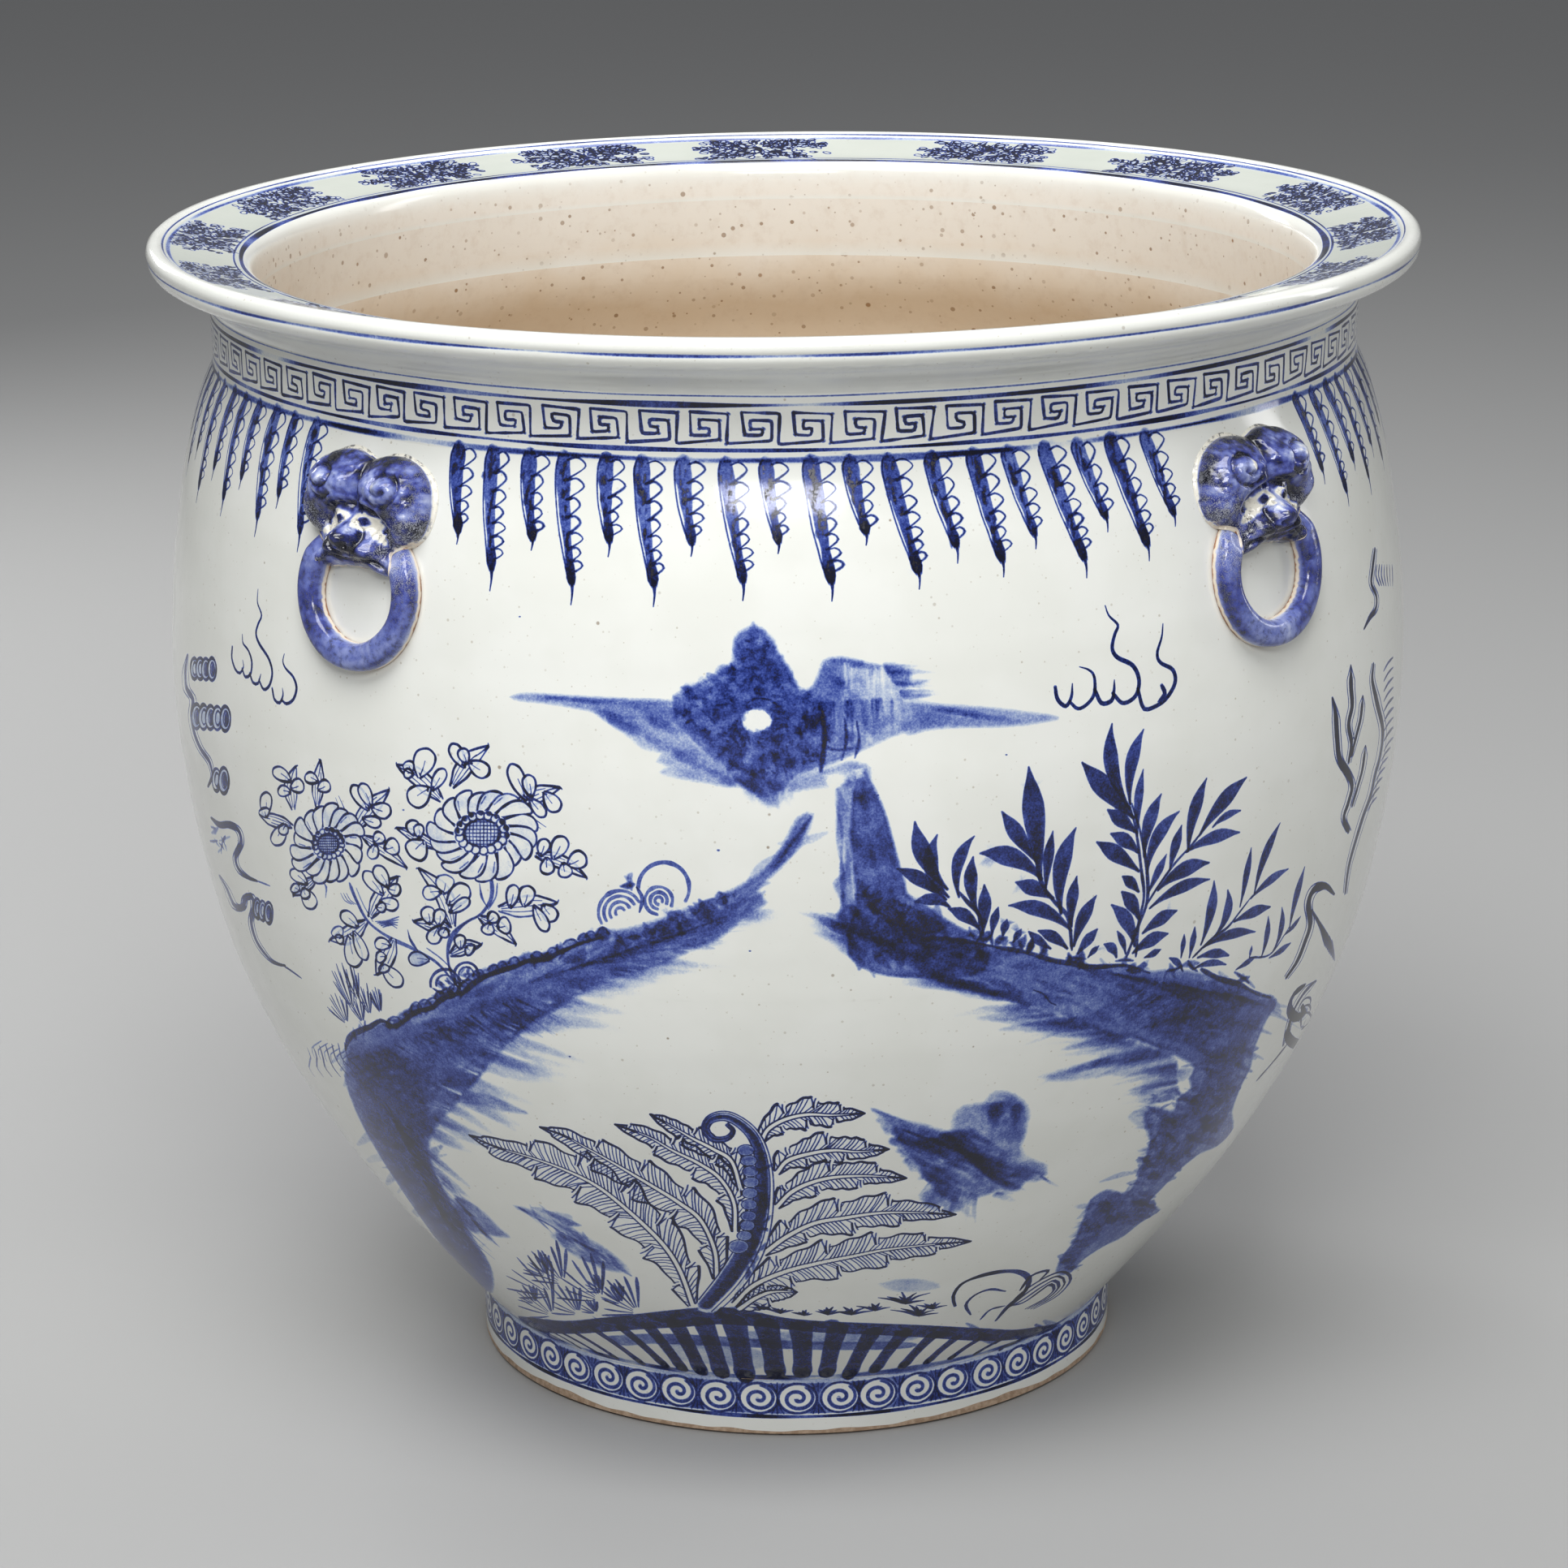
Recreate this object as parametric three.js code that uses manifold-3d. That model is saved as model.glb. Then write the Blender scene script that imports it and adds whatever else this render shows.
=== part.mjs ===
// Large blue-and-white stoneware fish bowl (jardiniere): thrown body on a low
// foot ring, upright neck, broad everted rim with a rolled lip, four moulded
// lion masks on the shoulder, each over a flat ring that is luted to the wall.
// Millimetres, +Z up, origin at the centre of the foot's resting plane.
// The painted front faces -Y.
import * as THREE from 'three';
import { mergeVertices } from 'three/addons/utils/BufferGeometryUtils.js';
import Module from 'manifold-3d';

// ---------------------------------------------------------------- dimensions
const LATHE_STEPS = 40;          // facets round each turned section
const JOINT_GAP = 0.3;           // slip joint between neighbouring sections
const HEIGHT = 517.0;            // crest of the lip above the foot
const RIM_R = 280.0;             // outermost radius of the lip
const MOUTH_R = 233.0;           // clear radius of the mouth
const NECK_R = 253.1;            // outside of the upright neck
const FOOT_R = 146.1;            // outside of the foot ring
const FOOT_IN_R = 122.0;         // inside of the foot ring
const FOOT_H = 27.2;             // height of the foot ring
const RECESS_H = 17.0;           // how far the base is recessed above the floor
const NECK_Z0 = 461.8;           // crease between shoulder and neck
const NECK_Z1 = 490.0;           // top of the neck, start of the rim
const SEAM_Z = 243.0;            // joint between the two thrown body sections
const WALL = 16.5;               // body wall thickness

// outside of the body, (z, r), from the foot crease to the neck crease
const BODY_OUT = [
  [27.2, 146.4], [54.0, 168.9], [81.0, 190.6], [108.0, 209.8], [135.1, 226.3],
  [171.1, 244.6], [207.1, 258.2], [243.0, 267.2], [279.0, 273.0], [315.0, 276.0],
  [333.0, 276.3], [350.9, 275.7], [369.0, 274.4], [386.9, 272.3], [405.0, 269.6],
  [422.8, 266.2], [441.0, 261.6], [453.0, 257.4], [461.8, 253.4],
];
// inside of the bowl, (z, r), from the floor's centre to the neck
const FLOOR_Z = 44.0;
const BODY_IN_LOW = [
  [44.0, 0.0], [44.6, 70.0], [48.5, 105.0], [60.0, 138.0], [80.0, 164.5],
  [108.0, 189.5], [145.0, 213.5], [195.0, 235.7], [243.0, 249.5],
];
const BODY_IN_HIGH = [
  [243.0, 249.5], [280.0, 256.0], [315.0, 259.2], [350.9, 258.8],
  [386.9, 255.2], [422.8, 248.4], [445.0, 240.6], [461.8, 235.4],
];

// lion masks and rings: azimuth (degrees from the front, towards +X)
const MASK_AZ = [-40.0, 46.5, 137.0, -133.0];
const MASK_NAME = ['front_left', 'front_right', 'back_right', 'back_left'];
const MASK_Z = 434.0;            // height of the mask's own origin
const MASK_H = 21.0;             // tallest relief
const RING_Z = 401.0;            // centre of each ring
const RING_R = 26.4;             // radius to the middle of the band
const RING_HALF = 6.1;           // half the band's width
const RING_T = 8.0;              // how far a ring stands off the wall
const RING_T_TOP = 4.4;          // the part of it under the mask
const SEAT = 0.45;               // slip layer between an applied piece and the wall

// ---------------------------------------------------------------- helpers
const wasm = await Module();
wasm.setup();

function signedVolume(g) {
  const p = g.getAttribute('position');
  const idx = g.getIndex();
  let v = 0;
  const a = new THREE.Vector3(), b = new THREE.Vector3(), c = new THREE.Vector3();
  for (let i = 0; i < idx.count; i += 3) {
    a.fromBufferAttribute(p, idx.getX(i));
    b.fromBufferAttribute(p, idx.getX(i + 1));
    c.fromBufferAttribute(p, idx.getX(i + 2));
    v += a.dot(b.clone().cross(c)) / 6;
  }
  return v;
}
// weld, drop collapsed triangles and turn the faces outwards
function tidy(g) {
  let w = g.clone();
  for (const n of ['normal', 'uv']) if (w.getAttribute(n)) w.deleteAttribute(n);
  w = mergeVertices(w, 1e-4);
  const idx = Array.from(w.getIndex().array);
  const out = [];
  for (let i = 0; i < idx.length; i += 3) {
    const [a, b, c] = [idx[i], idx[i + 1], idx[i + 2]];
    if (a !== b && b !== c && a !== c) out.push(a, b, c);
  }
  w.setIndex(out);
  if (signedVolume(w) < 0) {
    for (let i = 0; i < out.length; i += 3) [out[i + 1], out[i + 2]] = [out[i + 2], out[i + 1]];
    w.setIndex(out);
  }
  return w;
}
function toSolid(g) {
  return new wasm.Manifold(new wasm.Mesh({
    numProp: 3,
    vertProperties: new Float32Array(g.getAttribute('position').array),
    triVerts: new Uint32Array(g.getIndex().array),
  }));
}
function fromSolid(s) {
  const m = s.getMesh();
  const g = new THREE.BufferGeometry();
  const n = m.vertProperties.length / m.numProp;
  const pos = new Float32Array(n * 3);
  for (let i = 0; i < n; i++) for (let k = 0; k < 3; k++) pos[i * 3 + k] = m.vertProperties[i * m.numProp + k];
  g.setAttribute('position', new THREE.BufferAttribute(pos, 3));
  g.setIndex(new THREE.BufferAttribute(new Uint32Array(m.triVerts), 1));
  return g;
}
// turned section from (r, z) pairs, revolved about Z
function turned(profile) {
  const g = new THREE.LatheGeometry(profile.map(([r, z]) => new THREE.Vector2(r, z)), LATHE_STEPS);
  g.rotateX(Math.PI / 2);
  return tidy(g);
}
function outerR(z) {
  for (let i = 1; i < BODY_OUT.length; i++) {
    const [z0, r0] = BODY_OUT[i - 1], [z1, r1] = BODY_OUT[i];
    if (z <= z1) return r0 + (r1 - r0) * (z - z0) / (z1 - z0);
  }
  return NECK_R;
}
function smoothOuterR(z) {
  const h = 9;
  return (outerR(z - h) + 2 * outerR(z) + outerR(z + h)) / 4;
}
// point that stands h off the shoulder, s round it and v up it from (az, z0)
function onWall(azDeg, z0, s, v, h) {
  const slope = (smoothOuterR(z0 + 4) - smoothOuterR(z0 - 4)) / 8;
  const k = Math.sqrt(1 + slope * slope);
  const z = z0 + v / k;
  const r = outerR(z);
  const az = THREE.MathUtils.degToRad(azDeg) + s / r;
  const sl = (smoothOuterR(z + 4) - smoothOuterR(z - 4)) / 8;
  const kk = Math.sqrt(1 + sl * sl);
  const rr = r + h / kk, zz = z - h * sl / kk;
  return new THREE.Vector3(rr * Math.sin(az), -rr * Math.cos(az), zz);
}

// ---------------------------------------------------------------- materials
const glaze = new THREE.MeshStandardMaterial({ color: 0xdcdcd0, roughness: 0.16, metalness: 0 });
const glazeBlueBand = new THREE.MeshStandardMaterial({ color: 0xc9cfd2, roughness: 0.16, metalness: 0 });
const cobalt = new THREE.MeshStandardMaterial({ color: 0x3a468f, roughness: 0.2, metalness: 0 });
const footGlaze = new THREE.MeshStandardMaterial({ color: 0xb9a794, roughness: 0.5, metalness: 0 });

const group = new THREE.Group();
function add(name, geometry, material) {
  const m = new THREE.Mesh(geometry, material);
  m.name = name;
  group.add(m);
}

// ---------------------------------------------------------------- foot ring
add('foot_ring', turned([
  [FOOT_IN_R, 0], [FOOT_R - 1.2, 0], [FOOT_R, 1.6], [FOOT_R + 0.2, FOOT_H - JOINT_GAP],
  [FOOT_IN_R + 3, FOOT_H - JOINT_GAP], [FOOT_IN_R + 1, RECESS_H], [FOOT_IN_R, 0],
]), footGlaze);

// ---------------------------------------------------------------- lower thrown section, with the base
{
  const p = [[0, RECESS_H + 1.0], [FOOT_IN_R - 4, RECESS_H + 1.0], [FOOT_IN_R + 0.6, RECESS_H + 2.5],
    [FOOT_IN_R + 2.4, FOOT_H]];
  for (const [z, r] of BODY_OUT) if (z <= SEAM_Z) p.push([r, z]);
  for (const [z, r] of [...BODY_IN_LOW].reverse()) p.push([r, z]);
  add('lower_bowl', turned(p), glaze);
}

// ---------------------------------------------------------------- upper thrown section
{
  const p = [];
  for (const [z, r] of BODY_OUT) if (z >= SEAM_Z) p.push([r, z === SEAM_Z ? z + JOINT_GAP : z]);
  for (const [z, r] of [...BODY_IN_HIGH].reverse()) p.push([r, z === SEAM_Z ? z + JOINT_GAP : z]);
  p.push(p[0].slice());
  add('upper_bowl', turned(p), glaze);
}

// ---------------------------------------------------------------- upright neck
add('neck_collar', turned([
  [NECK_R - 0.2, NECK_Z0 + JOINT_GAP], [NECK_R, 475], [NECK_R + 0.2, NECK_Z1],
  [233.2, NECK_Z1], [233.6, 478], [235.4, NECK_Z0 + JOINT_GAP], [NECK_R - 0.2, NECK_Z0 + JOINT_GAP],
]), glazeBlueBand);

// ---------------------------------------------------------------- everted rim with rolled lip
add('rim_flange', turned([
  [NECK_R + 0.3, NECK_Z1 + JOINT_GAP], [256.5, 493.0], [262.0, 497.4], [269.5, 501.6],
  [275.0, 504.6], [278.6, 507.6], [RIM_R, 511.6], [279.0, 515.0], [276.0, HEIGHT],
  [272.4, 515.6], [266.0, 513.2], [254.0, 510.7], [243.0, 508.6], [237.6, 507.2],
  [234.4, 504.6], [MOUTH_R, 499.0], [233.1, NECK_Z1 + JOINT_GAP], [NECK_R + 0.3, NECK_Z1 + JOINT_GAP],
]), glaze);

// ---------------------------------------------------------------- rings luted to the wall
// the band is a flattened D: flat back on the wall, rounded face
function ringGeometry(az, grow) {
  const g = new THREE.TorusGeometry(1, 0.25, 8, 30);
  const p = g.getAttribute('position');
  for (let i = 0; i < p.count; i++) {
    const x = p.getX(i), y = p.getY(i), z = p.getZ(i);
    const a = Math.atan2(y, x);
    const rho = (Math.hypot(x, y) - 1) / 0.25;       // -1..1 across the band
    const up = z / 0.25;                             // -1..1 off the wall
    const covered = THREE.MathUtils.smoothstep(Math.sin(a), 0.42, 0.72);
    const t = THREE.MathUtils.lerp(RING_T, RING_T_TOP, covered);
    const side = Math.sign(rho) * Math.pow(Math.abs(rho), 0.55);
    const R = RING_R + side * (RING_HALF + grow);
    let h = up > 0 ? SEAT + (t + grow) * (0.42 + 0.58 * Math.pow(up, 0.75)) : SEAT - grow;
    if (Math.abs(up) < 1e-6) h = SEAT + t * 0.30;
    const w = onWall(az, RING_Z, R * Math.cos(a), R * Math.sin(a), h);
    p.setXYZ(i, w.x, w.y, w.z);
  }
  return tidy(g);
}

// ---------------------------------------------------------------- lion masks
const MASK_OUTLINE = [
  [0, 20.6], [8, 22.8], [16, 22.6], [24, 19.8], [29.6, 14.2], [32.2, 6.4], [32.6, -1.6],
  [31.0, -7.0], [26.4, -11.2], [20.8, -13.2], [18.6, -16.4], [20.6, -21.4], [19.4, -25.0],
  [14.0, -25.2], [8.0, -23.6], [0, -22.6],
];
const fullOutline = [...MASK_OUTLINE, ...MASK_OUTLINE.slice(1, -1).reverse().map(([x, y]) => [-x, y])];
const outlineCurve = new THREE.CatmullRomCurve3(
  fullOutline.map(([x, y]) => new THREE.Vector3(x, y, 0)), true, 'centripetal');
const outlinePts = outlineCurve.getPoints(360).map((q) => [Math.atan2(q.y, q.x), Math.hypot(q.x, q.y)]);
function outlineR(th) {
  let best = 0, d = 9;
  for (const [a, r] of outlinePts) {
    let e = Math.abs(a - th);
    if (e > Math.PI) e = 2 * Math.PI - e;
    if (e < d) { d = e; best = r; }
  }
  return best;
}
const bump = (s, v, cs, cv, rs, rv) => Math.exp(-(((s - cs) / rs) ** 2) - (((v - cv) / rv) ** 2));
function relief(s, v) {
  const q = Math.abs(s);
  let h = 7.0;
  h += 8.6 * bump(q, v, 17.5, 7.0, 12.0, 11.5);      // mane lobes
  h += 5.0 * bump(q, v, 6.0, 9.5, 6.5, 8.0);         // brow
  h += 13.2 * bump(q, v, 0, -11.5, 7.5, 7.5);        // nose
  h += 6.0 * bump(q, v, 10, -16.5, 8.5, 6.0);        // muzzle
  h -= 2.4 * bump(q, v, 9.5, -3.5, 5.5, 4.0);        // eye sockets
  h -= 2.2 * bump(q, v, 0, 15, 3.2, 9.0);            // parting
  return Math.min(h, MASK_H);
}
function maskGeometry(az) {
  const g = new THREE.SphereGeometry(1, 36, 10);
  g.rotateX(Math.PI / 2);                            // poles along the wall's normal
  const p = g.getAttribute('position');
  for (let i = 0; i < p.count; i++) {
    const x = p.getX(i), y = p.getY(i), z = p.getZ(i);
    const th = Math.atan2(y, x);
    let rho = Math.min(1, Math.hypot(x, y));
    const edge = Math.pow(Math.abs(z), 0.5);
    rho = Math.pow(rho, 1.15);
    const R = outlineR(th) * rho;
    const s = R * Math.cos(th), v = R * Math.sin(th);
    const h = z > 1e-6 ? SEAT + Math.max(relief(s, v) * Math.min(1, 0.30 + 0.9 * edge), 1.6)
      : z < -1e-6 ? SEAT : SEAT + 0.9;
    const w = onWall(az, MASK_Z, s, v, h);
    p.setXYZ(i, w.x, w.y, w.z);
  }
  return tidy(g);
}

for (let k = 0; k < 4; k++) {
  const mask = toSolid(maskGeometry(MASK_AZ[k]));
  const channel = toSolid(ringGeometry(MASK_AZ[k], 0.45));
  add('lion_mask_' + MASK_NAME[k], tidy(fromSolid(mask.subtract(channel))), cobalt);
  add('ring_' + MASK_NAME[k], ringGeometry(MASK_AZ[k], 0), cobalt);
}

export default group;
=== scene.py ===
import math
import random
import bpy
import numpy as np
from mathutils import Vector, Matrix
from mathutils.geometry import delaunay_2d_cdt


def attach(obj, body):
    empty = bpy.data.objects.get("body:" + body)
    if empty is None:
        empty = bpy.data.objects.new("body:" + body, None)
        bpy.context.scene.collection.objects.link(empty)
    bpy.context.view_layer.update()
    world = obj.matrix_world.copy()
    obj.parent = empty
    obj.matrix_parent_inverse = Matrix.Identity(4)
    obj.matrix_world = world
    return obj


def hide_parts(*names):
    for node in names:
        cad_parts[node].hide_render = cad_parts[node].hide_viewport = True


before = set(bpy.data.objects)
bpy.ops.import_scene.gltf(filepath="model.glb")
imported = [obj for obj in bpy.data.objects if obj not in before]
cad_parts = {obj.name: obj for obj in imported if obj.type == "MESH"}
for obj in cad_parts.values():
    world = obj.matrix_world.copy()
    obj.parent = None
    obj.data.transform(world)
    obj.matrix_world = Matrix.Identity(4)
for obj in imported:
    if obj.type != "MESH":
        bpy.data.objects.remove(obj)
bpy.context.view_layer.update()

rnd = random.Random(11)
rng = np.random.default_rng(11)
TAU = 2 * math.pi

def sstep(x):
    x = np.clip(x, 0, 1)
    return x * x * (3 - 2 * x)


# ------------------------------------------------------------------ profile
# (r, z) in millimetres, the same turned shape as the CAD nodes


def cubic(s, y, q):
    """Natural cubic through (s, y): values and slopes at q."""
    s = np.asarray(s, float)
    y = np.asarray(y, float)
    n = len(s)
    h = np.diff(s)
    A = np.zeros((n, n))
    b = np.zeros(n)
    A[0, 0] = A[-1, -1] = 1
    for i in range(1, n - 1):
        A[i, i - 1] = h[i - 1]
        A[i, i] = 2 * (h[i - 1] + h[i])
        A[i, i + 1] = h[i]
        b[i] = 6 * ((y[i + 1] - y[i]) / h[i] - (y[i] - y[i - 1]) / h[i - 1])
    m = np.linalg.solve(A, b)
    q = np.asarray(q, float)
    k = np.clip(np.searchsorted(s, q) - 1, 0, n - 2)
    d0 = q - s[k]
    d1 = s[k + 1] - q
    hk = h[k]
    val = (m[k] * d1 ** 3 + m[k + 1] * d0 ** 3) / (6 * hk) + (y[k] / hk - m[k] * hk / 6) * d1 + (y[k + 1] / hk - m[k + 1] * hk / 6) * d0
    slo = (-m[k] * d1 ** 2 + m[k + 1] * d0 ** 2) / (2 * hk) - (y[k] / hk - m[k] * hk / 6) + (y[k + 1] / hk - m[k + 1] * hk / 6)
    return val, slo


def curve_rz(pts, step=1.0):
    """Dense smooth run through (r, z) points, with unit tangents."""
    p = np.array(pts, float)
    s = np.concatenate([[0], np.cumsum(np.hypot(*np.diff(p, axis=0).T))])
    n = max(2, int(round(s[-1] / step)) + 1)
    q = np.linspace(0, s[-1], n)
    if len(p) == 2:
        pr = np.interp(q, s, p[:, 0])
        pz = np.interp(q, s, p[:, 1])
        t = (p[1] - p[0]) / s[-1]
        return np.stack([pr, pz], 1), np.repeat(t[None], n, 0)
    r, dr = cubic(s, p[:, 0], q)
    z, dz = cubic(s, p[:, 1], q)
    L = np.hypot(dr, dz)
    return np.stack([r, z], 1), np.stack([dr / L, dz / L], 1)


BODY = [(27.2, 146.4), (54.0, 168.9), (81.0, 190.6), (108.0, 209.8), (135.1, 226.3), (171.1, 244.6), (207.1, 258.2),
        (243.0, 267.2), (279.0, 273.0), (315.0, 276.0), (333.0, 276.3), (350.9, 275.7), (369.0, 274.4), (386.9, 272.3),
        (405.0, 269.6), (422.8, 266.2), (441.0, 261.6), (453.0, 257.4), (461.8, 253.4)]
_bz = np.array([b[0] for b in BODY])
_br = np.array([b[1] for b in BODY])


def body_r(z):
    return cubic(_bz, _br, z)[0]


def body_run(z0, z1, step=1.0):
    z = np.linspace(z0, z1, max(2, int(abs(z1 - z0) / step) + 1))
    r, s = cubic(_bz, _br, z)
    t = np.stack([s, np.ones_like(s)], 1) * (1 if z1 > z0 else -1)
    return np.stack([r, z], 1), t / np.hypot(t[:, 0], t[:, 1])[:, None]


IN_LOW = [(0.0, 44.0), (40.0, 44.1), (75.0, 45.0), (105.0, 48.8), (126.0, 54.5), (143.0, 62.5), (164.5, 80.0), (189.5, 108.0),
          (213.5, 145.0), (235.7, 195.0), (249.5, 243.0)]
IN_HIGH = [(249.5, 243.0), (256.0, 280.0), (259.2, 315.0), (258.8, 350.9), (255.2, 386.9), (247.8, 422.8), (240.2, 441.5), (236.9, 451.5), (235.4, 461.8)]
IN_ALL = IN_LOW + IN_HIGH[1:]


def inner_run(z0, z1):
    """The inside wall from height z0 to z1 (either way), as part of one smooth curve."""
    p, t = curve_rz(IN_ALL, 1.0)
    zz = p[:, 1]
    k = np.where((zz > min(z0, z1) + 0.3) & (zz < max(z0, z1) - 0.3))[0]
    def at(z):
        if z <= 44.0:
            return p[0], t[0]
        i = int(np.searchsorted(zz, z))
        a = (z - zz[i - 1]) / (zz[i] - zz[i - 1])
        return p[i - 1] * (1 - a) + p[i] * a, t[i - 1] * (1 - a) + t[i] * a
    lo, hi = at(min(z0, z1)), at(max(z0, z1))
    P = np.vstack([lo[0][None], p[k], hi[0][None]])
    T = np.vstack([lo[1][None], t[k], hi[1][None]])
    if z1 < z0:
        P, T = P[::-1], -T[::-1]
    return P, T


RIM_OUT = [(253.4, 490.1), (254.6, 491.9), (257.6, 494.5), (262.4, 497.7), (268.0, 500.7), (272.6, 502.7), (275.4, 503.9),
           (277.7, 505.6), (279.0, 507.7), (279.25, 509.3), (279.15, 510.2), (279.6, 511.2), (279.9, 512.9), (279.3, 514.9),
           (277.8, 516.4), (275.9, 517.0), (274.0, 516.6), (272.4, 515.6), (270.6, 514.5), (266.0, 513.2), (260.0, 511.9),
           (254.0, 510.7), (248.0, 509.5), (242.6, 508.7), (239.4, 508.3), (237.0, 507.4), (235.0, 505.7), (233.8, 503.2),
           (233.25, 499.5), (233.1, 494.0), (233.1, 490.1)]

# one coordinate u (mm of arc) runs up the whole outside: foot, body, neck, rim
FOOT_TOP, SEAM, CREASE, NECK_TOP = 27.2, 243.0, 461.8, 490.1
_runs = [curve_rz([(146.05, 1.5), (146.4, FOOT_TOP)]), body_run(FOOT_TOP, SEAM), body_run(SEAM, CREASE),
         curve_rz([(253.4, CREASE), (253.0, 464.5), (253.0, 476.0), (253.2, 486.0), (253.4, NECK_TOP)]), curve_rz(RIM_OUT, 0.6)]
U_START = [0.0]
for _p, _t in _runs:
    U_START.append(U_START[-1] + float(np.sum(np.hypot(*np.diff(_p, axis=0).T))))
_gu, _gr, _gz = [], [], []
for _k, (_p, _t) in enumerate(_runs):
    _a = U_START[_k] + np.concatenate([[0], np.cumsum(np.hypot(*np.diff(_p, axis=0).T))])
    _gu.append(_a), _gr.append(_p[:, 0]), _gz.append(_p[:, 1])
GU, GR, GZ = np.concatenate(_gu), np.concatenate(_gr), np.concatenate(_gz)
U_FOOT, U_SEAM, U_CREASE, U_NECK, U_END = U_START[1:]
_crest = int(np.argmax(GZ))
U_GROOVE = float(np.interp(510.2, GZ[(GU > U_NECK) & (np.arange(len(GZ)) < _crest)], GU[(GU > U_NECK) & (np.arange(len(GZ)) < _crest)]))


def r_of(u):
    return np.interp(u, GU, GR)


def z_of(u):
    return np.interp(u, GU, GZ)


def u_z(z):
    """u of a height on the foot, body or neck."""
    k = GU <= U_NECK
    return np.interp(z, GZ[k], GU[k])


def u_top(r):
    """u of a radius on the rim's upper face."""
    return np.interp(-np.asarray(r, float), -GR[_crest:], GU[_crest:])


# ------------------------------------------------------------------ viewing ray to surface
CAM = np.array([0.0, -2105.72, 860.63])
PITCH, ROLL, YAW, FPX = math.radians(15.9597), math.radians(-0.7374), math.radians(-0.07645), 5909.23
_cp, _sp = math.cos(PITCH), math.sin(PITCH)
FWD = np.array([math.sin(YAW) * _cp, math.cos(YAW) * _cp, -_sp])
_rt = np.array([math.cos(YAW), -math.sin(YAW), 0.0])
_up = np.cross(_rt, FWD)
_cr, _sr = math.cos(ROLL), math.sin(ROLL)
RIGHT = _cr * _rt + _sr * _up
UP = -_sr * _rt + _cr * _up


def _solid_r(z):
    k = GU <= U_NECK
    return np.interp(z, GZ[k], GR[k])


def _cast(x, y):
    """(theta, u) where the ray through picture point (x, y) meets foot, body or neck."""
    d = FWD + RIGHT * ((x - 966) / FPX)[:, None] - UP * ((y - 966) / FPX)[:, None]
    t0 = np.full(len(x), 1750.0)
    best = np.full(len(x), np.nan)
    lo = np.full(len(x), np.nan)
    prev = None
    steps = np.linspace(1750, 2330, 90)
    for t in steps:
        P = CAM + d * t
        g = np.hypot(P[:, 0], P[:, 1]) - _solid_r(P[:, 2])
        ok = (P[:, 2] > 0) & (P[:, 2] < 489.5)
        if prev is not None:
            hit = np.isnan(best) & (prev > 0) & (g <= 0) & ok
            best[hit] = t
        prev = g
    a = best - (steps[1] - steps[0])
    b = best.copy()
    for _ in range(16):
        m = (a + b) / 2
        P = CAM + d * m[:, None]
        g = np.hypot(P[:, 0], P[:, 1]) - _solid_r(P[:, 2])
        out = g > 0
        a = np.where(out, m, a)
        b = np.where(out, b, m)
    P = CAM + d * b[:, None]
    th = np.arctan2(P[:, 0], -P[:, 1])
    return th, u_z(P[:, 2])


_gx = np.arange(196, 1752, 4.0)
_gy = np.arange(430, 1790, 4.0)
_mx, _my = np.meshgrid(_gx, _gy)
_TH, _U = _cast(_mx.ravel(), _my.ravel())
_TH = _TH.reshape(_mx.shape)
_U = _U.reshape(_mx.shape)


def px(pts):
    """Picture points to (theta, u)."""
    p = np.atleast_2d(np.asarray(pts, float))
    fx = (p[:, 0] - _gx[0]) / 4
    fy = (p[:, 1] - _gy[0]) / 4
    ix = np.clip(fx.astype(int), 0, len(_gx) - 2)
    iy = np.clip(fy.astype(int), 0, len(_gy) - 2)
    ax, ay = fx - ix, fy - iy
    out = []
    for G in (_TH, _U):
        v = (G[iy, ix] * (1 - ax) * (1 - ay) + G[iy, ix + 1] * ax * (1 - ay) + G[iy + 1, ix] * (1 - ax) * ay + G[iy + 1, ix + 1] * ax * ay)
        out.append(v)
    r = np.stack(out, 1)
    bad = np.isnan(r).any(1)
    if bad.any():
        th, u = _cast(p[bad, 0], p[bad, 1])
        r[bad] = np.stack([th, u], 1)
    return r


def az(pts):
    """(azimuth in degrees, height) to (theta, u)."""
    p = np.atleast_2d(np.asarray(pts, float))
    return np.stack([np.radians(p[:, 0]), u_z(p[:, 1])], 1)


# ------------------------------------------------------------------ brush strokes
# a stroke is a run of (theta, u) with a half-width in mm, a depth of ink and a soft edge
STROKES = []


def smooth(pts, n=None, step=2.2):
    """Catmull-Rom through the points, in whatever coordinates they are."""
    p = np.asarray(pts, float)
    if len(p) < 3:
        if n is None:
            n = max(2, int(np.hypot(*(p[-1] - p[0])[:2]) / step) + 1)
        t = np.linspace(0, 1, n)[:, None]
        return p[0] * (1 - t) + p[-1] * t
    q = np.vstack([2 * p[0] - p[1], p, 2 * p[-1] - p[-2]])
    out = []
    for i in range(1, len(q) - 2):
        L = float(np.hypot(*(q[i + 1] - q[i])[:2]))
        m = max(1, int(round(L / step))) if n is None else n
        t = (np.arange(m) / m)[:, None]
        a, b, c, d = q[i - 1], q[i], q[i + 1], q[i + 2]
        out.append(0.5 * (2 * b + (c - a) * t + (2 * a - 5 * b + 4 * c - d) * t ** 2 + (3 * b - a - 3 * c + d) * t ** 3))
    out.append(p[-1][None])
    return np.vstack(out)


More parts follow.
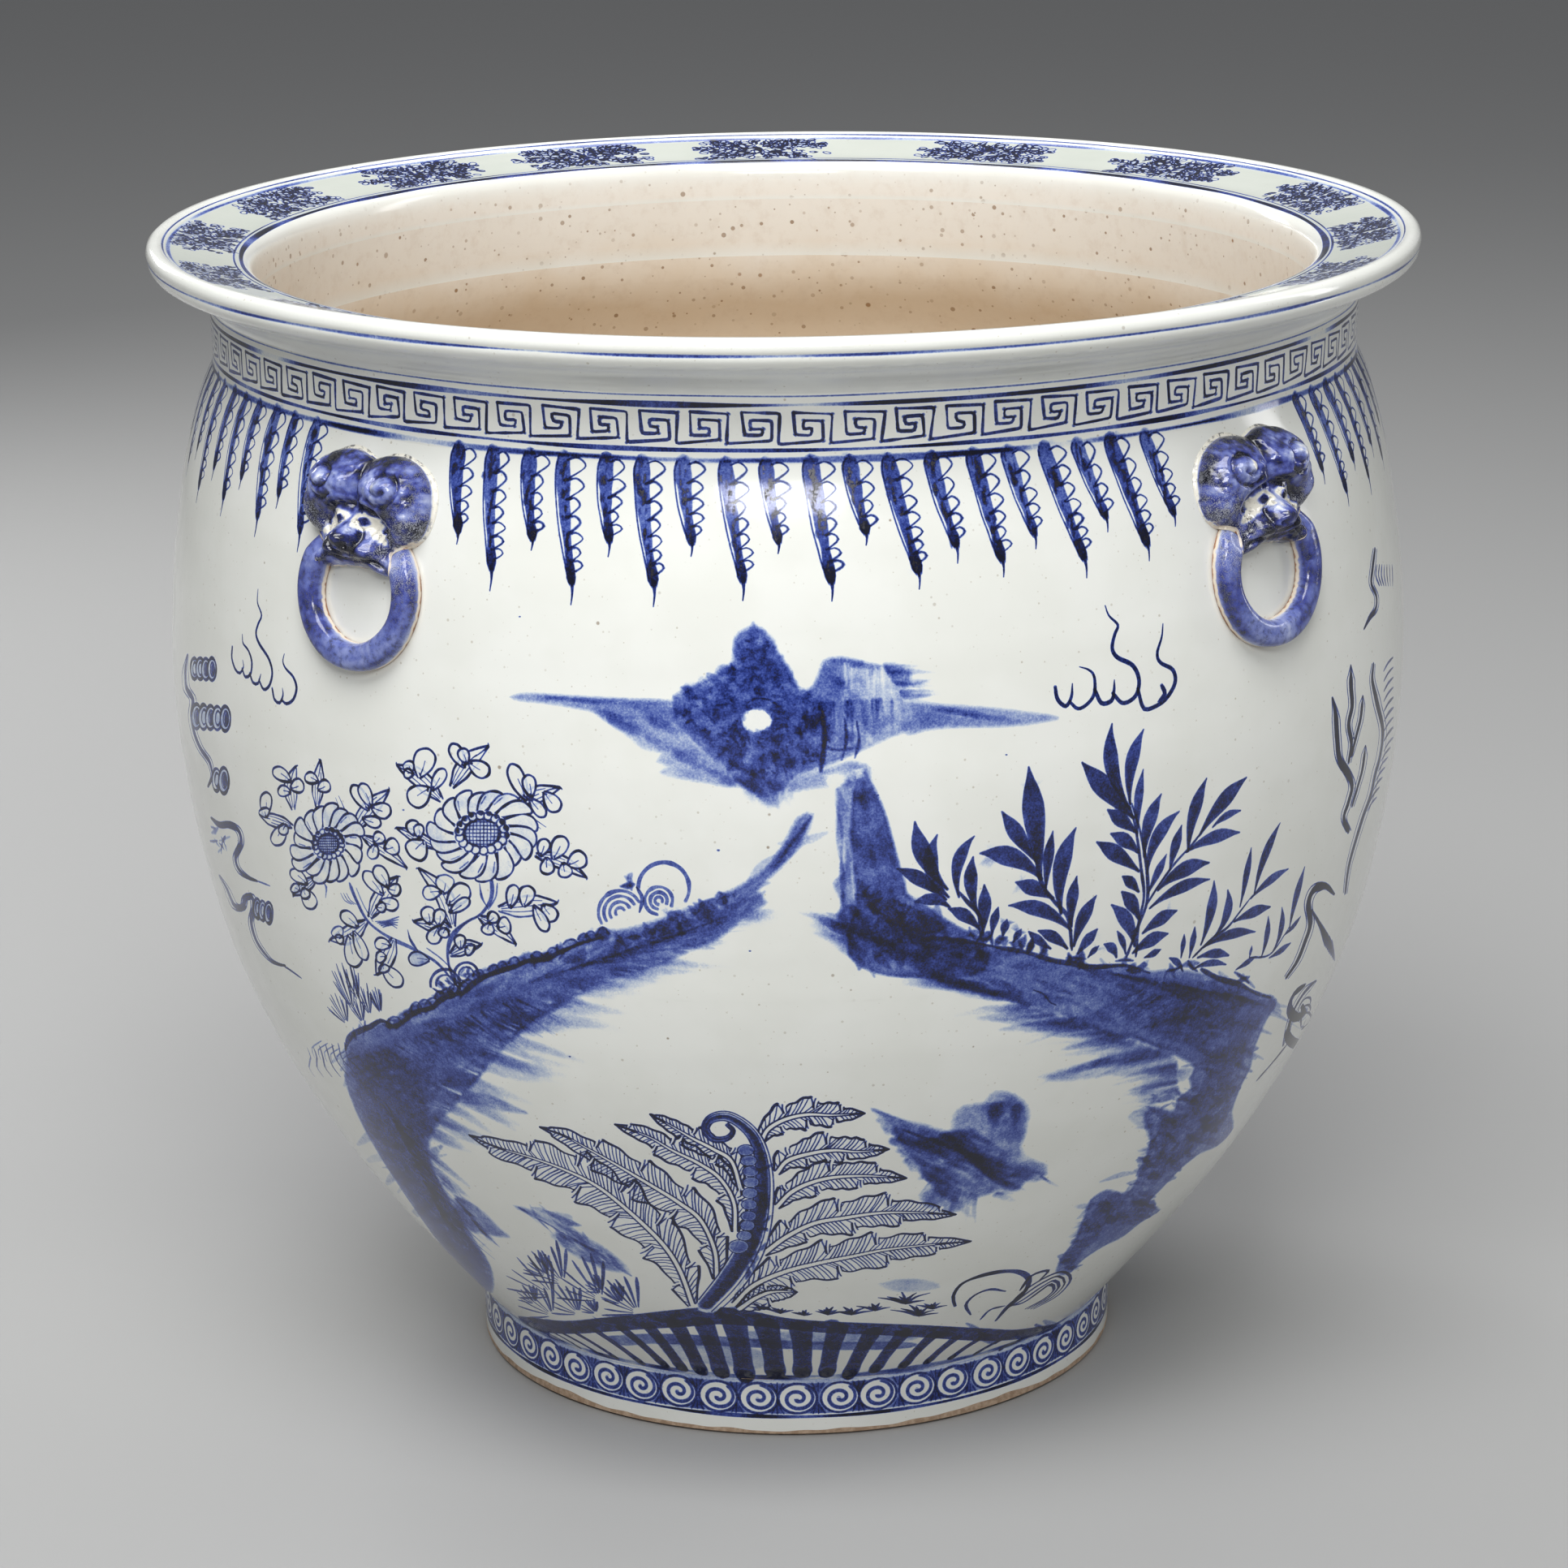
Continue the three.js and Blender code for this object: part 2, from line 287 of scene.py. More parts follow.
def add(tu, w, d=0.8, soft=0.35, pool=0.0, kind="ink", thin=None, pw=2.0):
    """tu (n, 2) of (theta, u); w half-width mm, number or n values."""
    tu = np.asarray(tu, float)
    if len(tu) < 2:
        return
    w = np.full(len(tu), float(w)) if np.ndim(w) == 0 else np.interp(np.linspace(0, 1, len(tu)), np.linspace(0, 1, len(w)), w)
    d = np.full(len(tu), float(d)) if np.ndim(d) == 0 else np.interp(np.linspace(0, 1, len(tu)), np.linspace(0, 1, len(d)), d)
    if np.isnan(tu).any():
        # part of it runs off the edge of the view: keep the longest run that does not
        ok = np.concatenate([[0], (~np.isnan(tu).any(1)).astype(int), [0]])
        a, b = np.where(np.diff(ok) == 1)[0], np.where(np.diff(ok) == -1)[0]
        if not len(a) or (b - a).max() < 2:
            return
        i = int(np.argmax(b - a))
        tu, w, d = tu[a[i]:b[i]], w[a[i]:b[i]], d[a[i]:b[i]]
    STROKES.append(dict(p=tu, w=w, d=d, s=float(soft), pool=float(pool), k=kind, thin=thin))


def taper(n, a=0.15, b=0.5, lo=0.25, pw=1.0):
    """Brush pressure along n points: quick start, long tail."""
    t = np.linspace(0, 1, n)
    v = np.minimum(1, lo + (1 - lo) * np.minimum(t / max(a, 1e-6), (1 - t) / max(b, 1e-6)) ** pw)
    return v


def brush(pts, w, d=0.8, to=px, a=0.12, b=0.35, lo=0.3, soft=0.35, pool=0.0, step=None, jit=0.0, kind="ink", wv=0.12):
    """One painted stroke through control points."""
    p = smooth(pts, step=step or (6.0 if to is px else 2.2))
    tu = to(p)
    n = len(tu)
    if n < 2:
        return
    ww = w * taper(n, a, b, lo)
    if wv:
        ww = ww * (1 + wv * np.interp(np.linspace(0, 1, n), np.linspace(0, 1, max(2, n // 4 + 2)), rng.normal(0, 1, max(2, n // 4 + 2))))
    dd = d * (1 + 0.10 * np.interp(np.linspace(0, 1, n), np.linspace(0, 1, max(2, n // 5 + 2)), rng.normal(0, 1, max(2, n // 5 + 2))))
    add(tu, np.maximum(ww, 0.12), np.clip(dd, 0.05, 1.0), soft, pool, kind)


def loc(o, tang=None):
    """A local frame in mm at (theta, u): returns f(points in mm) -> (theta, u)."""
    th0, u0 = o

    def f(p):
        p = np.atleast_2d(np.asarray(p, float))
        return np.stack([th0 + p[:, 0] / r_of(u0 + p[:, 1]), u0 + p[:, 1]], 1)
    return f


def area(poly, d, soft=2.0, to=px, noise=0.2, scale=9.0, kind="ink", pool=0.0, grain=2.3, edge=0.0, closed=True, grad=None):
    """A wash inside a closed outline."""
    q = smooth(list(poly) + [poly[0]], step=7.0 if to is px else 2.5)[:-1]
    tu = to(q)
    tu = tu[~np.isnan(tu).any(1)]
    if len(tu) < 3:
        return
    STROKES.append(dict(p=tu, w=None, d=float(d), s=float(soft), pool=float(pool), k=kind, noise=noise, scale=scale, area=True,
                        grain=grain, edge=edge, grad=grad, thin=None))


# ------------------------------------------------------------------ turning strokes into mesh lines
def lines_of(st):
    """Lines that the surface mesh must hold for one stroke, as (theta, u) arrays."""
    p = st["p"]
    if st.get("area"):
        if st["k"] == "erase" and not st["grain"]:
            return []
        ring = np.vstack([p, p[:1]])
        if st["k"] != "ink" or st["s"] < 0.45 or st["d"] < 0.12:
            return [ring]
        r = r_of(p[:, 1])
        q = np.stack([p[:, 0] * r.mean(), p[:, 1]], 1)
        e = np.roll(q, -1, 0) - q
        e /= np.hypot(e[:, 0], e[:, 1])[:, None] + 1e-9
        t = e + np.roll(e, 1, 0)
        t /= np.hypot(t[:, 0], t[:, 1])[:, None] + 1e-6
        sg = 1 if (q[:, 0] * np.roll(q[:, 1], -1) - np.roll(q[:, 0], -1) * q[:, 1]).sum() > 0 else -1
        n = np.stack([t[:, 1], -t[:, 0]], 1) * sg
        out = []
        for o in (-0.5, 0.0, 0.5):
            z = q + n * o * st["s"]
            z = np.stack([z[:, 0] / r.mean(), z[:, 1]], 1)
            out.append(np.vstack([z, z[:1]]))
        return out
    r = r_of(p[:, 1])
    x = p[:, 0] * r
    t = np.gradient(np.stack([p[:, 0], p[:, 1]], 1), axis=0)
    tx = t[:, 0] * r
    ty = t[:, 1]
    L = np.hypot(tx, ty) + 1e-9
    nx, ny = -ty / L, tx / L
    w, s = st["w"], st["s"]
    big = float(w.max())
    if st["thin"] or (st["thin"] is None and big < 0.55):
        offs = [(0, 0), (1, 1)]
        sets = [np.zeros(len(w)), w + s * 0.5, -(w + s * 0.5)]
    else:
        a = np.maximum(w - s * 0.5, w * 0.35)
        b = w + s * 0.5
        sets = [a, -a, b, -b]
        if big > 2.2:
            sets.append(np.zeros(len(w)))
    out = []
    for o in sets:
        out.append(np.stack([p[:, 0] + nx * o / r, p[:, 1] + ny * o], 1))
    if not st.get("loop") and not st.get("open_ends"):
        # rounded caps, so that the ink ends where the brush did
        for e, sg in ((0, -1), (-1, 1)):
            b = (w[e] + s * 0.5) * 1.02
            dx, dy = sg * tx[e] / L[e], sg * ty[e] / L[e]
            ang = np.array([-1.0, -0.5, 0.0, 0.5, 1.0]) * math.pi / 2
            cx = p[e, 0] + (dx * np.cos(ang) + nx[e] * np.sin(ang)) * b / r[e]
            cy = p[e, 1] + (dy * np.cos(ang) + ny[e] * np.sin(ang)) * b
            out.append(np.stack([cx, cy], 1))
    return out


def clip_line(q, u0, u1):
    """Cut a (theta, u) run to u0..u1 and theta to -pi..pi, wrapped copies included."""
    res = []
    for sh in (0.0, TAU, -TAU):
        a = q.copy()
        a[:, 0] += sh
        if a[:, 0].max() <= -math.pi or a[:, 0].min() >= math.pi:
            continue
        if a[:, 1].max() <= u0 or a[:, 1].min() >= u1:
            continue
        inside = (a[:, 0] >= -math.pi) & (a[:, 0] <= math.pi) & (a[:, 1] >= u0) & (a[:, 1] <= u1)
        if inside.all():
            res.append(a)
            continue
        run = []
        for i in range(len(a) - 1):
            p0, p1 = a[i], a[i + 1]
            t0, t1 = 0.0, 1.0
            d = p1 - p0
            ok = True
            for ax, lo, hi in ((0, -math.pi, math.pi), (1, u0, u1)):
                if abs(d[ax]) < 1e-12:
                    if p0[ax] < lo or p0[ax] > hi:
                        ok = False
                        break
                else:
                    ta, tb = (lo - p0[ax]) / d[ax], (hi - p0[ax]) / d[ax]
                    if ta > tb:
                        ta, tb = tb, ta
                    t0, t1 = max(t0, ta), min(t1, tb)
            if not ok or t0 >= t1:
                if len(run) > 1:
                    res.append(np.array(run))
                run = []
                continue
            A, B = p0 + d * t0, p0 + d * t1
            for Q in (A, B):
                for ax, lim in ((0, math.pi), (0, -math.pi), (1, u0), (1, u1)):
                    if abs(Q[ax] - lim) < (1e-7 if ax == 0 else 1e-5):
                        Q[ax] = lim
            if not run:
                run = [A, B]
            else:
                run.append(B)
            if t1 < 1.0:
                res.append(np.array(run))
                run = []
        if len(run) > 1:
            res.append(np.array(run))
    return res


# ------------------------------------------------------------------ banded decoration
def ring_line(u, w, d, soft=0.35, wander=0.25, n=420, seed=0, dv=0.12, pool=0.0, th0=-math.pi, th1=math.pi):
    """A line brushed all the way round at arc coordinate u."""
    g = np.random.default_rng(seed)
    full = th1 - th0 > TAU - 1e-6
    t = np.linspace(th0, th1, n)
    y = np.zeros(n)
    ww = np.ones(n)
    dd = np.ones(n)
    for k in range(1, 9):
        f = k if k < 5 else k * 3
        y += wander / k * math.cos(g.uniform(0, 6)) * np.sin(f * t + g.uniform(0, 6))
        ww += 0.10 * g.normal() * np.sin((k + 2) * 2 * t + g.uniform(0, 6))
        dd += dv * 0.5 * g.normal() * np.sin((k + 3) * 3 * t + g.uniform(0, 6))
    y[-1] = y[0] if full else y[-1]
    STROKES.append(dict(p=np.stack([t, u + y], 1), w=w * np.clip(ww, 0.5, 1.6), d=np.clip(d * dd, 0.05, 1), s=soft, pool=pool, k="ink", thin=None, loop=full))


def mm(o, pts, w, d, soft=0.3, a=0.1, b=0.2, lo=0.5, pool=0.0, step=1.6, jit=0.0, kind="ink", wv=0.1, smoothed=True):
    """A stroke given in mm about a local origin (theta, u)."""
    p = np.asarray(pts, float)
    p = smooth(p, step=step) if smoothed else p
    if jit:
        p = p + rng.normal(0, jit, p.shape)
    f = loc(o)
    n = len(p)
    ww = w * taper(n, a, b, lo)
    if wv:
        m = max(2, n // 3 + 2)
        ww = ww * (1 + wv * np.interp(np.linspace(0, 1, n), np.linspace(0, 1, m), rng.normal(0, 1, m)))
    m = max(2, n // 4 + 2)
    dd = d * (1 + 0.12 * np.interp(np.linspace(0, 1, n), np.linspace(0, 1, m), rng.normal(0, 1, m)))
    add(f(p), np.maximum(ww, 0.1), np.clip(dd, 0.05, 1), soft, pool, kind)


# --- neck: two lines, key-fret, two lines
def neck_band():
    ring_line(u_z(489.0), 0.32, 0.55, seed=1)
    ring_line(u_z(485.6), 0.85, 0.80, seed=2, dv=0.45, pool=0.25)
    ring_line(u_z(467.3), 0.75, 0.72, seed=3, dv=0.35, pool=0.1)
    ring_line(u_z(463.4), 0.95, 0.58, soft=0.9, seed=4, dv=0.5)
    n = 78
    unit = [(0, 0), (0.76, 0.04), (0.72, 1.03), (1.57, 0.93), (1.57, 0.27), (1.18, 0.25), (1.19, 0.53), (1.39, 0.52), (1.36, 0.74), (1.03, 0.73), (1.0, 0.0)]
    base = u_z(470.4)
    H = 12.4
    pitch = TAU / n
    r = 253.0
    D = rng.normal(0, 0.22, n + 1)
    D[n] = D[0]
    for k in range(n):
        th0 = -math.pi + pitch * (k + 0.15)
        J = rng.normal(0, 0.016, (len(unit), 2))
        J[0] = J[-1] = 0
        P = np.array([((x + J[i, 0]) * pitch * r, base + H - (y + J[i, 1]) * H + D[k] * (1 - min(x, 1)) + D[k + 1] * min(x, 1)) for i, (x, y) in enumerate(unit)])
        q = []
        for i in range(len(P) - 1):
            L = np.hypot(*(P[i + 1] - P[i]))
            m = max(2, int(L / 1.2))
            t = np.arange(m)[:, None] / m
            q.append(P[i] * (1 - t) + P[i + 1] * t)
        q = np.vstack(q + [P[-1][None]])
        q[1:-1] = 0.2 * q[:-2] + 0.6 * q[1:-1] + 0.2 * q[2:]
        n_ = len(q)
        ww = 0.60 * (1 + 0.20 * np.interp(np.arange(n_), np.linspace(0, n_ - 1, n_ // 4 + 2), rng.normal(0, 1, n_ // 4 + 2)))
        dd = 0.86 * (1 + 0.10 * np.interp(np.arange(n_), np.linspace(0, n_ - 1, n_ // 5 + 2), rng.normal(0, 1, n_ // 5 + 2)))
        tu = np.stack([th0 + q[:, 0] / r, q[:, 1]], 1)
        add(tu, np.clip(ww, 0.34, 0.78), np.clip(dd, 0.5, 1.0), 0.32, 0.1, thin=False)
        for i in (1, 2, 3, 4, 5, 6, 7, 8, 9):
            if rng.random() < 0.65:
                c = P[i]
                e = rng.normal(0, 0.12, 2)
                add(np.array([[th0 + (c[0] - 0.3) / r, c[1] + e[1]], [th0 + (c[0] + 0.3) / r, c[1] - e[1]]]), 0.52 + 0.2 * rng.random(), 0.7, 0.4, 0.3)


# --- tassel strokes hanging below the neck
def drip(th, L, lean, w, seed):
    """th azimuth, L length in mm down to the blob."""
    g = np.random.default_rng(seed)
    u0 = U_CREASE + 1.4
    n = int(L / 2.2) + 4
    t = np.linspace(0, 1, n)
    s = L * t
    side = lean * (t ** 1.25) * L + g.normal(0, 0.25) * np.sin(t * 3.0 + g.uniform(0, 3))
    f = loc((th, u0))
    wd = w * np.interp(t, [0, 0.05, 0.13, 0.28, 0.45, 0.60, 0.72, 0.82, 0.90, 0.96, 1.0], [0.80, 0.94, 1.0, 0.92, 0.78, 0.66, 0.50, 0.54, 0.70, 0.66, 0.46])
    wd = wd * (1 + 0.06 * np.sin(t * 23 + g.uniform(0, 6)))
    base = np.interp(t, [0, 0.1, 0.5, 0.8, 0.9, 1], [0.62, 0.54, 0.52, 0.62, 0.88, 0.94]) * (1 + 0.08 * g.normal())
    add(f(np.stack([side, -s], 1)), np.maximum(wd, 0.3), np.clip(base, 0.4, 1), 0.5, 0.15)
    # darker granular core, drawn in dabs
    for _ in range(int(L / 1.9)):
        x = g.uniform(0.02, 0.95)
        i = int(x * (n - 1))
        l = 1.2 + 3.6 * g.random()
        ox = g.normal(0, 0.36) * wd[i]
        q = np.array([[side[i] + ox, -s[i]], [side[i] + ox + 0.1, -s[i] - l / 2], [side[i] + ox * 0.8, -s[i] - l]])
        add(f(q), wd[i] * (0.16 + 0.30 * g.random()) * np.array([0.6, 1, 0.5]), 0.42 + 0.40 * g.random(), 0.6, 1.0, thin=True)
    # tail below the blob
    tl = L * (0.13 + 0.06 * g.random())
    q = np.array([[side[-1] - 0.1, -L + 1.5], [side[-1] + lean * tl * 0.3, -L - tl * 0.45], [side[-1] + lean * tl * 0.4 - 0.5, -L - tl]])
    add(f(smooth(q, step=1.6)), np.array([1.0, 0.46, 0.22]), 0.82, 0.3)
    # thin line on the left: out from the top, back in lower down
    x = np.array([0.0, 0.08, 0.2, 0.4, 0.58, 0.72, 0.84, 0.95])
    o = np.array([0.2, -1.4, -3.0, -3.7, -3.3, -2.4, -1.2, 0.1]) * (w / 3.9) * (1 + 0.1 * g.normal())
    ls = np.interp(x, t, side) + o - np.interp(x, t, wd) * np.array([0.9, 0.7, 0.35, 0.2, 0.3, 0.5, 0.7, 0.8])
    add(f(smooth(np.stack([ls, -x * L], 1), step=1.9)), np.array([0.52, 0.42, 0.36, 0.36, 0.40, 0.44]), 0.82, 0.28)
    # a running row of hooked scallops down the right, the hand never lifted
    m = max(4, int(round(L / 7.0)))
    hs = np.linspace(6.4, 3.4, m)
    hs *= 0.90 * L / hs.sum()
    y, pts = 1.2, []
    for i in range(m):
        tt = (y + hs[i] / 2) / L
        sd = np.interp(tt, t, side) + np.interp(tt, t, wd) * 0.70
        wdt = np.interp(i / max(m - 1, 1), [0, 1], [5.8, 3.8]) * (1 + 0.10 * g.normal())
        for kx, ky in ((-0.10, 0.04), (0.42, -0.10), (0.86, 0.08), (1.04, 0.30), (0.84, 0.50), (0.48, 0.72), (0.10, 0.92), (-0.14, 1.02)):
            pts.append((sd + kx * wdt, -(y + ky * hs[i])))
        y += hs[i]
    P = smooth(np.array(pts), step=1.0)
    wv = 0.48 * (1 + 0.22 * np.interp(np.arange(len(P)), np.linspace(0, len(P) - 1, len(P) // 6 + 2), g.normal(0, 1, len(P) // 6 + 2)))
    add(f(P), np.clip(wv, 0.30, 0.68), 0.88, 0.28, 0.2, thin=True)


def drips():
    # long and short in turn round the shoulder, left out behind each mask
    pitch = math.radians(3.62)
    n = int(round(TAU / pitch))
    n -= n % 2
    pitch = TAU / n
    g = np.random.default_rng(5)
    for k in range(n):
        th = -math.pi + pitch * (k + 0.5) + g.normal(0, 0.0025)
        a = math.degrees(th)
        if any(abs((a - m + 180) % 360 - 180) < 8.6 for m in MASK_AZ):
            continue
        L = (46.0 if k % 2 else 33.0) * (1 + 0.05 * g.normal())
        lean = float(np.interp(a, [-180, -75, -30, 0, 25, 60, 180], [0.10, 0.04, 0.13, 0.17, 0.22, 0.16, 0.10])) + 0.015 * g.normal()
        drip(th, L, lean, 3.25 * (1 + 0.07 * g.normal()), 100 + k)


# --- foot: rolling spirals between lines
def foot_band():
    ring_line(U_FOOT + 2.2, 2.0, 0.40, soft=1.1, wander=0.5, seed=11, dv=0.6)
    ring_line(U_FOOT + 2.6, 0.8, 0.26, soft=1.4, wander=0.7, seed=15, dv=0.8, pool=0.3)
    ring_line(U_FOOT - 0.7, 0.9, 0.16, soft=0.8, seed=14)
    ring_line(u_z(9.6), 0.75, 0.84, seed=13, dv=0.2, pool=0.25)
    zc = float(u_z(18.2))
    t = np.linspace(-math.pi, math.pi, 260)
    STROKES.append(dict(p=np.stack([t, np.full_like(t, zc)], 1), w=np.full(len(t), 7.3), d=np.full(len(t), 0.36), s=0.6, pool=0.0, k="ink", thin=None, loop=True))
    n = 51
    g = np.random.default_rng(3)
    W = TAU / n * 146.2
    for k in range(n):
        th = -math.pi + TAU * (k + 0.5) / n + g.normal(0, 0.0025)
        # between two discs: blue triangles above and below, short hatches
        fm = loc((th + TAU / n / 2, zc))
        for sy in (1, -1):
            tri = np.array([(-3.6, 7.0), (0.1, 1.7), (3.6, 7.0)]) * (1, sy)
            STROKES.append(dict(p=fm(tri), w=None, d=0.48 if (k + sy) % 3 else 0.62, s=0.5, pool=0.1, k="ink", noise=0.3, scale=5.0, area=True, grain=0, edge=0.0, grad=None, thin=None))
            for j in range(3):
                x0 = -2.6 + 2.6 * j + g.normal(0, 0.2)
                add(fm(np.array([[x0, sy * 7.4], [x0 * 0.5, sy * (4.6 - 1.2 * (j == 1))]])), 0.32, 0.7, 0.35)
    for k in range(n):
        th = -math.pi + TAU * (k + 0.5) / n + g.normal(0, 0.0025)
        Rx, Ry = W * 0.475 + g.normal(0, 0.12), 7.2 + g.normal(0, 0.15)
        f = loc((th, zc + g.normal(0, 0.12)))
        a = np.linspace(0, TAU, 22)[:-1]
        disc = np.stack([np.cos(a) * Rx, np.sin(a) * Ry], 1)
        STROKES.append(dict(p=f(disc), w=None, d=0.95, s=0.35, pool=0.0, k="erase", noise=0.0, scale=9.0, area=True, grain=0, edge=0.0, grad=None, thin=None))
        ph = g.uniform(-0.3, 0.3)
        a2 = np.linspace(0, TAU * 1.01, 24) + ph
        add(f(np.stack([np.cos(a2) * Rx, np.sin(a2) * Ry], 1)), 0.62 * (1 + 0.12 * g.normal()), 0.72, 0.4, 0.2, thin=False)
        s = np.linspace(0, 1, 40)
        rr = 0.80 * (1 - s) ** 0.85 + 0.09
        aa = ph + 1.2 - s * TAU * 1.55
        add(f(np.stack([np.cos(aa) * rr * Rx * 0.96, np.sin(aa) * rr * Ry * 0.96], 1)), np.interp(s, [0, 0.2, 0.8, 1], [0.62, 0.86, 0.80, 0.95]), 0.68, 0.45, 0.2, thin=False)
    # the lower edge: glaze stops unevenly, then bare clay
    t = np.linspace(-math.pi, math.pi, 420)
    y = np.zeros_like(t)
    for k in (3, 5, 8, 13, 21, 34, 55):
        y += 0.55 / (k ** 0.42) * np.sin(k * t + g.uniform(0, 6))
    y[-1] = y[0]
    top = u_z(3.6) + y * 1.5
    STROKES.append(dict(p=np.stack([t, top / 2 - 1.0], 1), w=np.maximum(top / 2 + 1.0, 0.8), d=np.ones(len(t)), s=0.45, pool=0.0, k="bare", thin=False, loop=True))


# --- sprigs on the rim
def rim_band():
    ring_line(u_top(272.6), 0.36, 0.74, seed=21, soft=0.3)
    ring_line(u_top(270.2), 0.75, 0.40, seed=22, soft=0.7, dv=0.3)
    ring_line(u_top(241.6), 0.42, 0.70, seed=23, dv=0.25)
    ring_line(u_top(238.6), 1.15, 0.88, seed=24, dv=0.2, pool=0.2)
    # a soft blue line round the lip's groove: partly a painted line, partly painted shade in the groove
    ring_line(U_GROOVE, 0.5, 0.50, soft=0.6, dv=0.5, seed=25)
    g = np.random.default_rng(17)
    azs = [-70.1, -92.2, -114.6, -137.4, -158.2, -178.0, 156.5, 133.2, 108.6, 87.0, 64.0, 43.0, 20.5, -2.0, -24.5, -47.5]
    um = float(u_top(255.8))
    LIM = 14.2

    def loop_at(f, qx, qy, an, s, fill, lw=0.42):
        ca, sa = math.cos(an), math.sin(an)
        t = np.linspace(0, TAU, 10)
        ex, ey = s * 1.5 * (1 - np.cos(t)), s * 0.95 * np.sin(t) * (0.75 + 0.35 * (1 - np.cos(t)) / 2)
        P = np.stack([qx + ex * ca - ey * sa, qy + ex * sa + ey * ca], 1)
        if np.abs(P[:, 1]).max() > LIM + 0.6:
            return
        STROKES.append(dict(p=f(P[:-1]), w=None, d=0.85, s=0.35, pool=0.0, k="erase", noise=0.0, scale=9.0, area=True, grain=0, edge=0.0, grad=None, thin=None))
        add(f(P), lw, 0.88, 0.3, thin=True)
        STROKES[-1]["open_ends"] = True
        if fill:
            add(f(np.stack([P[0], (P[0] + P[5]) / 2, P[5] * 0.9 + P[0] * 0.1])), np.array([0.4, s * 0.5, 0.3]), 0.93, 0.45, 0.3)

    for k, a in enumerate(azs):
        f = loc((math.radians(a + g.normal(0, 0.3)), um))
        flip = 1 if g.random() < 0.5 else -1
        # dense middle
        for j in range(20):
            c = g.normal(0, 1, 2) * (7.5, 4.6)
            if abs(c[1]) > 10:
                continue
            an = g.uniform(0, math.pi)
            L = 3 + 4.5 * g.random()
            e = np.array([math.cos(an), math.sin(an)]) * L / 2
            add(f(smooth(np.array([c - e, c + g.normal(0, 0.5, 2), c + e]), step=1.6)), (0.9 + 1.0 * g.random()) * np.array([0.4, 1, 0.8, 0.3]), 0.76 + 0.15 * g.random(), 0.6, 0.4)
        for j, (bx, by, an, L) in enumerate([(-2, 1, 2.98, 29), (-3, -3, 3.38, 27), (-3, 5, 2.72, 26), (2, -1, 0.1, 30), (3, 4, 0.42, 27), (3, -4, -0.32, 27), (-1, 4, 2.0, 12), (2, 4, 1.1, 12),
                                             (-2, -5, 4.3, 12), (2, -5, 5.2, 12), (-8, 1, 2.2, 14), (8, 0, -0.9, 14), (9, 2, 0.95, 14), (-9, -2, 4.05, 14), (-16, 2, 2.0, 11), (16, -2, -1.1, 11), (-15, -3, 4.3, 10), (15, 3, 1.2, 10)]):
            an = an * flip + g.normal(0, 0.10)
            by *= flip
            dx, dy = math.cos(an), math.sin(an)
            if abs(by + L * dy) > 12.8:
                L = abs((12.8 - by * np.sign(dy)) / (abs(dy) + 1e-6))
            L *= 1 + g.normal(0, 0.06)
            m = max(2, int(L / 3.4))
            bend = g.normal(0, 0.07)
            q = [(bx + dx * L * t - dy * bend * L * t * t, by + dy * L * t + dx * bend * L * t * t) for t in np.linspace(0, 1, m + 2)]
            add(f(smooth(np.array(q), step=1.9)), 0.34, 0.85, 0.3)
            for i, (qx, qy) in enumerate(q[1:]):
                end = i == len(q) - 2
                for sd in (-1, 1):
                    if g.random() < 0.10:
                        continue
                    loop_at(f, qx, qy, an + sd * (0.75 + 0.25 * g.random()) * (1 if not end else 0.5), (1.15 + 0.5 * g.random()) * (1.0 if not end else 1.15), g.random() < 0.6)
        # scrolls in rows out to both ends
        for xx in np.arange(-29, 29.1, 4.6):
            for yy in np.arange(-11.5, 11.6, 3.9):
                x, y = xx + g.normal(0, 0.8), yy + g.normal(0, 0.6)
                if g.random() < 0.16 or abs(x) + 0.5 * abs(y) > 33 or abs(y) > 12.6:
                    continue
                loop_at(f, x, y, math.atan2(y * 0.8, x) + g.normal(0, 0.7), 1.15 + 0.5 * g.random(), g.random() < 0.5)
        # dark leaf dabs thrown among them
        for j in range(46):
            x, y = g.uniform(-30, 30), g.uniform(-12.4, 12.4)
            if (x / 33) ** 4 + (y / 14) ** 4 > 0.9:
                continue
            an = math.atan2(y, x) + g.normal(0, 0.5)
            L = 2.0 + 1.6 * g.random()
            e = np.array([math.cos(an), math.sin(an)]) * L / 2
            add(f(np.array([(x, y) - e, (x, y), (x, y) + e])), (0.65 + 0.35 * g.random()) * np.array([0.4, 1, 0.3]), 0.94, 0.4, 0.4)


MASK_AZ = [-40.0, 46.5, 137.0, -133.0]


# ------------------------------------------------------------------ the painted scene on the front
MPX = 0.33        # mm for one picture unit near the front


def at(ox, oy, s):
    """A drawing sheet: its points are (x, y) / s from (ox, oy) in picture units."""
    def f(p):
        p = np.atleast_2d(np.asarray(p, float))
        return np.stack([ox + p[:, 0] / s, oy + p[:, 1] / s], 1)
    f.s = s
    return f


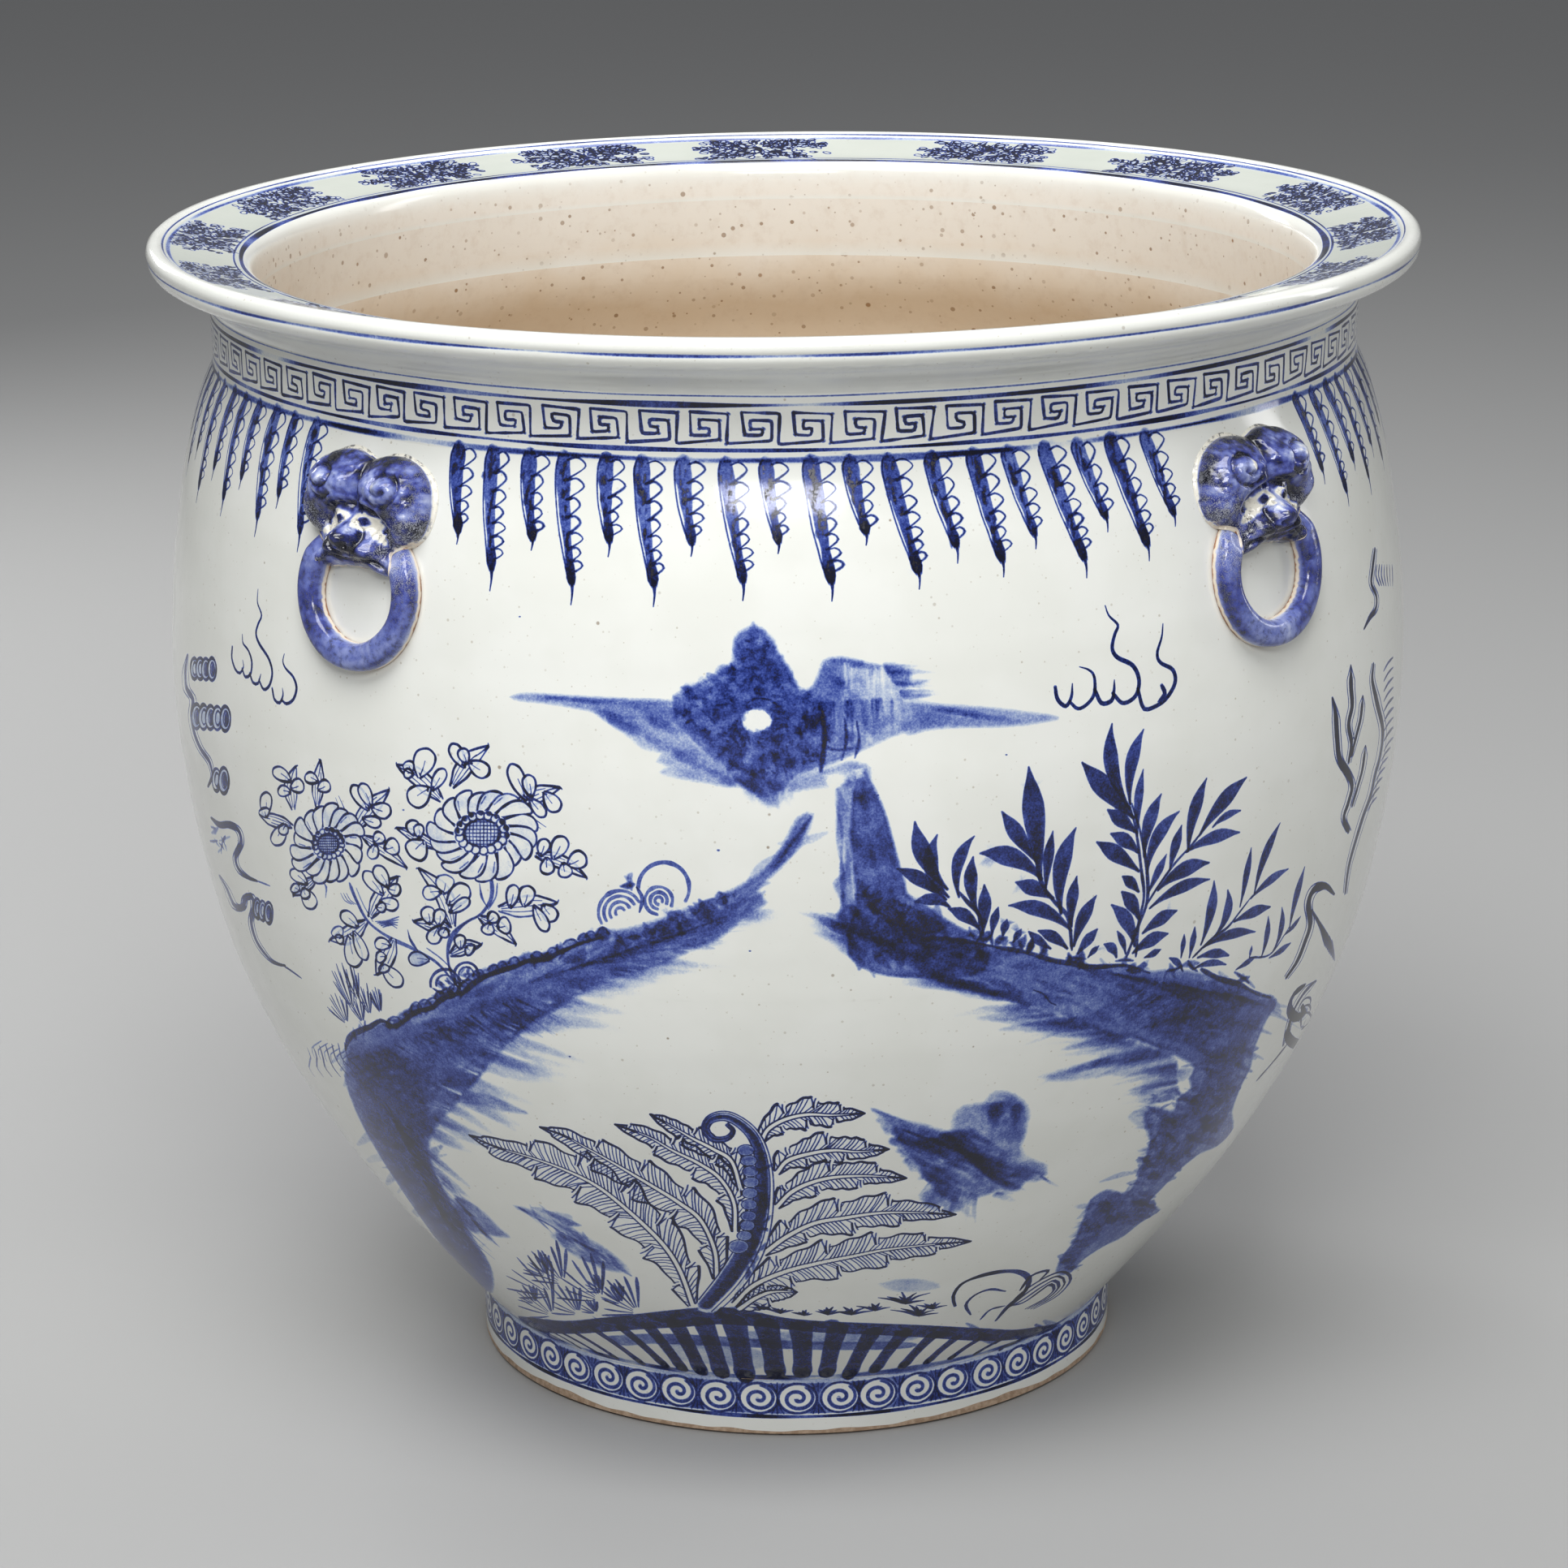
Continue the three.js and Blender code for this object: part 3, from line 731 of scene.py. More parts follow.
def leaf(C, base, mid, tip, w, d=0.72, dark=0.3, pool=0.25, wide=0.62, tail=0.86, to=px):
    """Willow leaf: thin foot, widest past the middle, drawn out to a point. w is the full width on the sheet."""
    b, m, t = (C([q])[0] for q in (base, mid, tip))
    if to is px:
        n = max(7, int(np.hypot(*(t - b)) / 5.0))
    else:
        n = 12
    s = np.linspace(0, 1, n)
    # quadratic through base, mid (at its share of the length) and tip
    lm = np.hypot(*(m - b)) / (np.hypot(*(m - b)) + np.hypot(*(t - m)) + 1e-9)
    lm = min(max(lm, 0.25), 0.8)
    c = (m - (1 - lm) ** 2 * b - lm ** 2 * t) / (2 * lm * (1 - lm))
    P = ((1 - s) ** 2)[:, None] * b + (2 * s * (1 - s))[:, None] * c + (s ** 2)[:, None] * t
    W = (w / C.s * MPX / 2 if to is px else w / 2) * 1.22
    pr = np.interp(s, [0, 0.12, 0.3, wide - 0.10, wide + 0.04, 0.80, 0.90, 1.0], [0.16, 0.28, 0.62, 0.97, 1.0, 0.70, 0.34, 0.06])
    pr = np.convolve(np.pad(pr, 1, mode="edge"), [0.2, 0.6, 0.2], "valid")
    tu = to(P)
    add(tu, np.maximum(W * pr, 0.22), d * (1.08 + 0.06 * rng.normal(0, 1, n)), 0.5, 0.0)
    k = max(3, int(n * 0.62))
    add(tu[:k], np.maximum(W * pr[:k] * 0.55, 0.12), np.linspace(dark + 0.42, dark * 0.7, k), 0.9, max(pool, 0.6))


def sheetline(C, pts, w, d, soft=0.35, a=0.1, b=0.2, lo=0.5, pool=0.0, kind="ink", to=px, step=None, wv=0.12):
    """A brush line on a sheet; w is the full width in picture units."""
    brush(C(pts), w * MPX / 2, d, to, a, b, lo, soft, pool, step or (5.0 if to is px else 2.0), kind=kind, wv=wv)


def streaks(C, a, b, direction, lmin, lmax, n, w, d, seed=0, spread=0.12, soft=1.0, pool=0.0, to=px, fade=True, kind="ink"):
    """Dry-brush hairs leaving the run a..b on a sheet, all in about one direction (radians on the sheet, y down)."""
    g = np.random.default_rng(seed)
    A, B = np.asarray(a, float), np.asarray(b, float)
    for i in range(n):
        p = A + (B - A) * g.random() if len(A.shape) == 1 else A
        an = direction + g.normal(0, spread)
        L = lmin + (lmax - lmin) * g.random() ** 1.3
        q = np.array([p, p + L * 0.5 * np.array([math.cos(an), math.sin(an)]), p + L * np.array([math.cos(an + g.normal(0, 0.05)), math.sin(an + g.normal(0, 0.05))])])
        tu = to(smooth(C(q), step=9.0 if to is px else 3.0))
        m = len(tu)
        if m < 3:
            continue
        ww = (w * (0.6 + 1.5 * g.random() ** 1.5)) * MPX / 2 * np.interp(np.linspace(0, 1, m), [0, 0.15, 0.7, 1], [0.8, 1, 0.8, 0.3])
        dd = d * (0.35 + 0.75 * g.random()) * (np.linspace(1, 0.25, m) if fade else 1.0)
        add(tu, np.maximum(ww, 0.15), dd * np.ones(m), soft, pool, kind)


def blotches(C, poly, n, w, d, seed=0, pool=0.3, to=px, stretch=1.8, ang=None):
    """Darker patches dabbed inside an outline."""
    g = np.random.default_rng(seed)
    P = np.asarray(poly, float)
    lo, hi = P.min(0), P.max(0)
    made = 0
    for _ in range(n * 12):
        if made >= n:
            break
        q = lo + (hi - lo) * g.random(2)
        ins = False
        for i in range(len(P)):
            x0, y0 = P[i]
            x1, y1 = P[(i + 1) % len(P)]
            if (y0 > q[1]) != (y1 > q[1]) and q[0] < x0 + (q[1] - y0) * (x1 - x0) / (y1 - y0 + 1e-9):
                ins = not ins
        if not ins:
            continue
        made += 1
        an = (g.uniform(0, math.pi) if ang is None else ang + g.normal(0, 0.25))
        L = w * stretch * (0.5 + g.random())
        e = np.array([math.cos(an), math.sin(an)]) * L / 2
        tu = to(smooth(C(np.array([q - e, q + g.normal(0, w * 0.15, 2), q + e])), step=6.0 if to is px else 2.5))
        m = len(tu)
        if m < 3:
            continue
        ww = w * (0.4 + 0.9 * g.random()) / C.s * MPX / 2 if to is px else w * (0.4 + 0.9 * g.random()) / 2
        add(tu, np.maximum(ww * np.sin(np.linspace(0.25, math.pi - 0.25, m)), 0.2), d * (0.4 + 0.8 * g.random()), 1.1, pool * g.random())


Z4, Z5, Z6, Z7 = at(310, 900, 3.4), at(620, 760, 2.1), at(570, 1340, 2.4), at(1030, 1120, 2.4)
C32, C33, PP = at(1180, 930, 6.273), at(1380, 860, 4.9), at(0, 0, 1.0)


def sky_rock():
    # pale fans first
    area(Z5([(235, 246), (330, 258), (440, 280), (505, 340), (565, 385), (600, 440), (520, 428), (440, 415), (405, 402), (430, 388),
             (398, 375), (412, 352), (365, 342), (325, 312), (285, 282)]), 0.20, 2.2, noise=0.35)
    streaks(Z5, (250, 250), (590, 430), 0.35, 40, 110, 26, 9.0, 0.16, 41, 0.12, 2.0)
    streaks(Z5, (240, 248), (430, 270), 0.45, 50, 120, 16, 9.0, 0.16, 42, 0.10, 2.0)
    # wings
    area(Z5([(18, 208), (60, 199), (140, 203), (230, 209), (330, 214), (445, 222), (445, 275), (380, 266), (300, 258), (230, 245), (170, 232), (100, 222), (45, 216)]), 0.28, 2.0, noise=0.2)
    area(Z5([(190, 212), (330, 216), (440, 226), (440, 262), (340, 250), (250, 236)]), 0.24, 4.0, noise=0.3)
    streaks(Z5, (90, 208), (300, 225), 0.08, 60, 160, 14, 4.0, 0.16, 43, 0.05, 1.0)
    area(Z5([(1030, 220), (1120, 227), (1230, 234), (1330, 244), (1435, 261), (1370, 275), (1280, 284), (1180, 286), (1100, 292), (1050, 305), (1030, 280)]), 0.28, 2.0, noise=0.2)
    area(Z5([(1030, 222), (1150, 232), (1150, 270), (1060, 296), (1030, 290)]), 0.20, 4.0, noise=0.3)
    streaks(Z5, (1080, 232), (1240, 262), 0.08, 60, 190, 14, 4.0, 0.14, 44, 0.05, 1.0)
    body = [(440, 205), (475, 188), (520, 165), (562, 142), (590, 125), (597, 90), (600, 52), (632, 30), (668, 30), (692, 62), (716, 100),
            (742, 142), (768, 186), (800, 182), (816, 150), (830, 115), (862, 105), (905, 110), (952, 122), (1000, 132), (1050, 142), (1052, 168), (1038, 200),
            (1040, 235), (1055, 272), (1040, 295), (1000, 312), (950, 335), (900, 358), (840, 384), (780, 402), (745, 420), (728, 446), (700, 458),
            (672, 462), (642, 452), (618, 436), (600, 420), (572, 392), (524, 352), (482, 312), (452, 286), (440, 260)]
    area(Z5(body), 0.40, 2.2, noise=0.30, scale=7.0, edge=0.03)
    core = [(455, 225), (560, 160), (600, 120), (612, 60), (680, 50), (712, 110), (760, 200), (830, 215), (850, 260), (840, 330), (790, 385), (740, 400), (690, 425),
            (640, 415), (590, 385), (520, 330), (465, 280)]
    area(Z5(core), 0.34, 5.0, noise=0.7, scale=5.0, pool=0.5)
    blotches(Z5, core, 110, 17, 0.44, 45, 0.95, stretch=1.5)
    blotches(Z5, body, 44, 24, 0.26, 46, 0.5)
    area(Z5([(870, 112), (960, 126), (1048, 145), (1050, 290), (970, 322), (890, 345), (880, 250)]), 0.34, 5.0, noise=0.8, scale=6.0, kind="erase")
    # upright brush marks and pale scratches over the right half
    streaks(Z5, (800, 225), (1010, 215), 1.56, 40, 120, 30, 5.0, 0.32, 54, 0.05, 0.9)
    streaks(Z5, (880, 120), (1045, 140), 1.52, 60, 170, 18, 2.4, 0.55, 55, 0.04, 0.5, kind="erase")
    sheetline(Z5, [(826, 246), (832, 300), (828, 350), (822, 400)], 6.5, 0.85, soft=1.1, pool=1.0, wv=0.4)
    sheetline(Z5, [(884, 262), (888, 320), (876, 372)], 4.2, 0.62, soft=0.9, pool=0.9, wv=0.4)
    sheetline(Z5, [(915, 272), (921, 320), (910, 366)], 3.6, 0.6, soft=0.8, pool=0.9, wv=0.4)
    sheetline(Z5, [(820, 330), (860, 345), (905, 340)], 3.4, 0.5, soft=0.9, pool=0.8, wv=0.4)
    blotches(Z5, core, 70, 8, 0.60, 451, 1.0, stretch=1.5)
    blotches(Z5, [(760, 240), (860, 250), (850, 330), (800, 390), (720, 430), (690, 390), (740, 330)], 34, 12, 0.5, 452, 1.0, ang=1.4, stretch=2.0)
    # feathered rims
    streaks(Z5, (470, 196), (600, 130), -2.4, 10, 30, 30, 7.0, 0.18, 47, 0.35, 1.4)
    streaks(Z5, (604, 70), (680, 36), -2.0, 8, 24, 14, 6.0, 0.2, 48, 0.4, 1.4)
    streaks(Z5, (690, 60), (755, 180), -0.6, 6, 18, 22, 5.0, 0.2, 49, 0.4, 1.2)
    streaks(Z5, (985, 120), (1042, 215), 0.03, 40, 120, 30, 5.0, 0.24, 50, 0.04, 1.0)
    streaks(Z5, (850, 116), (1000, 140), -1.7, 8, 24, 16, 5.0, 0.2, 51, 0.3, 1.2)
    streaks(Z5, (618, 425), (740, 440), 1.35, 20, 70, 30, 9.0, 0.20, 52, 0.25, 2.0)
    streaks(Z5, (600, 415), (690, 470), 0.7, 20, 70, 16, 8.0, 0.18, 53, 0.2, 2.0)
    area(Z5([(742, 412), (830, 396), (900, 376), (948, 392), (935, 436), (868, 438), (800, 444), (740, 452)]), 0.22, 2.4, noise=0.5)
    # eye of the rock, left white
    e = np.linspace(0, TAU, 15)[:-1]
    hole = [(655 + 39 * math.cos(a) * (1 + 0.07 * math.sin(3 * a + 1)), 268 + 31 * math.sin(a) * (1 + 0.06 * math.sin(4 * a))) for a in e]
    area(Z5(hole), 0.97, 0.8, noise=0.0, kind="erase")
    sheetline(Z5, [(632, 222), (655, 212), (690, 216), (712, 232)], 3.0, 0.55, pool=0.6)
    sheetline(Z5, [(700, 300), (690, 312), (660, 318)], 3.0, 0.35)
    area(Z5([(830, 410), (880, 405), (885, 428), (858, 446), (838, 436)]), 0.85, 0.9, noise=0.0, kind="erase")
    area(Z5([(908, 396), (930, 392), (934, 412), (915, 420)]), 0.85, 0.9, noise=0.0, kind="erase")


def cliffs():
    # the pale foot of the wedge, then the wedge
    area(Z5([(862, 436), (905, 430), (908, 560), (902, 640), (908, 760), (890, 760), (868, 722), (856, 690), (880, 660), (884, 600), (870, 540), (862, 480)]), 0.30, 2.0, noise=0.5)
    streaks(Z5, (865, 440), (880, 720), 1.5, 50, 130, 20, 4.0, 0.25, 61, 0.15)
    wedge = [(912, 400), (938, 398), (965, 452), (988, 505), (1004, 560), (1022, 628), (1040, 688), (1046, 716), (1092, 744), (1142, 780), (1186, 806), (1235, 832), (1260, 882),
             (1210, 930), (1000, 930), (905, 890), (890, 850), (893, 800), (912, 740), (905, 650), (900, 560), (904, 470)]
    area(Z5(wedge), 0.52, 1.6, noise=0.35, scale=7.0, edge=0.08)
    blotches(Z5, wedge, 40, 24, 0.36, 62, 0.5, ang=1.3)
    area(Z5([(925, 420), (948, 430), (990, 540), (1020, 660), (1010, 720), (950, 700), (915, 620), (912, 500)]), 0.22, 4.0, noise=0.6, pool=0.3)
    iron = [(925, 700), (975, 722), (1040, 738), (1100, 772), (1146, 802), (1100, 826), (1040, 818), (985, 786), (938, 752)]
    area(Z5(iron), 0.50, 3.0, noise=0.5, pool=1.0)
    blotches(Z5, iron, 26, 18, 0.6, 63, 1.0)
    # left bank: one long wet stroke rising to the gap
    bank = [(430, 1292), (435, 1277), (452, 1271), (470, 1260), (488, 1262), (505, 1251), (529, 1242), (544, 1230), (564, 1227), (579, 1218), (596, 1201),
            (623, 1189), (646, 1183), (690, 1172), (712, 1158), (742, 1147), (765, 1146), (790, 1140), (822, 1130), (850, 1118), (880, 1108), (912, 1092),
            (945, 1068), (966, 1040), (984, 1008), (1001, 1004), (992, 1030), (972, 1058), (950, 1080), (934, 1098), (944, 1112), (920, 1128), (886, 1156), (850, 1172),
            (810, 1190), (770, 1202), (728, 1218), (690, 1240), (655, 1262), (622, 1290), (600, 1316), (580, 1340), (560, 1362), (540, 1385), (528, 1412), (536, 1445),
            (556, 1482), (580, 1520), (604, 1560), (606, 1592), (588, 1588), (552, 1546), (512, 1492), (474, 1434), (446, 1384), (426, 1332)]
    area(PP(bank), 0.40, 2.4, noise=0.22, scale=10.0, edge=0.05)
    area(PP([(440, 1296), (500, 1270), (560, 1248), (620, 1215), (700, 1190), (780, 1168), (850, 1142), (900, 1122), (900, 1138), (820, 1168), (740, 1195), (670, 1225), (610, 1270), (560, 1320),
             (530, 1370), (520, 1410), (560, 1490), (596, 1560), (560, 1545), (500, 1460), (450, 1370)]), 0.24, 6.0, noise=0.5, scale=8.0, pool=0.3)
    blotches(PP, bank, 130, 13, 0.20, 64, 0.6, ang=-0.45, stretch=3.4)
    area(PP([(430, 1294), (480, 1292), (520, 1330), (534, 1385), (526, 1412), (552, 1478), (600, 1560), (588, 1582), (512, 1488), (446, 1380)]), 0.40, 9.0, noise=0.4, scale=6.0)
    blotches(PP, [(700, 1170), (800, 1142), (900, 1100), (930, 1090), (900, 1120), (830, 1150), (760, 1172), (700, 1186)], 46, 11, 0.5, 65, 0.8)
    streaks(PP, (960, 1060), (1000, 1006), 2.2, 20, 70, 16, 4.0, 0.3, 66, 0.15)
    # the brush dragged out to the right below it, blunt and pale
    for (a, b, L0, L1, n, w, d, an, sd) in (((600, 1266), (700, 1218), 40, 120, 22, 13.0, 0.20, 0.20, 67), ((690, 1216), (820, 1178), 30, 100, 22, 12.0, 0.18, 0.08, 68),
                                           ((550, 1332), (620, 1268), 40, 125, 22, 13.0, 0.20, 0.34, 69), ((526, 1400), (562, 1335), 30, 100, 20, 13.0, 0.22, 0.46, 70),
                                           ((810, 1180), (930, 1122), 16, 60, 18, 10.0, 0.16, -0.10, 71), ((532, 1420), (566, 1500), 16, 62, 18, 11.0, 0.28, 0.72, 72),
                                           ((560, 1500), (600, 1560), 10, 34, 10, 9.0, 0.28, 0.9, 73)):
        streaks(PP, a, b, an, L0, L1, n, w, d, sd, 0.05, 2.6)
    # bare glaze showing between the bristles along the edge
    streaks(PP, (548, 1372), (640, 1262), 3.5, 10, 46, 20, 4.0, 0.55, 661, 0.08, 0.9, kind="erase")
    streaks(PP, (545, 1420), (604, 1560), 3.95, 14, 56, 22, 4.0, 0.60, 662, 0.1, 0.9, kind="erase")
    streaks(PP, (650, 1246), (860, 1168), 3.3, 8, 40, 22, 3.6, 0.45, 663, 0.08, 0.9, kind="erase")
    # darker brush hairs inside the wash, following the stroke
    streaks(PP, (450, 1300), (640, 1230), 0.50, 26, 76, 64, 3.4, 0.46, 74, 0.14, 0.9)
    streaks(PP, (470, 1350), (545, 1500), 0.85, 40, 95, 56, 4.0, 0.60, 75, 0.12, 1.0)
    streaks(PP, (640, 1215), (840, 1150), -0.3, 40, 120, 46, 3.0, 0.40, 76, 0.12, 0.9)
    ridge = [(395, 1335), (410, 1290), (440, 1265), (500, 1240), (545, 1215), (600, 1240), (640, 1215), (690, 1180), (760, 1160), (790, 1130), (850, 1105), (890, 1095),
             (930, 1060), (980, 1030), (1050, 1005), (1100, 990), (1160, 965), (1230, 960), (1290, 930), (1360, 900), (1420, 880), (1470, 868)]
    sheetline(Z4, ridge, 6.4, 0.88, soft=0.6, pool=0.7, a=0.03, b=0.25, wv=0.25)
    for i, (x, y) in enumerate([(430, 1278), (470, 1250), (560, 1226), (600, 1238), (660, 1198), (720, 1168), (800, 1128), (880, 1098), (1180, 962), (1250, 950), (1300, 924)]):
        blotches(Z4, [(x - 20, y - 12), (x + 20, y - 12), (x + 20, y + 14), (x - 20, y + 14)], 3, 22, 0.7, 300 + i, 0.9)
    # scalloped bushes sitting on the ridge
    g = np.random.default_rng(411)
    R_ = smooth(np.array(ridge, float), step=30.0)
    for k, (x, y) in enumerate(R_):
        if x < 560 or g.random() < 0.12:
            continue
        w, h = 24 + 12 * g.random(), 18 + 10 * g.random()
        q = [(x + w * math.cos(a) * (0.85 + 0.3 * g.random()), y - 12 + h * math.sin(a) * (0.85 + 0.3 * g.random())) for a in np.linspace(0, TAU, 9)[:-1]]
        area(Z4(q), 0.26 + 0.22 * g.random(), 1.6, noise=0.5, scale=5.0, edge=0.16, grain=3.0)
        if g.random() < 0.6:
            outline(Z4, [(x - w * 0.9, y - 14), (x - w * 0.4, y - 14 - h * 0.9), (x + w * 0.3, y - 14 - h), (x + w * 0.9, y - 16)], 5.5, 0.66, soft=0.5, pool=0.5)
    # right bank
    bank2 = [(0, 20), (30, -12), (60, 0), (110, 20), (190, 45), (250, 85), (330, 85), (400, 95), (470, 110), (560, 125), (640, 150), (700, 160), (760, 170), (860, 165), (930, 185),
             (1000, 180), (1080, 190), (1170, 215), (1230, 245), (1290, 260), (1300, 285), (1272, 330), (1242, 400), (1230, 440), (1225, 470), (1200, 520), (1172, 600), (1175, 650),
             (1130, 700), (1080, 722), (1020, 770), (962, 830), (930, 868), (960, 890), (900, 930), (850, 970), (790, 1000), (730, 1040), (690, 1080), (652, 1076), (670, 1030),
             (700, 990), (720, 950), (738, 900), (752, 862), (800, 832), (860, 840), (890, 800), (912, 740), (930, 690), (915, 640), (912, 602), (950, 585), (1000, 600), (1010, 560),
             (1050, 530), (1045, 500), (1060, 470), (1020, 440), (940, 408), (880, 386), (800, 372), (740, 345), (650, 306), (560, 284), (480, 262), (400, 244), (320, 218), (250, 186),
             (180, 152), (100, 104), (40, 66)]
    area(Z7(bank2), 0.46, 2.4, noise=0.22, scale=10.0, edge=0.05)
    area(Z7([(900, 200), (1050, 215), (1200, 260), (1270, 290), (1220, 400), (1170, 560), (1130, 660), (1040, 720), (960, 800), (900, 900), (760, 990), (700, 1050), (700, 1000), (780, 870),
             (900, 860), (960, 720), (960, 620), (1060, 560), (1090, 450), (980, 380), (860, 330), (840, 250)]), 0.36, 5.0, noise=0.5, scale=7.0, pool=0.25)
    blotches(Z7, bank2[:24] + bank2[44:], 130, 26, 0.28, 81, 0.6, ang=0.22, stretch=3.4)
    blotches(Z7, bank2[22:46], 60, 34, 0.34, 811, 0.5, ang=0.1, stretch=1.1)
    blotches(Z7, [(60, 20), (200, 60), (330, 95), (470, 115), (460, 160), (320, 140), (180, 110), (70, 70)], 40, 24, 0.45, 82, 0.95)
    blotches(Z7, [(940, 560), (1160, 490), (1130, 650), (1000, 770), (900, 880), (770, 970), (730, 960), (900, 780)], 60, 30, 0.40, 83, 0.5, stretch=1.2)
    streaks(Z7, (300, 200), (560, 270), 3.25, 50, 210, 34, 8.0, 0.24, 84, 0.05, 1.8)
    streaks(Z7, (60, 60), (330, 180), 3.35, 30, 150, 30, 8.0, 0.22, 85, 0.06, 1.8)
    streaks(Z7, (560, 285), (820, 372), 3.05, 60, 240, 40, 8.0, 0.25, 86, 0.05, 1.8)
    streaks(Z7, (820, 375), (1010, 440), 2.95, 60, 230, 34, 8.0, 0.25, 87, 0.05, 1.8)
    streaks(Z7, (700, 170), (1200, 260), 0.35, 60, 200, 60, 3.0, 0.38, 88, 0.15, 0.9)
    streaks(Z7, (900, 240), (1200, 330), 2.5, 60, 200, 60, 3.0, 0.36, 89, 0.2, 0.9)
    area(Z7([(600, 498), (660, 480), (760, 450), (860, 425), (960, 412), (1000, 440), (940, 455), (860, 478), (760, 498), (680, 508)]), 0.16, 3.4, noise=0.6)
    streaks(Z7, (780, 450), (990, 430), 2.88, 60, 200, 20, 8.0, 0.24, 90, 0.05, 2.0)
    area(Z7([(872, 535), (920, 500), (990, 480), (1060, 470), (1040, 500), (960, 530), (900, 552)]), 0.20, 3.4, noise=0.6)
    streaks(Z7, (1000, 440), (1010, 560), 2.95, 60, 190, 24, 7.0, 0.26, 901, 0.08, 1.6)
    streaks(Z7, (940, 560), (930, 760), 2.9, 16, 60, 30, 6.0, 0.30, 902, 0.25, 1.6)
    streaks(Z7, (760, 860), (680, 1060), 2.6, 14, 50, 24, 6.0, 0.30, 903, 0.3, 1.6)
    area(Z7([(862, 618), (880, 600), (925, 600), (930, 640), (900, 645)]), 0.14, 2.4, noise=0.4)
    streaks(Z5, (880, 790), (930, 880), 3.5, 40, 130, 28, 8.0, 0.24, 91, 0.06, 2.0)
    sheetline(Z7, [(250, 88), (330, 88), (400, 98), (470, 112), (560, 128), (640, 152), (700, 162), (760, 172), (860, 168), (930, 190)], 5.5, 0.75, soft=0.7, pool=0.9, wv=0.3)
    sheetline(Z7, [(1080, 178), (1130, 205), (1190, 222), (1240, 248), (1285, 262)], 5.0, 0.75, soft=0.7, pool=0.9, wv=0.3)
    sheetline(Z7, [(585, 240), (615, 252), (632, 275), (652, 285)], 2.4, 0.75, pool=0.6)
    # rock in the water, and the smaller ones
    rock = [(105, 590), (180, 620), (260, 640), (338, 658), (350, 612), (380, 586), (440, 574), (460, 550), (490, 540), (540, 560), (570, 600), (560, 660), (545, 708), (580, 744),
            (622, 762), (610, 800), (560, 806), (540, 830), (490, 832), (450, 842), (400, 862), (360, 892), (322, 896), (262, 872), (250, 842), (280, 820), (262, 780), (230, 742),
            (190, 702), (175, 660), (150, 632)]
    area(Z7(rock), 0.34, 3.2, noise=0.5, scale=7.0)
    streaks(Z7, (150, 622), (300, 840), 0.50, 60, 170, 40, 7.0, 0.24, 99, 0.10, 2.2, fade=False)
    streaks(Z7, (300, 660), (470, 800), 0.45, 40, 120, 34, 7.0, 0.26, 100, 0.12, 2.2, fade=False)
    streaks(Z7, (230, 690), (400, 650), 0.50, 60, 160, 40, 7.0, 0.24, 102, 0.10, 2.0, fade=False)
    streaks(Z7, (280, 770), (420, 720), 0.40, 40, 120, 30, 6.0, 0.24, 103, 0.14, 1.8, fade=False)
    streaks(Z7, (110, 600), (250, 800), 0.35, 8, 50, 20, 7.0, 0.24, 104, 0.2, 1.8)
    streaks(Z7, (560, 750), (470, 850), 0.3, 10, 60, 20, 7.0, 0.24, 105, 0.2, 1.8)
    streaks(Z7, (430, 580), (540, 590), 1.7, 40, 130, 20, 11.0, 0.30, 101, 0.15, 2.2)
    area(Z7([(185, 630), (260, 648), (350, 680), (440, 720), (540, 760), (590, 790), (540, 800), (440, 770), (340, 740), (240, 700)]), 0.38, 3.0, noise=0.5)
    area(Z7([(470, 570), (520, 570), (550, 610), (520, 660), (470, 650), (450, 600)]), 0.25, 3.0, noise=0.5)
    streaks(Z7, (190, 650), (430, 740), 0.42, 60, 190, 40, 4.0, 0.34, 92, 0.12, 1.1)
    streaks(Z7, (110, 595), (190, 625), 0.35, 20, 60, 10, 4.0, 0.22, 93, 0.1)
    streaks(Z7, (280, 800), (420, 850), 2.0, 30, 90, 22, 4.0, 0.25, 94, 0.2)
    streaks(Z7, (560, 760), (620, 800), 0.5, 20, 60, 10, 4.0, 0.25, 95, 0.2)
    area(Z6([(155, 350), (220, 364), (280, 370), (322, 380), (320, 410), (362, 440), (410, 468), (452, 500), (496, 545), (440, 541), (380, 520), (320, 490), (280, 456), (262, 432),
             (290, 424), (240, 392), (180, 366)]), 0.26, 3.4, noise=0.6, scale=6.0)
    blotches(Z6, [(170, 352), (320, 378), (360, 435), (480, 535), (380, 520), (280, 450), (240, 392)], 26, 22, 0.26, 991, 0.4, ang=0.6, stretch=3.0)
    streaks(Z6, (170, 355), (420, 500), 0.62, 40, 120, 24, 4.0, 0.28, 96, 0.12)
    area(Z6([(-20, 320), (20, 340), (62, 368), (112, 418), (138, 442), (60, 432), (0, 420), (-30, 400)]), 0.40, 3.0, noise=0.5)
    streaks(Z6, (-20, 330), (60, 430), 0.72, 30, 90, 26, 5.0, 0.45, 992, 0.12, 1.2)
    area(Z6([(0, 8), (80, 24), (160, 58), (192, 76), (120, 70), (50, 52), (0, 44)]), 0.24, 2.0, noise=0.4)
    area(Z6([(1230, 580), (1300, 566), (1380, 572), (1412, 590), (1340, 604), (1270, 600)]), 0.14, 2.5, noise=0.4)


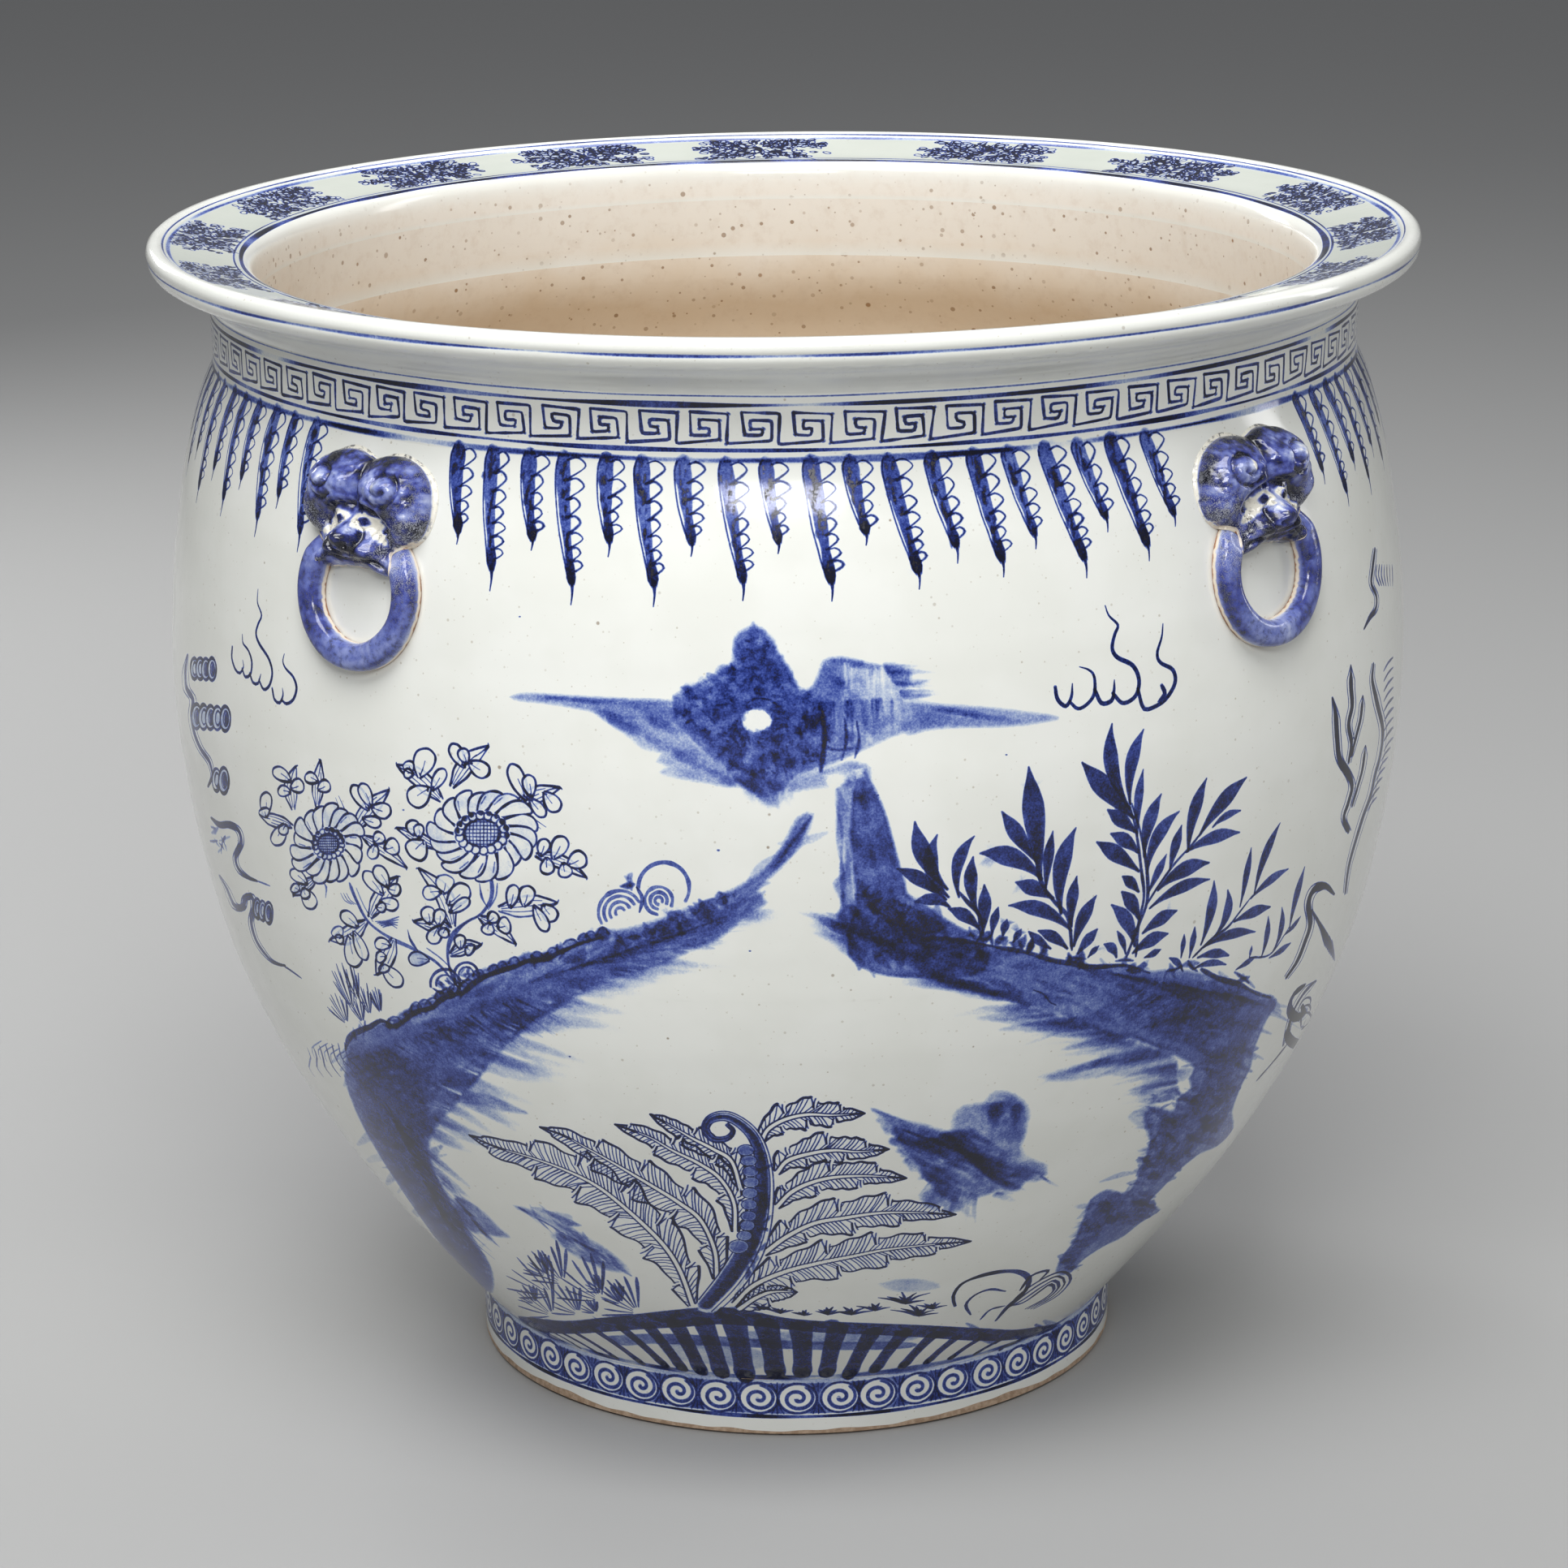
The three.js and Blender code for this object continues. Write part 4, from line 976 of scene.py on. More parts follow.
def right_sprays():
    S = [  # stems
        (C32, [(885, 1510), (868, 1340), (838, 1230), (760, 1150), (672, 1035), (622, 910), (592, 720)], 3.2),
        (C32, [(190, 1420), (180, 1340), (160, 1230), (70, 1130), (10, 1060)], 3.6),
        (C32, [(1380, 1560), (1400, 1300), (1440, 1100), (1420, 900), (1380, 600), (1330, 400)], 3.0),
        (C33, [(40, 1568), (110, 1380), (165, 1220), (160, 1020), (125, 820), (70, 640)], 3.2),
        (C33, [(160, 1250), (235, 1130), (330, 1000), (430, 890), (500, 800)], 2.6),
        (C33, [(440, 1568), (560, 1450), (650, 1385), (725, 1290), (800, 1190)], 2.6),
        (C33, [(780, 1568), (900, 1550), (990, 1430), (1020, 1380)], 2.2),
    ]
    for C, q, w in S:
        sheetline(C, q, w * 1.5, 0.80, soft=0.5, pool=0.5, a=0.02, b=0.3)
    L32 = [((640, 960), (585, 420), (548, 95), 152), ((610, 830), (450, 600), (342, 440), 105), ((650, 960), (410, 790), (175, 762), 132), ((740, 1110), (560, 1020), (450, 985), 110),
           ((680, 1050), (705, 760), (735, 590), 76), ((800, 1230), (795, 900), (912, 565), 125), ((880, 1360), (620, 1190), (395, 1165), 105), ((880, 1330), (885, 1110), (920, 940), 88),
           ((900, 1480), (975, 1250), (1070, 1090), 102), ((850, 1500), (740, 1410), (625, 1360), 84), ((930, 1540), (1010, 1430), (1078, 1350), 92), ((720, 1500), (620, 1430), (550, 1368), 66),
           ((1010, 1568), (1050, 1520), (1092, 1480), 50), ((150, 1210), (100, 960), (120, 790), 92), ((195, 1380), (208, 1170), (205, 1005), 92), ((265, 1390), (285, 1270), (312, 1180), 66),
           ((350, 1400), (362, 1340), (380, 1275), 66), ((430, 1450), (465, 1390), (490, 1350), 58), ((10, 1100), (15, 800), (128, 630), 86), ((170, 1350), (50, 1240), (-70, 1190), 92),
           ((1360, 490), (1110, 230), (960, 60), 134), ((1380, 600), (1260, 500), (1158, 425), 104), ((1400, 760), (1290, 660), (1185, 610), 100), ((1400, 900), (1260, 790), (1075, 675), 112),
           ((1400, 1060), (1340, 990), (1275, 940), 82), ((1400, 1270), (1335, 1130), (1270, 1060), 104), ((1370, 1480), (1310, 1290), (1190, 1160), 104), ((1300, 1540), (1275, 1440), (1235, 1365), 50),
           ((1230, 1568), (1190, 1490), (1135, 1465), 72), ((1330, 420), (1190, 90), (1191, -240), 108),
           ((-70, 1100), (-200, 900), (-158, 620), 100), ((-80, 1040), (-250, 800), (-330, 520), 118), ((-90, 1120), (-260, 980), (-470, 880), 96), ((-60, 1180), (-180, 1120), (-330, 1140), 88)]
    for b, m, t, w in L32:
        leaf(C32, b, m, t, w, d=0.66 + 0.08 * rng.random())
    L33 = [((60, 640), (72, 370), (140, 190), 78), ((105, 830), (110, 610), (138, 430), 54), ((145, 960), (185, 720), (247, 580), 84), ((165, 1050), (225, 840), (356, 685), 84),
           ((170, 1180), (220, 1070), (280, 945), 54), ((300, 1040), (335, 890), (372, 770), 66), ((410, 930), (455, 660), (521, 485), 84), ((480, 830), (610, 640), (762, 480), 98),
           ((560, 780), (635, 715), (728, 680), 48), ((400, 930), (555, 845), (722, 812), 76), ((230, 1160), (400, 1030), (538, 995), 94), ((180, 1270), (345, 1155), (541, 1095), 72),
           ((140, 1420), (245, 1335), (342, 1285), 88), ((80, 1540), (185, 1465), (290, 1425), 88), ((150, 1568), (200, 1545), (247, 1520), 48),
           ((490, 1490), (553, 1270), (568, 1105), 72), ((570, 1440), (650, 1290), (650, 1160), 68), ((725, 1260), (763, 1070), (792, 905), 52), ((810, 1180), (872, 960), (966, 755), 68),
           ((790, 1210), (925, 1085), (1013, 1032), 58), ((690, 1350), (825, 1285), (906, 1262), 72), ((500, 1510), (675, 1425), (816, 1412), 62), ((420, 1568), (440, 1480), (453, 1385), 46),
           ((370, 1568), (381, 1505), (389, 1430), 36), ((470, 1568), (585, 1542), (656, 1555), 60), ((1020, 1390), (1062, 1200), (1111, 1020), 66), ((920, 1530), (972, 1390), (976, 1265), 52),
           ((850, 1568), (883, 1450), (894, 1320), 50), ((990, 1430), (1048, 1372), (1087, 1320), 42), ((900, 1568), (995, 1505), (1027, 1480), 50), ((780, 1568), (788, 1530), (794, 1498), 28),
           ((440, 1640), (540, 1600), (640, 1610), 44), ((700, 1640), (760, 1600), (820, 1560), 44), ((380, 1650), (350, 1600), (300, 1570), 40)]
    for b, m, t, w in L33:
        leaf(C33, b, m, t, w, d=0.64 + 0.08 * rng.random())
    # foot of the sprays: black dabs
    for k, (x, y) in enumerate([(1205, 1150), (1212, 1156), (1240, 1160), (1256, 1164), (1278, 1170), (1320, 1178), (1332, 1182), (1390, 1186), (1402, 1192), (1440, 1196), (1468, 1192), (1530, 1208)]):
        blotches(PP, [(x - 9, y - 4), (x + 9, y - 4), (x + 9, y + 6), (x - 9, y + 6)], 3, 9, 0.8, 500 + k, 1.0)


def hatch_leaf(C, mid, wu, wd, n_notch=5, hatch=13.0, d=0.92, to=px, seed=0, dark_tip=True, mirror=False):
    """Plantain leaf: white midrib between two lines, hatched blades with notched edges. Sizes on the sheet."""
    g = np.random.default_rng(seed)
    P = smooth(np.asarray(mid, float), step=6.0)
    n = len(P)
    s = np.concatenate([[0], np.cumsum(np.hypot(*np.diff(P, axis=0).T))])
    L = s[-1]
    T = np.gradient(P, axis=0)
    T /= np.hypot(T[:, 0], T[:, 1])[:, None] + 1e-9
    N = np.stack([T[:, 1], -T[:, 0]], 1)       # left of travel on a sheet with y down
    t = s / L
    rib = np.interp(t, [0, 0.5, 0.9, 1], [11.0, 7.5, 2.6, 0.4])
    U = lambda w: w / C.s * MPX / 2 if to is px else w / 2
    for side, W in ((1, wu * 1.12), (-1, wd * 1.12)):
        env = W * np.interp(t, [0, 0.08, 0.25, 0.5, 0.72, 0.9, 1], [0.15, 0.55, 0.9, 1.0, 0.78, 0.36, 0.0])
        ph = g.random()
        seg = (t * n_notch + ph) % 1.0
        edge = env * (0.66 + 0.46 * seg ** 1.3 + 0.05 * np.sin(t * 60 + g.uniform(0, 6)))
        near_tip = t > 0.93
        E = P + side * N * (rib * 0.5 + edge)[:, None]
        # thin wash over the blade
        k = t < 0.985
        poly = np.vstack([P[k] + side * N[k] * (rib[k] * 0.6)[:, None], E[k][::-1]])[::2]
        STROKES.append(dict(p=to(C(poly)), w=None, d=0.03, s=0.6, pool=0.0, k="ink", noise=0.5, scale=6.0, area=True, grain=0, edge=0.0, grad=None, thin=None))
        # hatching, leaning towards the tip
        x = 6.0
        while x < L * 0.975:
            i = int(np.searchsorted(s, x))
            i = min(i, n - 1)
            W0 = rib[i] * 0.5 + edge[i]
            fwd = 0.75 * W0
            j = min(n - 1, int(np.searchsorted(s, min(L, x + fwd))))
            if edge[i] > 5 and not (seg[i] > 0.93):
                a = P[i] + side * N[i] * (rib[i] * 0.6)
                b = P[j] + side * N[j] * (rib[j] * 0.5 + edge[j] * (0.93 + 0.05 * g.random()))
                m = (a + b) / 2 + T[i] * 0.06 * W0
                q = to(C(np.array([a, m, b])))
                add(q, U(np.array([4.8, 4.4, 3.4])) * (0.85 + 0.3 * g.random()), 0.84 + 0.12 * g.random(), 0.24, thin=True)
            x += hatch * (0.8 + 0.4 * g.random())
        # outline, broken where a notch cuts the blade
        run = []
        for i in range(n):
            if seg[i] > 0.95 and t[i] < 0.9:
                if len(run) > 2:
                    add(to(C(np.array(run))), U(8.6) * np.interp(np.linspace(0, 1, len(run)), [0, 0.5, 1], [0.7, 1, 1.3]), d, 0.32, 0.3, thin=False)
                # stroke back to the rib side of the notch
                if len(run):
                    a = np.array(run[-1])
                    b = P[i] + side * N[i] * (rib[i] * 0.5 + edge[max(i - 3, 0)] * 0.35)
                    add(to(C(np.array([a, (a + b) / 2 + T[i] * 2, b]))), U(5.4), d * 0.95, 0.3, thin=True)
                run = []
            else:
                run.append(E[i])
        if len(run) > 2:
            add(to(C(np.array(run))), U(8.6), d, 0.32, 0.3, thin=False)
        # white slits where the blade is torn
        for i in range(2, n - 1):
            if seg[i] < seg[i - 1] and 0.06 < t[i] < 0.93 and edge[i - 1] > 12:
                a = P[i] + side * N[i] * (rib[i] * 0.5 + edge[i - 1] * 0.30)
                b = P[i] + side * N[i] * (rib[i] * 0.5 + edge[i - 1] * 0.96) + T[i] * edge[i - 1] * 0.20
                sl = smooth(np.array([a, (a + b) / 2 - T[i] * 3, b]), step=5)
                add(to(C(sl)), U(np.linspace(5, 12, len(sl))), 0.96, 0.3, kind="erase")
                for sd, ww in ((-1, 5.4), (1, 4.8)):
                    cutn = max(2, int(len(sl) * (0.94 if sd < 0 else 0.66)))
                    add(to(C((sl + T[i] * sd * np.linspace(4, 8, len(sl))[:, None])[:cutn])), U(ww), d * 0.95, 0.28, 0.2, thin=True)
    # clean the rib, then its two lines
    add(to(C(P)), U(rib * 1.5), 0.92, 0.35, kind="erase")
    for side in (1, -1):
        add(to(C(P + side * N * (rib * 0.78)[:, None])), U(np.interp(t, [0, 1], [7.0, 4.6])), d, 0.3, 0.2, thin=True)
    if dark_tip:
        k = t > 0.86
        add(to(C(P[k])), U(np.interp(t[k], [0.86, 0.94, 1.0], [4.0, 10.0, 2.2])), 0.84, 0.5, 0.5)


def plantain():
    hatch_leaf(Z6, [(680, 642), (642, 540), (590, 460), (500, 372), (400, 292), (300, 242), (200, 206), (100, 176), (20, 141)], 60, 66, 6, seed=1)
    hatch_leaf(Z6, [(752, 565), (745, 480), (704, 392), (640, 340), (560, 290), (450, 225), (370, 180), (300, 142), (230, 117)], 50, 50, 5, seed=2)
    hatch_leaf(Z6, [(806, 425), (802, 340), (762, 270), (700, 225), (620, 185), (550, 145), (452, 109)], 38, 40, 4, seed=3)
    hatch_leaf(Z6, [(822, 300), (795, 218), (742, 182), (680, 150), (620, 115), (556, 79)], 30, 32, 3, seed=4)
    hatch_leaf(Z6, [(884, 158), (905, 122), (955, 94), (1020, 80), (1095, 82), (1188, 77)], 42, 34, 4, seed=5)
    hatch_leaf(Z6, [(930, 252), (962, 216), (1030, 195), (1100, 186), (1170, 190), (1260, 183)], 46, 30, 3, seed=6)
    hatch_leaf(Z6, [(930, 352), (972, 310), (1030, 282), (1100, 266), (1200, 262), (1312, 269)], 44, 34, 3, seed=7)
    hatch_leaf(Z6, [(892, 490), (960, 440), (1040, 402), (1130, 386), (1230, 372), (1330, 370), (1458, 376)], 52, 40, 4, seed=8)
    hatch_leaf(Z6, [(802, 642), (860, 586), (950, 546), (1050, 520), (1150, 500), (1250, 480), (1380, 465), (1502, 455)], 50, 46, 5, seed=9)
    hatch_leaf(Z6, [(818, 655), (868, 622), (920, 604), (988, 605)], 22, 34, 2, seed=10, dark_tip=False)
    # stem with its curled head
    stem = [(722, 650), (790, 575), (845, 490), (878, 400), (893, 300), (888, 215), (866, 150), (828, 108), (780, 84), (735, 92), (718, 122), (742, 152), (782, 150), (800, 128), (782, 108)]
    lw = [34, 40, 44, 44, 42, 36, 30, 26, 22, 19, 16, 14, 11, 8, 5]
    P = smooth(np.array(stem, float), step=7.0)
    W = np.interp(np.linspace(0, 1, len(P)), np.linspace(0, 1, len(lw)), lw) * 1.55
    tu = px(Z6(P))
    add(tu, W / 2.4 * MPX * 0.66, 0.9, 0.4, kind="erase")
    T = np.gradient(P, axis=0)
    T /= np.hypot(T[:, 0], T[:, 1])[:, None]
    N = np.stack([-T[:, 1], T[:, 0]], 1)      # right of travel
    U = lambda w: w / 2.4 * MPX / 2
    add(px(Z6(P - N * (W * 0.14)[:, None])), U(W * 0.86), 0.66, 0.9, 0.5)
    add(px(Z6(P - N * (W * 0.05)[:, None])), U(W * 0.5) * (1 + 0.25 * np.sin(np.arange(len(P)) * 1.7)), 0.62, 1.0, 0.8)
    add(px(Z6(P + N * (W * 0.60)[:, None])), U(5.0), 0.84, 0.3, thin=True)
    add(px(Z6(P + N * (W * 0.36)[:, None])), U(4.4), 0.84, 0.3, thin=True)
    add(px(Z6(P - N * (W * 0.62)[:, None])), U(5.0), 0.84, 0.3, thin=True)
    # beads down its left side
    for i, (x, y) in enumerate([(838, 185), (846, 216), (852, 248), (853, 280), (850, 312), (848, 346), (846, 380), (842, 408), (834, 438), (816, 470)]):
        r = 23 - 0.3 * i if i < 9 else 28
        a = np.linspace(0, TAU, 15)
        q = np.stack([x + r * np.cos(a) * 1.1, y + r * 0.72 * np.sin(a)], 1)
        area(Z6(q[:-1]), 0.75, 0.4, noise=0.0, kind="erase", grain=0)
        area(Z6(q[:-1] * 0.86 + np.array([x, y]) * 0.14), 0.38, 0.8, noise=0.3, grain=0)
        add(px(Z6(q)), U(4.8), 0.84, 0.3, thin=True)
    blotches(Z6, [(850, 180), (905, 190), (905, 400), (880, 500), (840, 560), (850, 480), (875, 350)], 40, 16, 0.6, 97, 0.9)


def fan(C, base, ang, L, n=8, spread=1.1, w=3.0, d=0.6, seed=0, to=px, bend=0.15):
    g = np.random.default_rng(seed)
    for i in range(n):
        a = ang + spread * ((i + 0.5) / n - 0.5) + g.normal(0, 0.03)
        l = L * (0.8 + 0.25 * g.random()) * (1 - 0.25 * abs((i + 0.5) / n - 0.5) * 2)
        b = np.asarray(base, float)
        st = b + 0.18 * l * np.array([math.cos(a), math.sin(a)])
        e = b + l * np.array([math.cos(a), math.sin(a)])
        m = (st + e) / 2 + bend * l * 0.3 * np.array([-math.sin(a), math.cos(a)]) * (1 if i > n / 2 else -1)
        tu = to(smooth(C(np.array([st, m, e])), step=6 if to is px else 2))
        k = len(tu)
        W = w / C.s * MPX / 2 if to is px else w / 2
        add(tu, np.maximum(W * np.interp(np.linspace(0, 1, k), [0, 0.4, 0.8, 1], [0.35, 0.8, 1.1, 0.5]), 0.13), d * (0.8 + 0.3 * g.random()), 0.4)


def grasses():
    for i, (b, tip) in enumerate([((300, 580), (235, 500)), ((272, 618), (185, 545)), ((412, 632), (335, 548)), ((345, 672), (292, 612)), ((268, 676), (205, 618)), ((522, 668), (448, 608)),
                                  ((415, 605), (385, 575)), ((250, 560), (212, 508)), ((395, 668), (372, 640)), ((470, 640), (440, 600)), ((215, 640), (185, 600))]):
        v = np.array(tip, float) - np.array(b, float)
        fan(Z6, b, math.atan2(v[1], v[0]), np.hypot(*v) * 1.45, 8, 1.75, 12.5, 0.66, 600 + i, bend=0.04)
    # tufts over the left bank
    for i, (b, tip, n, sp) in enumerate([((405, 1235), (350, 1130), 9, 0.8), ((430, 1180), (372, 1010), 10, 0.5), ((452, 1140), (415, 1010), 8, 0.5), ((500, 1200), (470, 1080), 8, 0.6),
                                         ((545, 1190), (515, 1090), 8, 0.6), ((470, 1230), (440, 1130), 8, 0.7)]):
        v = np.array(tip, float) - np.array(b, float)
        fan(Z4, b, math.atan2(v[1], v[0]), np.hypot(*v) * 1.2, n + 1, sp * 1.15, 8.0, 0.90, 620 + i, bend=0.04)
    for k in range(7):
        x0 = 235 + 26 * k
        sheetline(Z4, [(x0, 1330 - 4 * k), (x0 + 14, 1370), (x0 + 6 + 8 * k, 1410), (x0 + 30 + 10 * k, 1450)], 3.2, 0.7)
        sheetline(Z4, [(x0 + 60, 1300 + 10 * k), (x0 + 20, 1330 + 9 * k), (x0 + 30, 1370 + 8 * k)], 1.9, 0.45)
    # hair grass by the mound, right
    for i, (x, y, L, n) in enumerate([(1080, 672, 60, 7), (1150, 672, 55, 7), (1220, 660, 50, 6), (1310, 640, 90, 8), (1390, 655, 60, 6), (1350, 676, 80, 8), (940, 668, 50, 6), (1010, 674, 40, 6), (880, 655, 40, 5)]):
        g = np.random.default_rng(640 + i)
        for j in range(n):
            a = -math.pi * (0.06 + 0.88 * (j + 0.5) / n) + g.normal(0, 0.05)
            l = L * (0.5 + 0.6 * g.random()) * (0.55 + 0.45 * abs(math.cos(a)))
            sheetline(Z6, [(x, y), (x + 0.5 * l * math.cos(a), y + 0.42 * l * math.sin(a)), (x + 1.2 * l * math.cos(a), y + 0.66 * l * math.sin(a))], 5.0, 0.84, lo=0.3, b=0.5)
    # looping curls beside the mound
    C = at(500, 1500, 1.6667)
    sheetline(C, [(1128, 182), (1124, 162), (1140, 138), (1175, 122), (1220, 112), (1258, 112), (1280, 126), (1272, 152), (1240, 180), (1212, 212)], 8.0, 0.88, soft=0.4, a=0.3, b=0.1)
    sheetline(C, [(1160, 200), (1150, 180), (1168, 160), (1200, 148), (1232, 152)], 5.0, 0.82)
    for r in (0, 12, 24, 34):
        sheetline(C, [(1228 + r * 0.3, 196 - r * 0.4), (1262 + r * 0.2, 158 + r * 0.5), (1310 - r * 0.2, 126 + r * 0.75), (1350 - r * 0.75, 112 + r * 0.75), (1366 - r, 128 + r * 0.6), (1340 - r * 0.8, 160 + r * 0.2), (1290 - r * 0.5, 188)], 4.8, 0.80)
    sheetline(C, [(1262, 150), (1286, 120), (1320, 110), (1300, 132)], 5.6, 0.84)
    sheetline(C, [(1180, 210), (1200, 190), (1230, 182)], 4.8, 0.80)


def mound():
    # pale cross bar behind, stripes, then the black ridge
    area(Z6([(430, 735), (560, 728), (700, 732), (850, 742), (1000, 750), (1150, 752), (1300, 752), (1345, 760), (1300, 772), (1150, 776), (1000, 774), (850, 768), (700, 762), (560, 758), (470, 762)]), 0.46, 1.2, noise=0.3)
    area(Z6([(840, 720), (1000, 722), (1180, 728), (1340, 736), (1300, 752), (1150, 758), (1000, 760), (860, 756)]), 0.22, 2.0, noise=0.4)
    area(Z6([(560, 742), (760, 748), (900, 790), (880, 830), (760, 820), (620, 800)]), 0.16, 3.0, noise=0.5)
    st = [((215, 708), (300, 752), 8), ((245, 712), (345, 768), 10), ((280, 718), (400, 785), 13), ((325, 720), (455, 800), 17), ((390, 716), (530, 815), 22), ((470, 710), (598, 822), 27), ((548, 704), (650, 832), 31),
          ((630, 698), (706, 842), 37), ((712, 694), (766, 848), 42), ((802, 690), (836, 856), 48), ((898, 700), (926, 850), 48), ((1000, 708), (1004, 848), 44), ((1108, 714), (1076, 848), 40),
          ((1212, 722), (1142, 852), 37), ((1302, 728), (1218, 836), 33), ((1390, 733), (1302, 824), 29), ((1462, 738), (1374, 812), 24), ((1530, 742), (1444, 800), 19), ((1600, 742), (1515, 788), 15), ((1660, 740), (1590, 775), 11)]
    for i, (a, b, w) in enumerate(st):
        A, B = np.array(a, float), np.array(b, float)
        m = (A + B) / 2 + np.array([(0.05 if b[0] > a[0] else -0.05) * 60, 0])
        P = smooth(np.array([A, m, B]), step=9.0)
        tu = px(Z6(P))
        k = len(tu)
        W = w / 2.4 * MPX / 2 * np.interp(np.linspace(0, 1, k), [0, 0.3, 0.75, 0.92, 1], [1.75, 1.45, 1.30, 1.50, 1.25])
        add(tu, W, 0.72 + 0.10 * rng.random(), 0.6, 0.3)
        add(tu[k // 5:], W[k // 5:] * 0.62, 0.30, 1.2, 0.3)
        for q in range(2):
            add(tu[-2:] + rng.normal(0, 1, 2) * np.array([0.0016, 0.3]), W[-1] * 0.9, 0.8, 0.5, 0.4)
    up = [(165, 676), (300, 690), (420, 680), (520, 669), (650, 655), (750, 648), (850, 660), (950, 680), (1060, 690), (1200, 696), (1350, 702), (1536, 712), (1640, 716), (1760, 700)]
    lowr = [(1700, 728), (1600, 742), (1500, 742), (1350, 732), (1200, 724), (1060, 718), (950, 708), (850, 698), (750, 694), (650, 702), (540, 708), (430, 716), (320, 722), (230, 716), (180, 692)]
    area(Z6(up + [(x, y + 6) for x, y in lowr]), 0.80, 0.8, noise=0.14, scale=5.0, pool=0.4)
    blotches(Z6, up + lowr, 60, 26, 0.5, 98, 0.6, ang=0.1)


def ell(c, rx, ry, n=18, rot=0.0, ph=0.0):
    a = np.linspace(0, TAU, n + 1)[:-1] + ph
    x, y = rx * np.cos(a), ry * np.sin(a)
    return np.stack([c[0] + x * math.cos(rot) - y * math.sin(rot), c[1] + x * math.sin(rot) + y * math.cos(rot)], 1)


def outline(C, pts, w=6.0, d=0.84, to=px, closed=False, soft=0.3, pool=0.0):
    q = np.asarray(pts, float)
    if closed:
        q = np.vstack([q, q[:2]])
    U = (w / C.s * MPX / 2 if to is px else w / 2) * 1.7
    p = smooth(q, step=5.0 * C.s / 2.4 if to is px else 1.6)
    n = len(p)
    g = rng.normal(0, 1, max(3, n // 4 + 2))
    v = 1 + 0.16 * np.interp(np.linspace(0, 1, n), np.linspace(0, 1, len(g)), g)
    add(to(C(p)), np.maximum(U * v, 0.14), np.clip(d * (1 + 0.1 * (v - 1) * 6), 0.3, 1), soft, pool, thin=True if U < 0.5 else None)


def cover(C, pts, to=px, d=0.95, tint=0.0):
    """White out what lies under a closed outline, then a faint tint."""
    q = smooth(np.vstack([pts, pts[:1]]), step=9.0 if to is px else 2.5)[:-1]
    if np.isnan(to(C(q))).any():
        return
    STROKES.append(dict(p=to(C(q)), w=None, d=d, s=0.4, pool=0.0, k="erase", noise=0.0, scale=9.0, area=True, grain=0, edge=0.0, grad=None, thin=None))
    if tint:
        STROKES.append(dict(p=to(C(q)), w=None, d=tint, s=0.6, pool=0.0, k="ink", noise=0.8, scale=6.0, area=True, grain=0, edge=0.0, grad=None, thin=None))


def lobe(C, a, b, w, to=px, lw=6.0, d=0.86, tint=0.02, bead=True, seed=0):
    """Open teardrop from a out to b, w wide."""
    a, b = np.asarray(a, float), np.asarray(b, float)
    v = b - a
    L = np.hypot(*v) + 1e-6
    t = v / L
    n = np.array([-t[1], t[0]])
    s = np.array([0.0, 0.18, 0.42, 0.68, 0.88, 1.0])
    h = np.array([0.12, 0.55, 0.92, 1.0, 0.76, 0.0]) * w * 0.62
    P = [a + t * L * x + n * y for x, y in zip(s, h)] + [a + t * L * x - n * y for x, y in zip(s[::-1][1:], h[::-1][1:])]
    P = np.array(P)
    cover(C, P, to, 0.9, tint)
    outline(C, P, lw, d, to)
    if L > 24 * (1 if to is px else 0.3):
        for o in (0.06,):
            outline(C, [a + t * L * 0.10 + n * w * o * 0.5, a + t * L * 0.34 + n * w * o, a + t * L * 0.58 + n * w * o * 0.9], lw * 0.42, 0.72, to)
    if bead:
        outline(C, [a + t * L * 0.05 + n * w * 0.10, a + t * L * 0.14 - n * w * 0.05], lw * 0.9, d, to)


